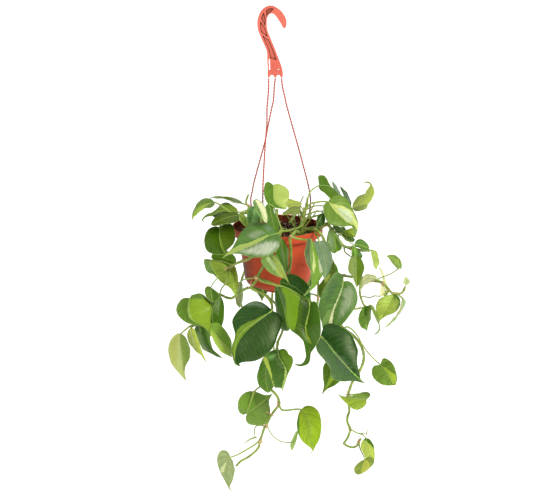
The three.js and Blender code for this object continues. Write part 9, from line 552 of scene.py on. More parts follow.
# Stems and petioles: the route of each (mm) and its radius at both ends.
TUBES = [
 {'vine': 'vine_left_upper', 'leaf': None, 'r0': 2.20, 'r1': 1.40, 'P': [(-15.6,-28,-347.1),(-22.1,-30,-331.3),(-30.2,-30,-317.8),(-37.6,-26,-310.4),(-41.7,-22,-305.5),(-40,-22,-297.9),(-37.6,-22,-292)]},
 {'vine': 'vine_left_side', 'leaf': None, 'r0': 2.40, 'r1': 1.90, 'P': [(2.4,-50,-342),(-5.6,-72,-329.5),(-15.2,-92,-331.7),(-20.8,-88,-351),(-23.3,-80,-369.9),(-33.1,-76,-383.6),(-42.9,-74,-388.9),(-54.3,-70,-394.2),(-62.5,-67,-399.4),(-69.2,-64,-405.5)]},
 {'vine': 'vine_front', 'leaf': None, 'r0': 2.50, 'r1': 2.10, 'P': [(18.6,-58,-344.1),(16.1,-74,-337.3),(12.8,-92,-343.2),(8.8,-88,-359.3),(-2.4,-80,-379.9),(-12.1,-76,-397),(-18.6,-76,-408),(-22.7,-78,-417.6),(-28.4,-80,-426.3),(-34.3,-82,-432.6)]},
 {'vine': 'vine_front', 'leaf': None, 'r0': 2.20, 'r1': 1.70, 'P': [(-34.3,-82,-432.6),(-43,-80,-435.6),(-51.2,-78,-441.8),(-59.4,-76,-449.3),(-66,-72,-454),(-74.5,-62,-455.4),(-82.1,-54,-454.4),(-91.4,-48,-454.7),(-102.2,-48,-458.2),(-109.6,-50,-467.4),(-113,-52,-480.6),(-113.1,-54,-495.6),(-118,-58,-504.6),(-122.8,-60,-507.4)]},
 {'vine': 'vine_front', 'leaf': None, 'r0': 2.10, 'r1': 1.80, 'P': [(-34.3,-82,-432.6),(-25.1,-86,-437.1),(-15.3,-90,-440.1),(-7.3,-92,-444.2),(0,-90,-452),(6.5,-86,-459.2),(12.2,-84,-475.2),(17.1,-84,-494.1),(17.9,-86,-505.4),(13.9,-88,-515.1),(10.1,-90,-523.9),(8.7,-90,-533.4)]},
 {'vine': 'vine_middle', 'leaf': None, 'r0': 2.30, 'r1': 2.00, 'P': [(46.2,-56,-348.5),(39.3,-79,-339.1),(30.1,-99,-343.7),(30.4,-99,-355.9),(31.2,-95,-373.8),(30.4,-90,-392.1),(28.5,-86,-405),(33.2,-82,-433.3),(44.7,-82,-462.2),(54.5,-86,-490),(61.1,-92,-515.4),(74.1,-96,-522.6),(82.3,-98,-537.4),(90.6,-98,-551.3)]},
 {'vine': 'vine_crown', 'leaf': None, 'r0': 2.40, 'r1': 1.60, 'P': [(50,-30,-353.3),(49.1,-30,-343.1),(51.6,-26,-330.6),(54.9,-22,-318.1),(58.1,-20,-306.8),(59,-18,-298)]},
 {'vine': 'vine_right_rim', 'leaf': None, 'r0': 2.40, 'r1': 2.00, 'P': [(55,-24,-350.7),(68.2,-24,-347.7),(81.1,-30,-346.1),(90.7,-34,-339.1),(99,-34,-348.6),(107.2,-36,-360.1),(113.8,-38,-369.8),(118.8,-38,-375.2),(128.8,-36,-378.9),(139.6,-34,-381.5),(148.9,-30,-385),(160.8,-26,-385.8)]},
 {'vine': 'vine_right_rim', 'leaf': None, 'r0': 1.30, 'r1': 1.00, 'P': [(118.8,-38,-375.2),(121,-30,-387.4),(129.6,-26,-395.4),(135.2,-24,-399.4)]},
 {'vine': 'vine_right_low', 'leaf': None, 'r0': 2.30, 'r1': 1.80, 'P': [(61.5,-30,-351.6),(70.7,-52,-343),(77.3,-72,-342.9),(81.4,-70,-348.3),(86.8,-60,-362.5),(92.9,-52,-377.4),(97.3,-48,-390.8),(99.2,-46,-406.7),(102.8,-42,-419.9),(118,-34,-426.9),(135.1,-25.7,-431.6),(150.3,-19.6,-434.6),(160.4,-15.5,-439.2),(170.5,-15.8,-441.4),(185.3,-22.9,-443.2),(193.7,-26.2,-452.2),(200.3,-27.5,-458.7),(207.8,-26.8,-460.4),(216.5,-22.4,-460.7),(221.7,-18.2,-455.5)]},
 {'vine': 'vine_right_low', 'leaf': None, 'r0': 1.90, 'r1': 1.50, 'P': [(149.3,-24,-434.8),(147.4,-30,-442.5),(146.1,-36,-452.8),(148,-40,-463.7),(152.9,-44,-474.5),(159.5,-46,-477.9)]},
 {'vine': 'vine_right_low', 'leaf': None, 'r0': 1.50, 'r1': 1.50, 'P': [(153.4,-45,-478.2),(139.4,-50,-479.2),(127.6,-56.1,-478.4),(117.5,-62.5,-482.5),(110.7,-71.3,-493.6),(113.7,-79.8,-501.8)]},
 {'vine': 'vine_right_low', 'leaf': None, 'r0': 1.00, 'r1': 0.90, 'P': [(146.2,-39.2,-462.2),(154.9,-38.4,-462),(161.8,-37.5,-463.9),(170.3,-39.6,-460.2),(180.7,-39.1,-460.3),(193.7,-36.2,-452.2)]},
 {'vine': 'vine_right_down', 'leaf': None, 'r0': 2.30, 'r1': 1.90, 'P': [(114,-70.3,-501.6),(117.7,-78.2,-504.1),(126.7,-80.7,-509.4),(136.6,-81.5,-518.1),(145,-81.9,-529.3),(150.2,-80,-542.2),(151.8,-80,-554.4),(150.1,-80,-564.9),(145.9,-80,-575.4),(141.2,-78,-586.7),(133.9,-78,-597.2),(129.7,-78,-609.6),(127.3,-76,-621),(128.3,-70,-637.7),(129.9,-70,-652),(126.9,-72,-661.9),(127.1,-74,-671.8),(131.3,-74,-682.6),(128.3,-72,-697.9),(121.3,-70,-710.7)]},
 {'vine': 'vine_right_down', 'leaf': None, 'r0': 1.80, 'r1': 1.60, 'P': [(121.3,-70,-710.7),(128.7,-68,-716.5),(137.3,-66,-719.2),(144.8,-66,-715.9),(147.2,-66,-708.6),(150.5,-66,-703.2)]},
 {'vine': 'vine_bottom_left', 'leaf': None, 'r0': 2.30, 'r1': 1.80, 'P': [(8.7,-84,-535.5),(6.6,-84,-549.5),(0.8,-84,-573.9),(-4.9,-86,-594.2),(-1.6,-86,-606.5),(5.8,-86,-614.4),(11.6,-86,-625),(10.8,-86,-636.6),(3.3,-86,-647.2),(-2.5,-86,-657),(-7.8,-88,-666.9),(-12.5,-88,-676.7),(-15.8,-88,-687.5),(-19.2,-88,-698.2),(-21.7,-88,-710),(-30.9,-88,-720.8),(-41,-88,-728.6),(-51,-88,-734.4),(-56.1,-88,-739.8),(-59.4,-88,-743.4)]},
 {'vine': 'vine_bottom_left', 'leaf': None, 'r0': 1.60, 'r1': 1.30, 'P': [(-4.9,-86,-594.2),(-14.8,-84,-601.1),(-23.1,-84,-606.4),(-28.9,-84,-612.6)]},
 {'vine': 'vine_back_left', 'leaf': None, 'r0': 2.40, 'r1': 1.60, 'P': [(-15.9,20,-353.8),(-26.4,70,-347.8),(-37.1,94,-368.8),(-43.4,102,-399.6),(-44.5,102,-432.2),(-45.7,98,-452.8),(-51.4,92,-470.1),(-56,88,-486.2),(-56,86,-503.8),(-51.6,86,-520.4),(-44.6,84,-538.1),(-40.3,82,-561.4)]},
 {'vine': 'vine_back_right', 'leaf': None, 'r0': 2.40, 'r1': 1.60, 'P': [(31,24,-351.4),(45.2,72,-345.4),(59.5,94,-365.2),(70.2,98,-398.5),(77.4,95.3,-437.7),(81.2,87,-481.9),(79.7,88,-526.5),(76.4,84,-565.8)]},
 {'vine': 'vine_back_mid', 'leaf': None, 'r0': 2.40, 'r1': 1.60, 'P': [(7.5,24,-349.6),(9.4,74,-342.4),(9.5,98,-362.7),(7.8,102,-403.2),(4.4,98,-452.8),(0.9,92,-509.4),(0.9,88,-563.5),(4.4,84,-599.3)]},
 {'vine': 'vine_left_upper', 'leaf': 'L02', 'r0': 1.33, 'r1': 0.99, 'P': [(-35.6,-27.4,-312.3),(-44.9,-36.1,-320.1),(-54.6,-36.6,-323.5),(-64.2,-39.9,-318.9),(-74.7,-38.7,-312.1),(-85.4,-33.7,-305.5),(-94,-25,-303.9)]},
 {'vine': 'vine_left_upper', 'leaf': 'L03', 'r0': 1.21, 'r1': 0.90, 'P': [(-37.7,-25.9,-310.2),(-39.7,-20.7,-310.6),(-41.7,-15.5,-310.9),(-43.8,-10.3,-311.4),(-45.8,-5.2,-312),(-47.9,0,-312.6)]},
 {'vine': 'vine_left_upper', 'leaf': 'L04', 'r0': 1.38, 'r1': 1.02, 'P': [(-30.1,-30,-317.9),(-35,-29.3,-319.3),(-39.9,-28.6,-320.5),(-45,-27.5,-321),(-49.9,-26.2,-320.9),(-54.9,-24.6,-320.9)]},
 {'vine': 'vine_left_upper', 'leaf': 'L05', 'r0': 1.23, 'r1': 0.91, 'P': [(-25.8,-30.4,-324.4),(-38.5,-24,-321),(-55.1,-16,-328.1),(-71.5,-18,-334.4),(-82,-27,-340.5),(-85,-36,-344.1)]},
 {'vine': 'vine_left_upper', 'leaf': 'L21', 'r0': 1.04, 'r1': 0.77, 'P': [(-22.4,-30,-330.8),(-22.6,-43.5,-320.5),(-23.2,-55.7,-309.9),(-25.6,-68.9,-298.6),(-27.5,-85,-288.9),(-27.6,-101.9,-282)]},
 {'vine': 'vine_left_upper', 'leaf': 'L24', 'r0': 0.96, 'r1': 0.71, 'P': [(-25.8,-30.4,-324.4),(-27,-36.1,-319),(-28,-41.9,-313.7),(-28.4,-48.2,-308.9),(-28,-55,-305.1),(-27.4,-62,-301.4)]},
 {'vine': 'vine_left_upper', 'leaf': 'L24b', 'r0': 0.88, 'r1': 0.65, 'P': [(-23.9,-30.2,-327.8),(-28.9,-34.6,-321.5),(-34.3,-39.4,-315.7),(-41.2,-45.1,-313),(-47.4,-51.9,-313.1),(-50.8,-60,-316)]},
 {'vine': 'vine_left_side', 'leaf': 'L06', 'r0': 1.06, 'r1': 0.78, 'P': [(-42.4,-74.1,-388.6),(-46.3,-63.7,-393.4),(-49.7,-53.3,-398),(-53,-42.7,-402),(-55.9,-31.8,-405.5),(-58.8,-20.9,-408.9)]},
 {'vine': 'vine_left_side', 'leaf': 'L07', 'r0': 1.13, 'r1': 0.84, 'P': [(-66.5,-65.2,-402.9),(-66.8,-63.8,-404.1),(-67,-62.3,-405.3),(-67.3,-60.9,-406.6),(-67.8,-59.9,-408.1),(-68.6,-60,-409.7)]},
 {'vine': 'vine_left_side', 'leaf': 'L07b', 'r0': 1.02, 'r1': 0.75, 'P': [(-61.9,-67.2,-398.9),(-67.9,-60.1,-399.1),(-73.4,-53.1,-399),(-79.3,-46.6,-398.9),(-84.1,-39.3,-400),(-86.5,-31.1,-402.5)]},
 {'vine': 'vine_left_side', 'leaf': 'L10a', 'r0': 0.92, 'r1': 0.68, 'P': [(-69.2,-64,-405.5),(-74.4,-78,-406.7),(-81.5,-86,-410.4),(-88.7,-88,-416.7),(-94.7,-82,-425.6),(-98.8,-72,-435.2)]},
 {'vine': 'vine_front', 'leaf': 'L09', 'r0': 1.43, 'r1': 1.06, 'P': [(-107,-49.1,-463),(-110.8,-56.2,-458.1),(-115,-63.5,-453.9),(-120.3,-70.8,-451),(-126.2,-78,-449.6),(-132.5,-85,-450.1)]},
 {'vine': 'vine_front', 'leaf': 'L11', 'r0': 1.42, 'r1': 1.05, 'P': [(-119.7,-58.8,-505.9),(-126.5,-59.1,-504.2),(-133.3,-59.4,-505.7),(-139.1,-59.6,-509.8),(-144.4,-59.8,-514.4),(-149.4,-60,-519.3)]},
 {'vine': 'vine_front', 'leaf': 'L12', 'r0': 1.30, 'r1': 0.96, 'P': [(-119.7,-58.8,-505.9),(-122.2,-60.2,-505),(-124.7,-61.7,-504.1),(-127.4,-63.2,-504.2),(-129.9,-64.6,-505.2),(-132.4,-66,-506.3)]},
 {'vine': 'vine_front', 'leaf': 'L13', 'r0': 1.40, 'r1': 1.04, 'P': [(-113.1,-54,-495.6),(-114.9,-57.6,-496.9),(-116.5,-61.1,-497.8),(-117.6,-64.7,-499),(-118.2,-68.3,-500.3),(-118.9,-72,-501.6)]},
 {'vine': 'vine_front', 'leaf': 'L14', 'r0': 1.25, 'r1': 0.93, 'P': [(-113.1,-54,-495.6),(-110.7,-63.7,-496.9),(-108.2,-73.2,-497.3),(-106,-82.8,-497.1),(-102.1,-91.3,-494.5),(-96.4,-97.6,-489.5)]},
 {'vine': 'vine_left_side', 'leaf': 'L10b', 'r0': 1.26, 'r1': 0.93, 'P': [(-69.2,-64,-405.5),(-70.5,-77.8,-408.9),(-71,-82.9,-416.1),(-73.8,-82.5,-424.8),(-79.7,-72.5,-434.6),(-83.3,-62.1,-444.4),(-84.9,-60.2,-452.1)]},
 {'vine': 'vine_front', 'leaf': 'L08', 'r0': 1.06, 'r1': 0.78, 'P': [(-22.3,-77.8,-416.8),(-31.5,-74.2,-419.2),(-38.7,-68,-421.9),(-43.8,-60.1,-425.1),(-47.5,-52.1,-429.6),(-50.2,-44,-434.8)]},
 {'vine': 'vine_front', 'leaf': 'L18', 'r0': 1.22, 'r1': 0.90, 'P': [(4.7,-84.8,-367.6),(3.3,-87.5,-368.9),(2.3,-90.5,-369.6),(1.7,-93.6,-369.6),(1.2,-96.8,-369.4),(0.8,-100,-369.2)]},
 {'vine': 'vine_front', 'leaf': 'L19', 'r0': 1.24, 'r1': 0.91, 'P': [(12.6,-92.3,-344),(13.3,-90.6,-344.1),(13.9,-89,-344.8),(14.4,-87.7,-345.8),(14.8,-86.5,-347.1),(15.2,-85.3,-348.4)]},
 {'vine': 'vine_front', 'leaf': 'L23', 'r0': 1.12, 'r1': 0.83, 'P': [(16,-74.3,-337.3),(13,-71,-328.3),(9.8,-68.2,-319.1),(6.6,-69.2,-309.7),(3.3,-72.6,-300.7),(-4,-73.6,-295.2)]},
 {'vine': 'vine_front', 'leaf': 'L15', 'r0': 1.72, 'r1': 1.27, 'P': [(-6.8,-92,-444.6),(-3.5,-97.1,-448.6),(-0.7,-103.3,-452),(1,-110.2,-454.5),(1.3,-117.5,-456.2),(0.8,-125,-457.5)]},
 {'vine': 'vine_front', 'leaf': 'L16', 'r0': 1.72, 'r1': 1.27, 'P': [(-22.3,-77.8,-416.8),(-15.3,-88,-419.9),(-4.8,-104,-418),(6.4,-116,-417.2),(21.5,-124.4,-419.4),(39,-128.4,-427.9),(51.8,-127.1,-437.2),(59.9,-149.9,-436.1)]},
 {'vine': 'vine_front', 'leaf': 'L16b', 'r0': 1.39, 'r1': 1.03, 'P': [(-22.3,-77.8,-416.8),(-14.7,-79.2,-420),(-7.1,-82.7,-421.1),(-0.7,-88.1,-421.3),(3.6,-95.3,-421.9),(7.2,-103,-422.6)]},
 {'vine': 'vine_front', 'leaf': 'L53', 'r0': 1.34, 'r1': 0.99, 'P': [(10.2,-90,-523.6),(9.9,-93.8,-525.4),(9.7,-97.8,-527.2),(9.9,-101.8,-528.7),(10.4,-105.9,-529.9),(11,-110,-531)]},
 {'vine': 'vine_crown', 'leaf': 'L01', 'r0': 1.60, 'r1': 1.18, 'P': [(49.1,-30,-343.1),(41.4,-52,-341.2),(32.9,-80,-336.2),(23,-104,-331.8),(14.2,-113,-329.3),(10.2,-120.3,-331.4)]},
 {'vine': 'vine_middle', 'leaf': 'L45', 'r0': 1.62, 'r1': 1.20, 'P': [(30.8,-97.5,-342.3),(39.3,-99.7,-345.1),(48,-101.9,-346.1),(54.7,-107.7,-345),(58.5,-115.6,-342.7),(62.2,-123.6,-340.4)]},
 {'vine': 'vine_middle', 'leaf': 'L17', 'r0': 1.19, 'r1': 0.88, 'P': [(39.4,-81.5,-449.7),(49.1,-83.7,-453.8),(53.8,-92.7,-451.8),(56.2,-102.4,-448.2),(58.2,-112,-444.5),(60.6,-121.7,-440.9)]},
 {'vine': 'vine_middle', 'leaf': 'L50', 'r0': 1.17, 'r1': 0.87, 'P': [(90.6,-98,-551.3),(92.5,-99.2,-552.2),(94.4,-100.4,-553.2),(96.3,-101.6,-554.1),(98.2,-102.8,-555),(100.2,-104,-556)]},
 {'vine': 'vine_middle', 'leaf': 'L49', 'r0': 1.65, 'r1': 1.22, 'P': [(60.9,-91.9,-515.2),(67.7,-101.5,-512.1),(71.5,-112.1,-508),(74,-123,-503.5),(76.1,-134,-498.9),(78.4,-144.9,-494.4)]},
 {'vine': 'vine_crown', 'leaf': 'L22', 'r0': 1.20, 'r1': 0.89, 'P': [(50.5,-27.7,-335.3),(42.4,-17.6,-323.5),(33.6,-7.7,-311),(23.6,-5.8,-298),(14.2,-13.3,-285.2),(3.3,-23.5,-276.6)]},
 {'vine': 'vine_crown', 'leaf': 'L25a', 'r0': 0.90, 'r1': 0.67, 'P': [(53.3,-23.8,-324),(52.5,-24,-321),(51.6,-24.3,-318.1),(50.5,-23.7,-315.4),(49,-21.9,-313.6),(47.5,-19.7,-311.9)]},
 {'vine': 'vine_crown', 'leaf': 'L25b', 'r0': 1.06, 'r1': 0.78, 'P': [(51.9,-25.6,-329.4),(51.1,-28.1,-325.8),(50.2,-30.7,-322.2),(49.3,-33.6,-319.1),(48.2,-36.9,-316.3),(47.1,-40.3,-313.5)]},
 {'vine': 'vine_crown', 'leaf': 'L26', 'r0': 1.12, 'r1': 0.83, 'P': [(57.7,-20.4,-308.9),(59.5,-16.7,-300.8),(61.8,-12.8,-293),(66.6,-7.6,-287.6),(72.4,-1.4,-284.9),(78.4,5.1,-283.3)]},
 {'vine': 'vine_crown', 'leaf': 'L27', 'r0': 0.99, 'r1': 0.73, 'P': [(54.8,-22.1,-318.6),(63.6,-7.4,-317.9),(74.2,5.8,-318.1),(89.1,14.1,-320),(103.2,23.4,-318.1),(117,30,-310.6)]},
 {'vine': 'vine_crown', 'leaf': 'L27b', 'r0': 1.06, 'r1': 0.78, 'P': [(52.5,-24.9,-327.2),(64.1,-9.6,-326.9),(77.9,3.6,-326.9),(95.8,10.4,-328.2),(114.1,16.4,-328.7),(131.9,22,-324.1)]},
 {'vine': 'vine_crown', 'leaf': 'L28', 'r0': 1.39, 'r1': 1.02, 'P': [(54,-22.9,-321.3),(58.6,-23.5,-312.8),(65.5,-24.5,-306.4),(74.6,-26.1,-303.9),(83.9,-28,-302.3),(92,-33.1,-301.9)]},
 {'vine': 'vine_crown', 'leaf': 'L29', 'r0': 1.40, 'r1': 1.03, 'P': [(50.8,-27.2,-333.9),(64.1,-12.7,-333.3),(79.6,-0.8,-332.5),(98.7,3.6,-332.1),(118,3,-328.9),(133.7,-5,-320.4)]},
 {'vine': 'vine_crown', 'leaf': 'L31', 'r0': 0.89, 'r1': 0.66, 'P': [(49.5,-29.4,-340.3),(56,-31.7,-333),(62.1,-34.6,-325.7),(67,-38.8,-318),(75.5,-41.8,-314.3),(84.5,-42,-318.1)]},
 {'vine': 'vine_right_rim', 'leaf': 'L32', 'r0': 1.05, 'r1': 0.78, 'P': [(90.1,-33.9,-339.1),(90.4,-38.3,-339.1),(90.5,-42.7,-338.4),(90.8,-47.2,-338),(92.8,-50.3,-339.2),(95.9,-49.2,-342.2)]},
 {'vine': 'vine_right_rim', 'leaf': 'L30', 'r0': 0.86, 'r1': 0.63, 'P': [(106.7,-35.8,-359.3),(108.8,-35.2,-358.7),(110.6,-33.1,-357.8),(112.6,-31.1,-357),(114.7,-29,-356.2),(116.7,-25.2,-355.5)]},
 {'vine': 'vine_right_rim', 'leaf': 'L30b', 'r0': 0.96, 'r1': 0.71, 'P': [(99,-34,-348.5),(102.5,-25.4,-348.3),(105.9,-20.4,-348.1),(108.8,-15.6,-348.9),(111.4,-11.2,-350.1),(114.1,-8.6,-351.4)]},
 {'vine': 'vine_right_rim', 'leaf': 'L30c', 'r0': 0.83, 'r1': 0.61, 'P': [(90.1,-33.9,-339.1),(92.1,-31.1,-340.1),(94,-28.4,-340.7),(96.2,-25.8,-341.4),(98.6,-23.7,-342.4),(101.1,-21.7,-343.6)]},
 {'vine': 'vine_right_rim', 'leaf': 'L33', 'r0': 0.88, 'r1': 0.65, 'P': [(99,-34,-348.5),(106.9,-37.1,-352.6),(114.6,-38.4,-357.4),(121.9,-38,-363),(128.6,-36.4,-369),(136.2,-35,-374.1)]},
 {'vine': 'vine_right_rim', 'leaf': 'L34', 'r0': 0.92, 'r1': 0.68, 'P': [(127.8,-36.2,-378.6),(129.2,-37.4,-377.6),(130.2,-38.7,-376.4),(131.3,-39.8,-375.2),(132.9,-39.5,-374.4),(134.3,-38.2,-374)]},
 {'vine': 'vine_right_rim', 'leaf': 'L35', 'r0': 1.13, 'r1': 0.83, 'P': [(135.2,-24,-399.4),(135.6,-30.4,-396.9),(136,-36.7,-394.4),(136.3,-43.1,-392),(136.6,-49.4,-389.9),(136.8,-55.8,-387.7)]},
 {'vine': 'vine_right_rim', 'leaf': 'L36', 'r0': 0.95, 'r1': 0.70, 'P': [(160.8,-26,-385.8),(162.3,-25.9,-385.8),(163.8,-25.7,-385.7),(165.3,-25.6,-385.7),(166.8,-25.3,-385.9),(168.2,-25,-386.3)]},
 {'vine': 'vine_right_low', 'leaf': 'L46', 'r0': 1.26, 'r1': 0.93, 'P': [(70.8,-52.3,-342.9),(71.9,-59.1,-350.2),(73.1,-66,-349.4),(74.2,-72.8,-348.9),(75.4,-79.5,-349.7),(76.2,-83.5,-355)]},
 {'vine': 'vine_right_low', 'leaf': 'L47', 'r0': 1.28, 'r1': 0.95, 'P': [(104.2,-41.1,-421.3),(95.1,-48.7,-413.9),(92.9,-54.9,-403.6),(94,-62.3,-394),(97.7,-71.5,-389.2),(100.9,-61.3,-395.4)]},
 {'vine': 'vine_right_low', 'leaf': 'L48', 'r0': 1.50, 'r1': 1.11, 'P': [(117.8,-34.1,-426.9),(116.5,-47.3,-425.9),(116,-60.2,-424.7),(115.5,-72.9,-422.5),(115.2,-85.6,-419.9),(114.8,-98.2,-417.3)]},
 {'vine': 'vine_right_low', 'leaf': 'L38', 'r0': 1.03, 'r1': 0.76, 'P': [(184.8,-22.7,-443),(182.8,-21.4,-441.6),(180.6,-21,-440.2),(178.3,-21.2,-439.1),(175.9,-21.6,-438.1),(173.6,-22,-437.2)]},
 {'vine': 'vine_right_low', 'leaf': 'L39', 'r0': 1.16, 'r1': 0.86, 'P': [(194.1,-26.3,-452.6),(193.8,-26.3,-455.5),(193.3,-26.2,-458.3),(192.5,-26.1,-460.9),(190.5,-26.1,-462.7),(188,-26,-463.8)]},
 {'vine': 'vine_right_low', 'leaf': 'L37', 'r0': 0.92, 'r1': 0.68, 'P': [(172.4,-16.4,-441.6),(179.5,-15.1,-437.3),(188.3,-13.8,-434.1),(197.2,-12.6,-430.9),(205.6,-11.3,-426.1),(213.2,-10,-419.9)]},
 {'vine': 'vine_right_low', 'leaf': 'L40', 'r0': 1.13, 'r1': 0.84, 'P': [(200.8,-27.5,-458.9),(201.8,-27.5,-459.4),(201.6,-28.9,-459.3),(201.8,-30,-459.7),(202.2,-29.1,-460.6),(202.7,-28.1,-461.4)]},
 {'vine': 'vine_right_low', 'leaf': 'L41', 'r0': 1.34, 'r1': 0.99, 'P': [(207.5,-26.9,-460.4),(210.8,-25.9,-462.4),(213,-26,-464.2),(215.2,-26,-466),(217.3,-26,-467.9),(219.4,-26,-469.9)]},
 {'vine': 'vine_right_low', 'leaf': 'L42', 'r0': 0.80, 'r1': 0.59, 'P': [(221.7,-18.2,-455.5),(222.3,-17.6,-454.1),(222.9,-17.3,-452.8),(223.3,-16.9,-451.4),(223.6,-16.4,-450),(223.9,-16,-448.6)]},
 {'vine': 'vine_right_low', 'leaf': 'L43', 'r0': 1.08, 'r1': 0.80, 'P': [(159.5,-46,-477.9),(160,-48.2,-476.2),(160.4,-50.5,-474.6),(160.8,-52.9,-473.2),(160.9,-55.4,-472),(161,-58,-470.9)]},
 {'vine': 'vine_right_low', 'leaf': 'L44', 'r0': 1.23, 'r1': 0.91, 'P': [(159.5,-46,-477.9),(161.5,-46.9,-475.6),(162.9,-48.8,-473.6),(163.3,-51.8,-472.5),(163.4,-54.8,-471.7),(163.5,-57.9,-470.9)]},
 {'vine': 'vine_right_down', 'leaf': 'L51', 'r0': 1.10, 'r1': 0.82, 'P': [(118.4,-78.7,-504.5),(123,-86,-498.2),(132.1,-86,-503.7),(141.2,-86,-515.5),(148.5,-86,-528.8),(158.2,-84,-543.4),(170.1,-82,-557.1),(179.5,-80,-566.3)]},
 {'vine': 'vine_right_down', 'leaf': 'L59', 'r0': 1.13, 'r1': 0.83, 'P': [(127.3,-76,-621),(135.4,-72,-621.9),(144.2,-70.2,-621.5),(153.2,-70.2,-622.8),(158.4,-75.3,-625.2),(156.4,-84,-626.7)]},
 {'vine': 'vine_right_down', 'leaf': 'L60a', 'r0': 1.06, 'r1': 0.79, 'P': [(131.3,-74,-682.8),(137.6,-72.6,-687.3),(144.5,-72.1,-691),(151.9,-72.2,-693.5),(156.1,-67.9,-698.5),(158.8,-62.6,-703.8)]},
 {'vine': 'vine_right_down', 'leaf': 'L60b', 'r0': 0.96, 'r1': 0.71, 'P': [(147.3,-66,-708.6),(147.7,-69.4,-715.5),(150.1,-71.4,-722.4),(153.2,-74.6,-728.3),(154.9,-81.9,-729.7),(156.2,-89.4,-730.1)]},
 {'vine': 'vine_bottom_left', 'leaf': 'L53b', 'r0': 1.20, 'r1': 0.88, 'P': [(0.5,-84.1,-575.1),(0,-85.2,-568.8),(-0.7,-86.4,-563.3),(-1.8,-88.2,-558.1),(-3.6,-90.9,-553.5),(-5.7,-94,-549.3)]},
 {'vine': 'vine_bottom_left', 'leaf': 'L54', 'r0': 1.36, 'r1': 1.00, 'P': [(-28.9,-84,-612.6),(-31.6,-87.2,-619.5),(-34.4,-90.4,-626.4),(-37.2,-93.6,-633.4),(-39.4,-96.8,-639.7),(-40.4,-100,-644.2)]},
 {'vine': 'vine_bottom_left', 'leaf': 'L55', 'r0': 1.47, 'r1': 1.08, 'P': [(11.9,-86,-631.6),(14.1,-88,-638.4),(18.2,-90,-642.4),(28.1,-92,-641.6),(38.8,-92,-640),(48.8,-92,-640.3)]},
 {'vine': 'vine_bottom_left', 'leaf': 'L56', 'r0': 0.90, 'r1': 0.67, 'P': [(-7.6,-88,-666.5),(-4.6,-88,-677.4),(1.1,-88,-687.5),(9.5,-88,-695.5),(20.1,-88,-700.1),(31.7,-88,-701.3)]},
 {'vine': 'vine_bottom_left', 'leaf': 'L57', 'r0': 1.24, 'r1': 0.92, 'P': [(-18.7,-88,-696.7),(-28,-89.8,-704.3),(-37.8,-91.3,-710.1),(-47.7,-92.8,-715.7),(-57.9,-94.1,-721),(-68.7,-95,-724.9)]},
 {'vine': 'vine_back_left', 'leaf': 'B1', 'r0': 1.19, 'r1': 0.88, 'P': [(-43.6,102.2,-401.4),(-41.5,106.4,-399.5),(-39.8,110.9,-399.3),(-38.9,115.4,-401),(-38.3,119.7,-403.4),(-37.7,124,-405.6)]},
 {'vine': 'vine_back_left', 'leaf': 'B2', 'r0': 1.12, 'r1': 0.83, 'P': [(-46.3,84.5,-533.3),(-45.1,87.1,-535.5),(-44,89.7,-537.8),(-42.9,92.3,-540.1),(-42.1,95.1,-542.4),(-41.4,97.8,-544.6)]},
 {'vine': 'vine_back_mid', 'leaf': 'B3', 'r0': 1.39, 'r1': 1.03, 'P': [(5.2,99.2,-440.9),(0.3,104.6,-439.7),(-4.6,110.2,-438.4),(-9.2,115.6,-440.7),(-13,120.3,-445.1),(-16.7,125,-449.8)]},
 {'vine': 'vine_back_mid', 'leaf': 'B4', 'r0': 1.36, 'r1': 1.00, 'P': [(6.6,101.1,-422.1),(10.3,107,-420.7),(14.1,112.8,-420.7),(17.6,118,-423.4),(20.7,122.4,-427.7),(23.8,126.9,-432)]},
 {'vine': 'vine_back_right', 'leaf': 'B5', 'r0': 1.25, 'r1': 0.92, 'P': [(77.2,95.5,-435.9),(76.4,99.6,-434.6),(75.8,103.1,-433.9),(75,106.5,-433.6),(73.1,108.8,-435.1),(70.8,109,-437.8)]},
 {'vine': 'vine_back_right', 'leaf': 'B6', 'r0': 1.26, 'r1': 0.93, 'P': [(81,87,-500.6),(73.1,94.8,-500),(65.2,99.3,-500.6),(58.4,103.7,-504.5),(52.6,107.9,-510.2),(46.8,112,-515.8)]},
 {'vine': 'vine_back_mid', 'leaf': 'B7', 'r0': 1.16, 'r1': 0.86, 'P': [(0.4,90.5,-529.5),(-5.2,94,-530.6),(-10.8,97.6,-531.4),(-15.6,100.7,-534.7),(-19.7,103.4,-539.1),(-23.9,106.2,-543.6)]},
 {'vine': 'vine_left_upper', 'leaf': 'L04b', 'r0': 1.11, 'r1': 0.82, 'P': [(-25.8,-30.4,-324.4),(-29.7,-36.6,-321.7),(-33.6,-42.8,-319.1),(-39.2,-47.7,-317.6),(-46.2,-51,-317.9),(-52.5,-55.4,-318.9)]},
 {'vine': 'vine_bottom_left', 'leaf': None, 'r0': 0.95, 'r1': 0.85, 'P': [(-9.1,-88,-671.4),(-19.1,-86,-671.3),(-25.8,-88,-672.2),(-28.1,-90,-677.7),(-28.4,-92,-689.4)]},
 {'vine': 'vine_bottom_left', 'leaf': None, 'r0': 1.60, 'r1': 0.50, 'P': [(-24.9,-91.5,-689.9),(-32.4,-92.5,-691.8),(-39.9,-93.5,-695.9),(-46.5,-94.5,-702.6)]},
 {'vine': 'vine_right_down', 'leaf': None, 'r0': 0.85, 'r1': 0.75, 'P': [(144.9,-72,-690.7),(151.5,-73.5,-691.1),(158.6,-75,-691.2)]},
 {'vine': 'vine_right_down', 'leaf': None, 'r0': 1.20, 'r1': 0.40, 'P': [(158.2,-75,-692.3),(159.7,-75.5,-687.4),(160.9,-76,-680.7)]},
]
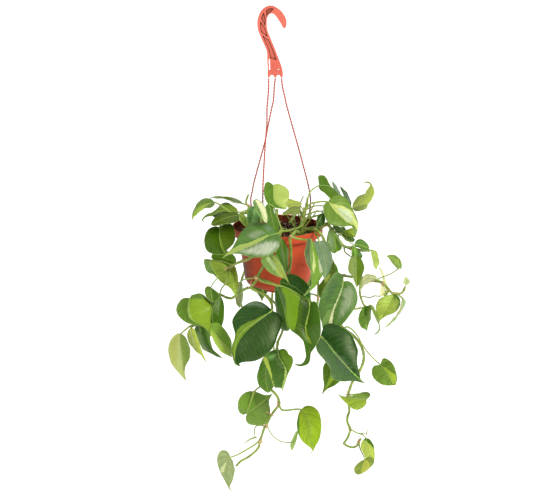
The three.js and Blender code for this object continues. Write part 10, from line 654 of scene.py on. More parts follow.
STRANDS = [[(-4.5,-0.2,-104.9),(-4.8,-5,-122.8),(-6.1,-9.1,-138.4),(-7.3,-13.3,-153.9),(-7.4,-18.7,-174.2),(-10,-27.2,-206.1),(-13.4,-42.4,-263),(-14.1,-50.7,-294.2),(-13.1,-63.4,-342)],
 [(6,0.2,-105),(4.2,4.3,-122.7),(3.2,8.6,-141.4),(0,12.1,-156.9),(-6.2,19.2,-188.9),(-11.6,25.5,-216.9),(-28.4,39.7,-282),(-31.9,43.6,-300.1),(-35,47.5,-318.3),(-32.5,52.5,-342)],
 [(16.1,0.1,-105),(17.8,2.7,-119.2),(22.7,6.5,-141.1),(26.1,9.2,-156.4),(50.5,24.7,-246.2),(64.5,34.8,-306.6),(63.9,40.6,-342)]]
HOOK = [(21.6,-24.6),(23.8,-19.9),(24,-14.7),(23.2,-9.6),(21,-4.9),(18.2,-0.6),(14.9,3.4),(10.8,6.6),(6.4,9.4),(1.7,11.5),(-3.5,11.5),(-8.4,10),(-12.8,7.2),(-16.4,3.5),(-19,-1),(-20.9,-5.8),(-22.3,-10.8),(-22.7,-16),(-22.5,-21.2),(-21.8,-26.3),(-20.1,-31.2),(-18,-36),(-16,-40.7),(-13.9,-45.5),(-11.7,-50.2),(-9.5,-54.9),(-7.7,-59.8),(-7,-64.9),(-6.9,-70.1),(-6.8,-75.3),(-6.6,-80.5),(-6.3,-85.7),(-6,-90.9),(-6.3,-96),(-6.3,-101.2),(-4.5,-104.1),(-2.9,-102.2),(-2.1,-100.4),(-0.8,-99.1),(0.6,-98.6),(2.1,-99.1),(3.4,-100.4),(4.4,-102.2),(6,-104.1),(7.6,-102.2),(8.5,-100.4),(9.8,-99.1),(11.3,-98.6),(12.7,-99.1),(13.9,-100.4),(14.7,-102.2),(16.1,-104.1),(18.2,-101.2),(18.2,-96),(17.7,-92),(16.8,-88),(15.6,-84.2),(14.2,-80.3),(12.8,-76.5),(11.4,-72.7),(9.9,-68.9),(8.5,-65.1),(7.1,-61.2),(5.7,-57.5),(4.1,-53.7),(2.4,-50),(0.8,-46.2),(-0.7,-42.5),(-2.2,-38.7),(-3.8,-34.9),(-5.3,-31.1),(-6.5,-27.3),(-7.3,-23.3),(-7.5,-19.2),(-7.5,-15.1),(-7.5,-11.1),(-6.9,-7.1),(-5,-3.5),(-2.1,-0.7),(1.8,-0.4),(5.1,-2.6),(7.7,-5.7),(10.1,-9),(12.4,-12.4),(14.5,-15.9),(16.5,-19.4),(18.4,-23)]
HOOK_POCKETS = [[(3.5,7.2),(0.9,7.7),(-1.7,7.6),(-4.3,7.1),(-6.7,5.8),(-8.9,4.3),(-8,-6.8),(-7.1,-4.7),(-6.1,-2.6),(-4.5,-1),(-2.8,0.4),(-0.7,1.4)],
 [(-12.1,1.1),(-13.4,-0.7),(-14.6,-2.6),(-15.5,-4.7),(-16.3,-6.9),(-16.9,-9.1),(-10,-20.4),(-10.1,-18.4),(-9.9,-16.4),(-9.7,-14.4),(-9.4,-12.5),(-9,-10.6)],
 [(-17.7,-12.8),(-18.2,-16.3),(-18.2,-19.7),(-17.9,-23.2),(-17.4,-26.7),(-16.7,-30.2),(-5.7,-38.6),(-6.7,-35.6),(-7.6,-32.7),(-8.5,-29.7),(-9.2,-26.8),(-9.7,-23.8)],
 [(-15,-34.8),(-11.9,-42),(-8.8,-49.3),(-5.6,-56.4),(-3.1,-63.9),(-2.2,-71.6),(8.1,-75),(6.2,-68.3),(3.9,-61.8),(1.3,-55.4),(-1.4,-49),(-4.2,-42.6)]]
HOOK_HOLES = [[(-4.5,-73.8),(-3.5,-73.1),(-2.6,-73.8),(-2.3,-81.5),(-1.9,-91.2),(-2.9,-91.8),(-3.9,-91.5),(-4.2,-83.1)],
 [(12.6,-90.2),(12.2,-89.3),(11.3,-88.9),(10.4,-89.3),(10,-90.2),(10.4,-91.1),(11.3,-91.5),(12.2,-91.1)]]
SCRAPS = {'vine_bottom_left': [([(-2.5,-88,-649.1),(1.7,-90,-650.9),(4.5,-91,-655.8),(2.5,-91,-659.4)], 0.9, 0.5), ([(-2.5,-88,-651.7),(-7.4,-90,-645.6),(-9.9,-91,-647.8)], 0.8, 0.4), ([(-7.5,-89,-662),(-11.6,-91,-654.1),(-13.1,-91,-659.4)], 0.8, 0.4), ([(-9.1,-89,-667.4),(-14.1,-91,-671),(-16.6,-91,-673.7)], 0.9, 0.5), ([(-15.8,-89,-692.4),(-18.5,-91,-696.1),(-18.1,-91,-700.6)], 0.9, 0.5), ([(-16.7,-89,-697.8),(-14.5,-91,-704.1),(-15.2,-91,-709.5)], 0.7, 0.35), ([(8.3,-87,-637.9),(11.1,-90,-631.4),(9.1,-90,-627)], 1.2, 0.9), ([(-46.3,-88,-733.5),(-53.5,-88,-736.2),(-58.6,-88,-743.4)], 0.8, 0.4)],
 'vine_right_down': [([(127.7,-77,-620.6),(123.4,-80,-618.6),(121.1,-81,-620.8)], 0.9, 0.5), ([(127.6,-78,-614.9),(124.3,-80,-613.3),(124.6,-81,-616.4)], 0.7, 0.4), ([(129.4,-71,-658.7),(126,-73,-663.3),(126.5,-73,-672.3),(130.3,-73,-679.4)], 0.7, 0.5), ([(143.1,-67,-716.4),(144,-69,-708.3),(148.6,-69,-701.9)], 0.8, 0.5)],
 'vine_front': [([(-30.8,-83,-429.6),(-33.8,-86,-423.6),(-32.3,-87,-419)], 0.9, 0.5), ([(-34,-83,-433.8),(-38.8,-86,-429.5),(-39.9,-87,-425.8)], 0.8, 0.4)],
 'vine_right_rim': [([(82,-52,-340.7),(85.1,-55,-337.4),(88.3,-56,-339.6)], 0.8, 0.45)]}


MM = 0.001
POT_X, RIM_Z, RIM_R, SOIL_Z = 10.0, -350.2, 75.0, -362.0
LUGS = {"front": -110, "left": 129, "right": 37}
LUG_R = 67.5
GAIN = 0.72          # surface colours are a little below the lit look, because the light adds to them


def lin(c, k=1.0):
    out = []
    for v in c[:3]:
        v = v / 255.0
        v = v / 12.92 if v <= 0.04045 else ((v + 0.055) / 1.055) ** 2.4
        out.append(min(1.0, v * k * GAIN))
    return (out[0], out[1], out[2], 1.0)


# ------------------------------------------------------------------ materials
class Mat:
    """A small helper for writing a node material in code."""

    def __init__(self, name, rough=0.5):
        self.m = bpy.data.materials.new(name)
        self.m.use_nodes = True
        self.t = self.m.node_tree
        self.t.nodes.clear()
        out = self.t.nodes.new("ShaderNodeOutputMaterial")
        self.b = self.t.nodes.new("ShaderNodeBsdfPrincipled")
        self.t.links.new(self.b.outputs[0], out.inputs[0])
        self.b.inputs["Roughness"].default_value = rough

    def put(self, socket, v):
        if isinstance(v, bpy.types.NodeSocket):
            self.t.links.new(v, socket)
        elif isinstance(v, (tuple, list)):
            socket.default_value = tuple(v) if len(v) == len(socket.default_value) else tuple(v)[: len(socket.default_value)]
        else:
            socket.default_value = v

    def attr(self, name):
        n = self.t.nodes.new("ShaderNodeAttribute")
        n.attribute_name = name
        return n

    def math(self, op, a, b=0.0, c=0.0, clamp=False):
        n = self.t.nodes.new("ShaderNodeMath")
        n.operation = op
        n.use_clamp = clamp
        self.put(n.inputs[0], a)
        self.put(n.inputs[1], b)
        if len(n.inputs) > 2:
            self.put(n.inputs[2], c)
        return n.outputs[0]

    def sep(self, v):
        n = self.t.nodes.new("ShaderNodeSeparateXYZ")
        self.put(n.inputs[0], v)
        return n.outputs

    def comb(self, x, y, z):
        n = self.t.nodes.new("ShaderNodeCombineXYZ")
        self.put(n.inputs[0], x)
        self.put(n.inputs[1], y)
        self.put(n.inputs[2], z)
        return n.outputs[0]

    def noise(self, vec, scale=1.0, detail=2.0, rough=0.5, distort=0.0):
        n = self.t.nodes.new("ShaderNodeTexNoise")
        self.put(n.inputs["Vector"], vec)
        n.inputs["Scale"].default_value = scale
        n.inputs["Detail"].default_value = detail
        n.inputs["Roughness"].default_value = rough
        n.inputs["Distortion"].default_value = distort
        return n.outputs["Fac"]

    def voronoi(self, vec, scale, feature="F1"):
        n = self.t.nodes.new("ShaderNodeTexVoronoi")
        n.feature = feature
        self.put(n.inputs["Vector"], vec)
        n.inputs["Scale"].default_value = scale
        return n.outputs

    def step(self, x, lo, hi, a=0.0, b=1.0):
        n = self.t.nodes.new("ShaderNodeMapRange")
        n.interpolation_type = "SMOOTHSTEP"
        self.put(n.inputs["Value"], x)
        self.put(n.inputs["From Min"], lo)
        self.put(n.inputs["From Max"], hi)
        self.put(n.inputs["To Min"], a)
        self.put(n.inputs["To Max"], b)
        return n.outputs[0]

    def mix(self, f, a, b, mode="MIX"):
        n = self.t.nodes.new("ShaderNodeMix")
        n.data_type = "RGBA"
        n.blend_type = mode
        self.put(n.inputs[0], f)
        self.put(n.inputs[6], a)
        self.put(n.inputs[7], b)
        return n.outputs[2]

    def obj(self):
        return self.t.nodes.new("ShaderNodeTexCoord").outputs["Object"]

    def bump(self, height, strength, distance):
        n = self.t.nodes.new("ShaderNodeBump")
        n.inputs["Strength"].default_value = strength
        n.inputs["Distance"].default_value = distance
        self.put(n.inputs["Height"], height)
        self.t.links.new(n.outputs[0], self.b.inputs["Normal"])

    def colour(self, v):
        self.put(self.b.inputs["Base Color"], v)

    def rough(self, v):
        self.put(self.b.inputs["Roughness"], v)


def leaf_material(name, cols, kinds, seed, under_first):
    """cols: base then one colour a patch. kinds: how each patch ends (crisp, soft, or fleck_and_sheen: silver
    variegation mixed with painted sheen).
    """
    m = Mat(name)
    sx = m.sep(m.attr("vein").outputs["Vector"])
    T, S, E = sx[0], sx[1], sx[2]
    # brush marks run out along the side veins
    coarse = m.noise(m.comb(m.math("MULTIPLY", T, 0.42), m.math("MULTIPLY", S, 0.055), seed * 3.7), 1.0, 3.0, 0.6)
    fine = m.noise(m.comb(m.math("MULTIPLY", T, 1.7), m.math("MULTIPLY", S, 0.16), seed * 1.9 + 5), 1.0, 3.0, 0.65)
    blot = m.noise(m.comb(m.math("MULTIPLY", T, 0.07), m.math("MULTIPLY", S, 0.07), seed * 2.3), 1.0, 2.0, 0.5)
    c = m.mix(m.step(coarse, 0.36, 0.66), lin(cols[0], 0.76), lin(cols[0], 1.20))
    c = m.mix(m.step(blot, 0.35, 0.7, 0.0, 0.35), c, lin([v * 0.8 + 16 for v in cols[0]], 1.0))
    c = m.mix(m.step(fine, 0.56, 0.76, 0.0, 0.42), c, lin([min(255, v * 1.12 + 20) for v in cols[0]], 1.0))
    pale = 0.0
    for i, (col, kind) in enumerate(zip(cols[1:], kinds)):
        d = m.attr("p%d" % i).outputs["Fac"]
        wob = m.math("MULTIPLY_ADD", coarse, 3.6, -1.8)
        wob = m.math("ADD", wob, m.math("MULTIPLY_ADD", fine, 2.0, -1.0))
        if kind == "fleck_and_sheen":
            # silver variegation and painted sheen brushed on in broken streaks, thicker in the middle of the marking
            streak = m.noise(m.comb(m.math("MULTIPLY", T, 0.85), m.math("MULTIPLY", S, 0.075), seed * 1.3 + i * 7.0), 1.0, 4.0, 0.7)
            d = m.math("ADD", d, m.math("MULTIPLY", wob, 1.3))
            thick = m.math("ADD", streak, m.step(d, -1.0, 7.0, -0.16, 0.10))
            f = m.math("MULTIPLY", m.step(d, -1.6, 1.4), m.step(thick, 0.32, 0.66, 0.10, 0.78))
        elif kind == "soft":
            d = m.math("ADD", d, wob)
            f = m.step(d, -3.0, 3.5, 0.0, 0.85)
        else:
            d = m.math("MULTIPLY_ADD", wob, 0.75, d)
            f = m.step(d, -0.35, 0.45)
        inner = m.mix(m.step(fine, 0.35, 0.72), lin(col, 0.90), lin([min(255, v * 1.05 + 8) for v in col], 1.06))
        c = m.mix(f, c, inner)
    mid = m.math("ABSOLUTE", S)
    rib = m.step(mid, 0.45, 1.15, 0.62, 0.0)
    c = m.mix(rib, c, lin((168, 200, 96)))
    # side veins: a line every few millimetres, slightly sunk and paler
    ph = m.math("FRACT", m.math("MULTIPLY_ADD", blot, 1.3, m.math("MULTIPLY", T, 1 / 7.5)))
    line = m.math("ABSOLUTE", m.math("SUBTRACT", ph, 0.5))
    vein = m.step(line, 0.02, 0.10, 1.0, 0.0)
    c = m.mix(m.math("MULTIPLY", vein, m.step(blot, 0.3, 0.7, 0.02, 0.10)), c, lin((170, 200, 110)))
    # painted highlight: a thin pale rim along the leaf margin
    c = m.mix(m.step(E, 0.15, 0.75, 0.5, 0.0), c, lin((186, 206, 128)))
    # the underside is duller and paler, with the same markings showing through
    under = m.attr("under").outputs["Fac"]
    dull = m.mix(0.34, c, lin((152, 178, 112))) if not under_first else m.mix(0.30, c, lin((92, 132, 58)))
    c = m.mix(under, c, dull)
    m.colour(c)
    r0, r1 = (0.35, 0.58) if not under_first else (0.58, 0.38)
    r = m.step(under, 0.0, 1.0, r0, r1)
    m.rough(m.math("MULTIPLY_ADD", m.math("SUBTRACT", coarse, 0.5), 0.18, r))
    h = m.math("MULTIPLY_ADD", vein, -0.30, m.math("MULTIPLY", coarse, 0.9))
    h = m.math("MULTIPLY_ADD", fine, 0.25, h)
    h = m.math("MULTIPLY_ADD", m.step(mid, 0.2, 1.4, 1.0, 0.0), -0.6, h)
    m.bump(h, 0.45, 0.0006)
    m.b.inputs["Specular IOR Level"].default_value = 0.27
    m.b.inputs["Specular Tint"].default_value = (0.92, 1.0, 0.66, 1.0)
    m.b.inputs["Subsurface Weight"].default_value = 0.10
    m.b.inputs["Subsurface Radius"].default_value = (0.002, 0.003, 0.0008)
    m.b.inputs["Subsurface Scale"].default_value = 1.0
    return m.m


def stem_material():
    m = Mat("stem_skin")
    sx = m.sep(m.attr("stem").outputs["Vector"])       # node swelling, share of length, petiole
    o = m.obj()
    n1 = m.noise(o, 90.0, 3.0, 0.6)
    n2 = m.noise(o, 420.0, 2.0, 0.6)
    c = m.mix(m.step(n1, 0.35, 0.68), lin((122, 150, 44)), lin((164, 184, 76)))
    c = m.mix(m.math("MULTIPLY", sx[2], 0.5), c, lin((156, 184, 74)))
    c = m.mix(m.step(n2, 0.62, 0.8, 0.0, 0.4), c, lin((196, 204, 128)))
    # pink to brown blush where leaves join
    node = m.math("MULTIPLY_ADD", m.math("SUBTRACT", n1, 0.5), 0.7, sx[0])
    c = m.mix(m.step(node, 0.45, 0.9, 0.0, 0.40), c, lin((196, 132, 96)))
    c = m.mix(m.step(node, 0.86, 1.1, 0.0, 0.40), c, lin((150, 96, 56)))
    m.colour(c)
    m.rough(m.math("MULTIPLY_ADD", n1, 0.2, 0.34))
    m.bump(m.math("MULTIPLY_ADD", n2, 0.5, n1), 0.25, 0.0005)
    m.b.inputs["Subsurface Weight"].default_value = 0.08
    m.b.inputs["Subsurface Radius"].default_value = (0.002, 0.003, 0.001)
    m.b.inputs["Subsurface Scale"].default_value = 1.0
    return m.m


def sheath_material():
    m = Mat("dry_sheath", 0.7)
    o = m.obj()
    n = m.noise(o, 160.0, 3.0, 0.6)
    c = m.mix(m.step(n, 0.35, 0.7), lin((214, 190, 132)), lin((196, 132, 96)))
    m.colour(m.mix(m.step(m.noise(o, 700.0, 2.0), 0.55, 0.75, 0.0, 0.5), c, lin((206, 196, 140))))
    m.bump(n, 0.4, 0.0004)
    return m.m


def plastic_material(name, lit, dark, rough):
    m = Mat(name, rough)
    o = m.obj()
    n = m.noise(o, 14.0, 3.0, 0.5)
    speck = m.noise(o, 900.0, 2.0, 0.6)
    c = m.mix(m.step(n, 0.3, 0.7), lin(dark), lin(lit))
    z = m.sep(o)[2]
    return m, o, n, speck, c, z


def pot_material():
    m, o, n, speck, c, z = plastic_material("pot_plastic", (244, 102, 66), (232, 93, 60), 0.46)
    # splashes of dried potting mix and water marks, more of them low down
    low = m.step(z, -0.47, -0.36, 1.0, 0.0)
    dirt = m.noise(o, 46.0, 5.0, 0.68)
    spots = m.noise(o, 230.0, 3.0, 0.7)
    c = m.mix(m.math("MULTIPLY", m.step(dirt, 0.52, 0.74), m.math("MULTIPLY_ADD", low, 0.35, 0.12)), c, lin((110, 50, 28)))
    c = m.mix(m.step(spots, 0.68, 0.76, 0.0, 0.5), c, lin((96, 52, 34)))
    c = m.mix(m.step(m.noise(o, 60.0, 4.0, 0.7), 0.62, 0.8, 0.0, 0.28), c, lin((226, 150, 124)))
    # painted shade: darker low on the left, a dark band along the lower left edge and a darker front base; the inner
    # face of the collar is darker too
    ox, oy = m.sep(o)[0], m.sep(o)[1]
    left_low_shade = m.math("MULTIPLY", m.step(ox, -0.050, -0.012, 1.0, 0.0), m.step(z, -0.44, -0.372, 1.0, 0.0))
    left_low_shade = m.math("MULTIPLY", left_low_shade, m.step(oy, -0.01, 0.02, 1.0, 0.0))
    # painted shade: the left side darker in noisy patches
    c = m.mix(m.math("MULTIPLY", m.step(ox, -0.055, 0.030, 1.0, 0.0), m.step(dirt, 0.30, 0.60, 0.36, 0.66)), c, lin((124, 62, 36)))
    # painted shade: the front of the base darker
    c = m.mix(m.math("MULTIPLY", m.step(z, -0.458, -0.430, 0.55, 0.0), m.step(oy, 0.0, 0.03, 1.0, 0.0)), c, lin((124, 54, 30)))
    # painted shade: a dark band along the lower left edge
    edge = m.math("MULTIPLY", m.step(ox, -0.046, -0.036, 1.0, 0.0), m.step(z, -0.420, -0.398, 1.0, 0.0))
    edge = m.math("MULTIPLY", edge, m.step(oy, 0.004, 0.02, 1.0, 0.0))
    c = m.mix(m.math("MULTIPLY", edge, m.step(dirt, 0.30, 0.50, 0.6, 0.95)), c, lin((50, 32, 20)))
    # painted shade low on the left
    c = m.mix(m.math("MULTIPLY", left_low_shade, m.step(dirt, 0.38, 0.62, 0.20, 0.70)), c, lin((116, 66, 40)))
    # painted shade with crumbs of mix on the inner face of the collar, between the mix and the rim
    dx = m.math("SUBTRACT", ox, 0.010)
    rad = m.math("SQRT", m.math("ADD", m.math("MULTIPLY", dx, dx), m.math("MULTIPLY", oy, oy)))
    inside = m.math("MULTIPLY", m.step(rad, 0.0727, 0.0733, 1.0, 0.0), m.step(z, -0.3665, -0.3645, 0.0, 1.0))
    inside = m.math("MULTIPLY", inside, m.step(z, -0.3512, -0.3504, 1.0, 0.0))
    crumbs_and_shade = m.mix(m.step(spots, 0.42, 0.62), lin((58, 34, 20)), lin((128, 62, 36)))
    c = m.mix(m.math("MULTIPLY", inside, m.step(dirt, 0.30, 0.46, 0.72, 0.96)), c, crumbs_and_shade)
    m.colour(c)
    m.b.inputs["Specular IOR Level"].default_value = 0.06
    m.rough(m.math("MULTIPLY_ADD", dirt, 0.28, 0.36))
    # faint turning lines of the mould and a fine grain
    ring = m.math("SINE", m.math("MULTIPLY", z, 5200.0))
    m.bump(m.math("MULTIPLY_ADD", ring, 0.06, m.math("MULTIPLY_ADD", speck, 0.5, m.math("MULTIPLY", dirt, 0.6))), 0.22, 0.0004)
    m.b.inputs["Subsurface Weight"].default_value = 0.06
    m.b.inputs["Subsurface Radius"].default_value = (0.004, 0.0015, 0.001)
    m.b.inputs["Subsurface Scale"].default_value = 1.0
    return m.m


def hanger_material(name="hanger_plastic", lit=(230, 117, 99), dark=(212, 98, 80), recessed=False):
    m, o, n, speck, c, z = plastic_material(name, lit, dark, 0.4)
    wear = m.noise(o, 120.0, 4.0, 0.7)
    c = m.mix(m.step(wear, 0.60, 0.78, 0.0, 0.4), c, lin((244, 140, 120)))
    c = m.mix(m.step(m.noise(o, 75.0, 3.0, 0.6), 0.60, 0.76, 0.0, 0.35), c, lin((170, 70, 52)))
    if recessed:
        # painted shade in the recesses: darker floors, darker still in the bow and near the walls by ambient occlusion,
        # and dark walls
        d = m.math("ABSOLUTE", m.sep(o)[1])
        floor_f = m.step(d, 0.00085, 0.00095, 1.0, 0.0)
        wall_f = m.math("MULTIPLY", m.step(d, 0.00085, 0.00095), m.step(d, 0.00235, 0.00270, 1.0, 0.0))
        ao = m.t.nodes.new("ShaderNodeAmbientOcclusion")
        ao.samples = 12
        ao.inputs["Distance"].default_value = 0.0032
        c = m.mix(m.math("MULTIPLY", floor_f, m.step(wear, 0.34, 0.60, 0.10, 0.55)), c, lin((196, 96, 76)))
        c = m.mix(m.math("MULTIPLY", m.math("MULTIPLY", floor_f, m.step(z, -0.030, 0.004)), 0.62), c, lin((140, 60, 44)))
        # painted shade from ambient occlusion near the pocket walls
        c = m.mix(m.math("MULTIPLY", floor_f, m.step(ao.outputs["AO"], 0.52, 0.90, 0.95, 0.0)), c, lin((96, 42, 28)))
        c = m.mix(m.math("MULTIPLY", wall_f, 0.9), c, lin((104, 46, 32)))
    m.colour(c)
    m.rough(m.math("MULTIPLY_ADD", wear, 0.25, 0.28))
    m.bump(m.math("MULTIPLY_ADD", speck, 0.4, wear), 0.2, 0.0003)
    m.b.inputs["Specular IOR Level"].default_value = 0.25
    m.b.inputs["Subsurface Weight"].default_value = 0.08
    m.b.inputs["Subsurface Radius"].default_value = (0.004, 0.0015, 0.001)
    m.b.inputs["Subsurface Scale"].default_value = 1.0
    return m.m


def strand_material():
    m = Mat("strand_plastic", 0.45)
    o = m.obj()
    tw = m.attr("strip_face_shade").outputs["Fac"]
    # painted shade on the broad faces of the strip and painted highlight on its narrow edges
    c = m.mix(m.step(tw, 0.25, 0.75), lin((118, 44, 32)), lin((190, 86, 68)))
    c = m.mix(m.step(m.noise(o, 300.0, 3.0), 0.55, 0.75, 0.0, 0.4), c, lin((150, 62, 46)))
    m.colour(c)
    m.b.inputs["Specular IOR Level"].default_value = 0.25
    m.bump(m.noise(o, 900.0, 2.0), 0.2, 0.0003)
    return m.m


def soil_material():
    m = Mat("potting_mix_soil", 0.9)
    o = m.obj()
    cell = m.voronoi(o, 260.0)
    n = m.noise(o, 120.0, 4.0, 0.7)
    c = m.mix(m.step(n, 0.3, 0.7), lin((34, 22, 13)), lin((78, 50, 30)))
    v = m.sep(cell["Color"])[0]
    c = m.mix(m.step(v, 0.80, 0.86), c, lin((98, 50, 26)))
    c = m.mix(m.step(v, 0.93, 0.96), c, lin((176, 176, 148)))
    m.b.inputs["Specular IOR Level"].default_value = 0.15
    m.colour(c)
    m.rough(m.math("MULTIPLY_ADD", n, 0.2, 0.75))
    m.bump(m.math("ADD", cell["Distance"], n), 0.9, 0.0012)
    return m.m


def chip_material():
    m = Mat("bark_chips", 0.85)
    k = m.attr("chip").outputs["Fac"]
    o = m.obj()
    n = m.noise(o, 380.0, 3.0, 0.7)
    c = m.mix(m.step(k, 0.30, 0.62), lin((40, 25, 15)), lin((98, 54, 30)))
    c = m.mix(m.step(k, 0.74, 0.80), c, lin((146, 74, 42)))
    c = m.mix(m.step(k, 0.87, 0.88), c, lin((206, 206, 178)))
    m.b.inputs["Specular IOR Level"].default_value = 0.15
    m.colour(m.mix(m.step(n, 0.4, 0.7, 0.0, 0.5), c, lin((34, 24, 16))))
    m.bump(n, 0.6, 0.0006)
    return m.m


# ------------------------------------------------------------------ mesh helpers
def mesh_object(name, verts, faces, mats, smooth=True, attrs=None, mat_index=None):
    """verts in millimetres."""
    me = bpy.data.meshes.new(name)
    me.from_pydata((np.asarray(verts, float) * MM).tolist(), [], [tuple(int(i) for i in f) for f in faces])
    for key, val in (attrs or {}).items():
        val = np.asarray(val, np.float32)
        if val.ndim == 2:
            a = me.attributes.new(key, "FLOAT_VECTOR", "POINT")
            a.data.foreach_set("vector", val.reshape(-1))
        else:
            a = me.attributes.new(key, "FLOAT", "POINT")
            a.data.foreach_set("value", val)
    me.validate()
    me.update()
    for mt in mats if isinstance(mats, (list, tuple)) else [mats]:
        me.materials.append(mt)
    if mat_index is not None:
        me.polygons.foreach_set("material_index", np.asarray(mat_index, np.int32))
    me.polygons.foreach_set("use_smooth", [smooth] * len(me.polygons))
    ob = bpy.data.objects.new(name, me)
    bpy.context.scene.collection.objects.link(ob)
    return ob


def cut_curve(P, q):
    """Catmull-Rom through P at parameter q in 0..len(P)-1."""
    P = np.asarray(P, float)
    n = len(P)
    ext = np.vstack([2 * P[0] - P[1], P, 2 * P[-1] - P[-2]])
    q = np.clip(np.asarray(q, float), 0, n - 1 - 1e-9)
    i = q.astype(int)
    f = (q - i)[:, None]
    p0, p1, p2, p3 = ext[i], ext[i + 1], ext[i + 2], ext[i + 3]
    return 0.5 * (2 * p1 + (p2 - p0) * f + (2 * p0 - 5 * p1 + 4 * p2 - p3) * f ** 2 + (3 * p1 - p0 - 3 * p2 + p3) * f ** 3)


def unit(v):
    v = np.asarray(v, float)
    return v / np.maximum(np.linalg.norm(v, axis=-1, keepdims=True), 1e-12)


def even(P, step):
    """Points along a smooth curve through P, about step apart."""
    q = np.linspace(0, len(P) - 1, (len(P) - 1) * 10 + 1)
    F = cut_curve(P, q)
    s = np.r_[0, np.cumsum(np.linalg.norm(np.diff(F, axis=0), axis=1))]
    n = max(3, int(round(s[-1] / step)) + 1)
    u = np.linspace(0, s[-1], n)
    return np.stack([np.interp(u, s, F[:, k]) for k in range(3)], -1), u


def tube(P, radii, sides=10, cap=True):
    """A tube through the points with turning-free sections. Returns verts, faces."""
    P = np.asarray(P, float)
    n = len(P)
    tan = unit(np.gradient(P, axis=0))
    nrm = np.cross([0.0, 1.0, 0.13], tan[0])
    if np.linalg.norm(nrm) < 0.2:
        nrm = np.cross([1.0, 0.0, 0.0], tan[0])
    nrm = unit(nrm)
    a = np.arange(sides) * 2 * math.pi / sides
    V = []
    for i in range(n):
        nrm = unit(nrm - tan[i] * np.dot(nrm, tan[i]))
        bn = np.cross(tan[i], nrm)
        V.append(P[i] + radii[i] * (np.cos(a)[:, None] * nrm + np.sin(a)[:, None] * bn))
    V = np.concatenate(V)
    F = []
    for i in range(n - 1):
        for j in range(sides):
            k = (j + 1) % sides
            F.append((i * sides + j, i * sides + k, (i + 1) * sides + k, (i + 1) * sides + j))
    if cap:
        V = np.vstack([V, P[0] - tan[0] * radii[0] * 0.35, P[-1] + tan[-1] * radii[-1] * 0.35])
        c0, c1 = len(V) - 2, len(V) - 1
        for j in range(sides):
            k = (j + 1) % sides
            F.append((c0, k, j))
            F.append((c1, (n - 1) * sides + j, (n - 1) * sides + k))
    return V, F


# the fixed viewing frame in which the leaf markings were drawn, in millimetres
EL = math.radians(15.7)
FWD = np.array([0, math.cos(EL), -math.sin(EL)])
UPV = np.array([0, math.sin(EL), math.cos(EL)])
MIDP = np.array([0, 0, -389.0])


def plan(V):
    v = V - MIDP
    d = 2400.0 + v @ FWD
    return np.stack([271.5 + 1440 * v[:, 0] / d, 248 - 1440 * (v @ UPV) / d], -1)


def outline_distance(pts, poly):
    """Signed distance in millimetres from points to a closed outline, inside positive."""
    poly = np.asarray(poly, float)
    a, b = poly, np.roll(poly, -1, axis=0)
    d2 = np.full(len(pts), 1e18)
    inside = np.zeros(len(pts), bool)
    for p, q in zip(a, b):
        e = q - p
        w = pts - p
        h = np.clip((w @ e) / max(e @ e, 1e-12), 0, 1)
        d2 = np.minimum(d2, ((w - h[:, None] * e) ** 2).sum(1))
        cond = (p[1] > pts[:, 1]) != (q[1] > pts[:, 1])
        with np.errstate(divide="ignore", invalid="ignore"):
            x = (q[0] - p[0]) * (pts[:, 1] - p[1]) / (q[1] - p[1]) + p[0]
        inside ^= cond & (pts[:, 0] < x)
    return np.where(inside, 1, -1) * np.sqrt(d2) * 1.667


NU, NV = 52, 9
T0 = 0.22


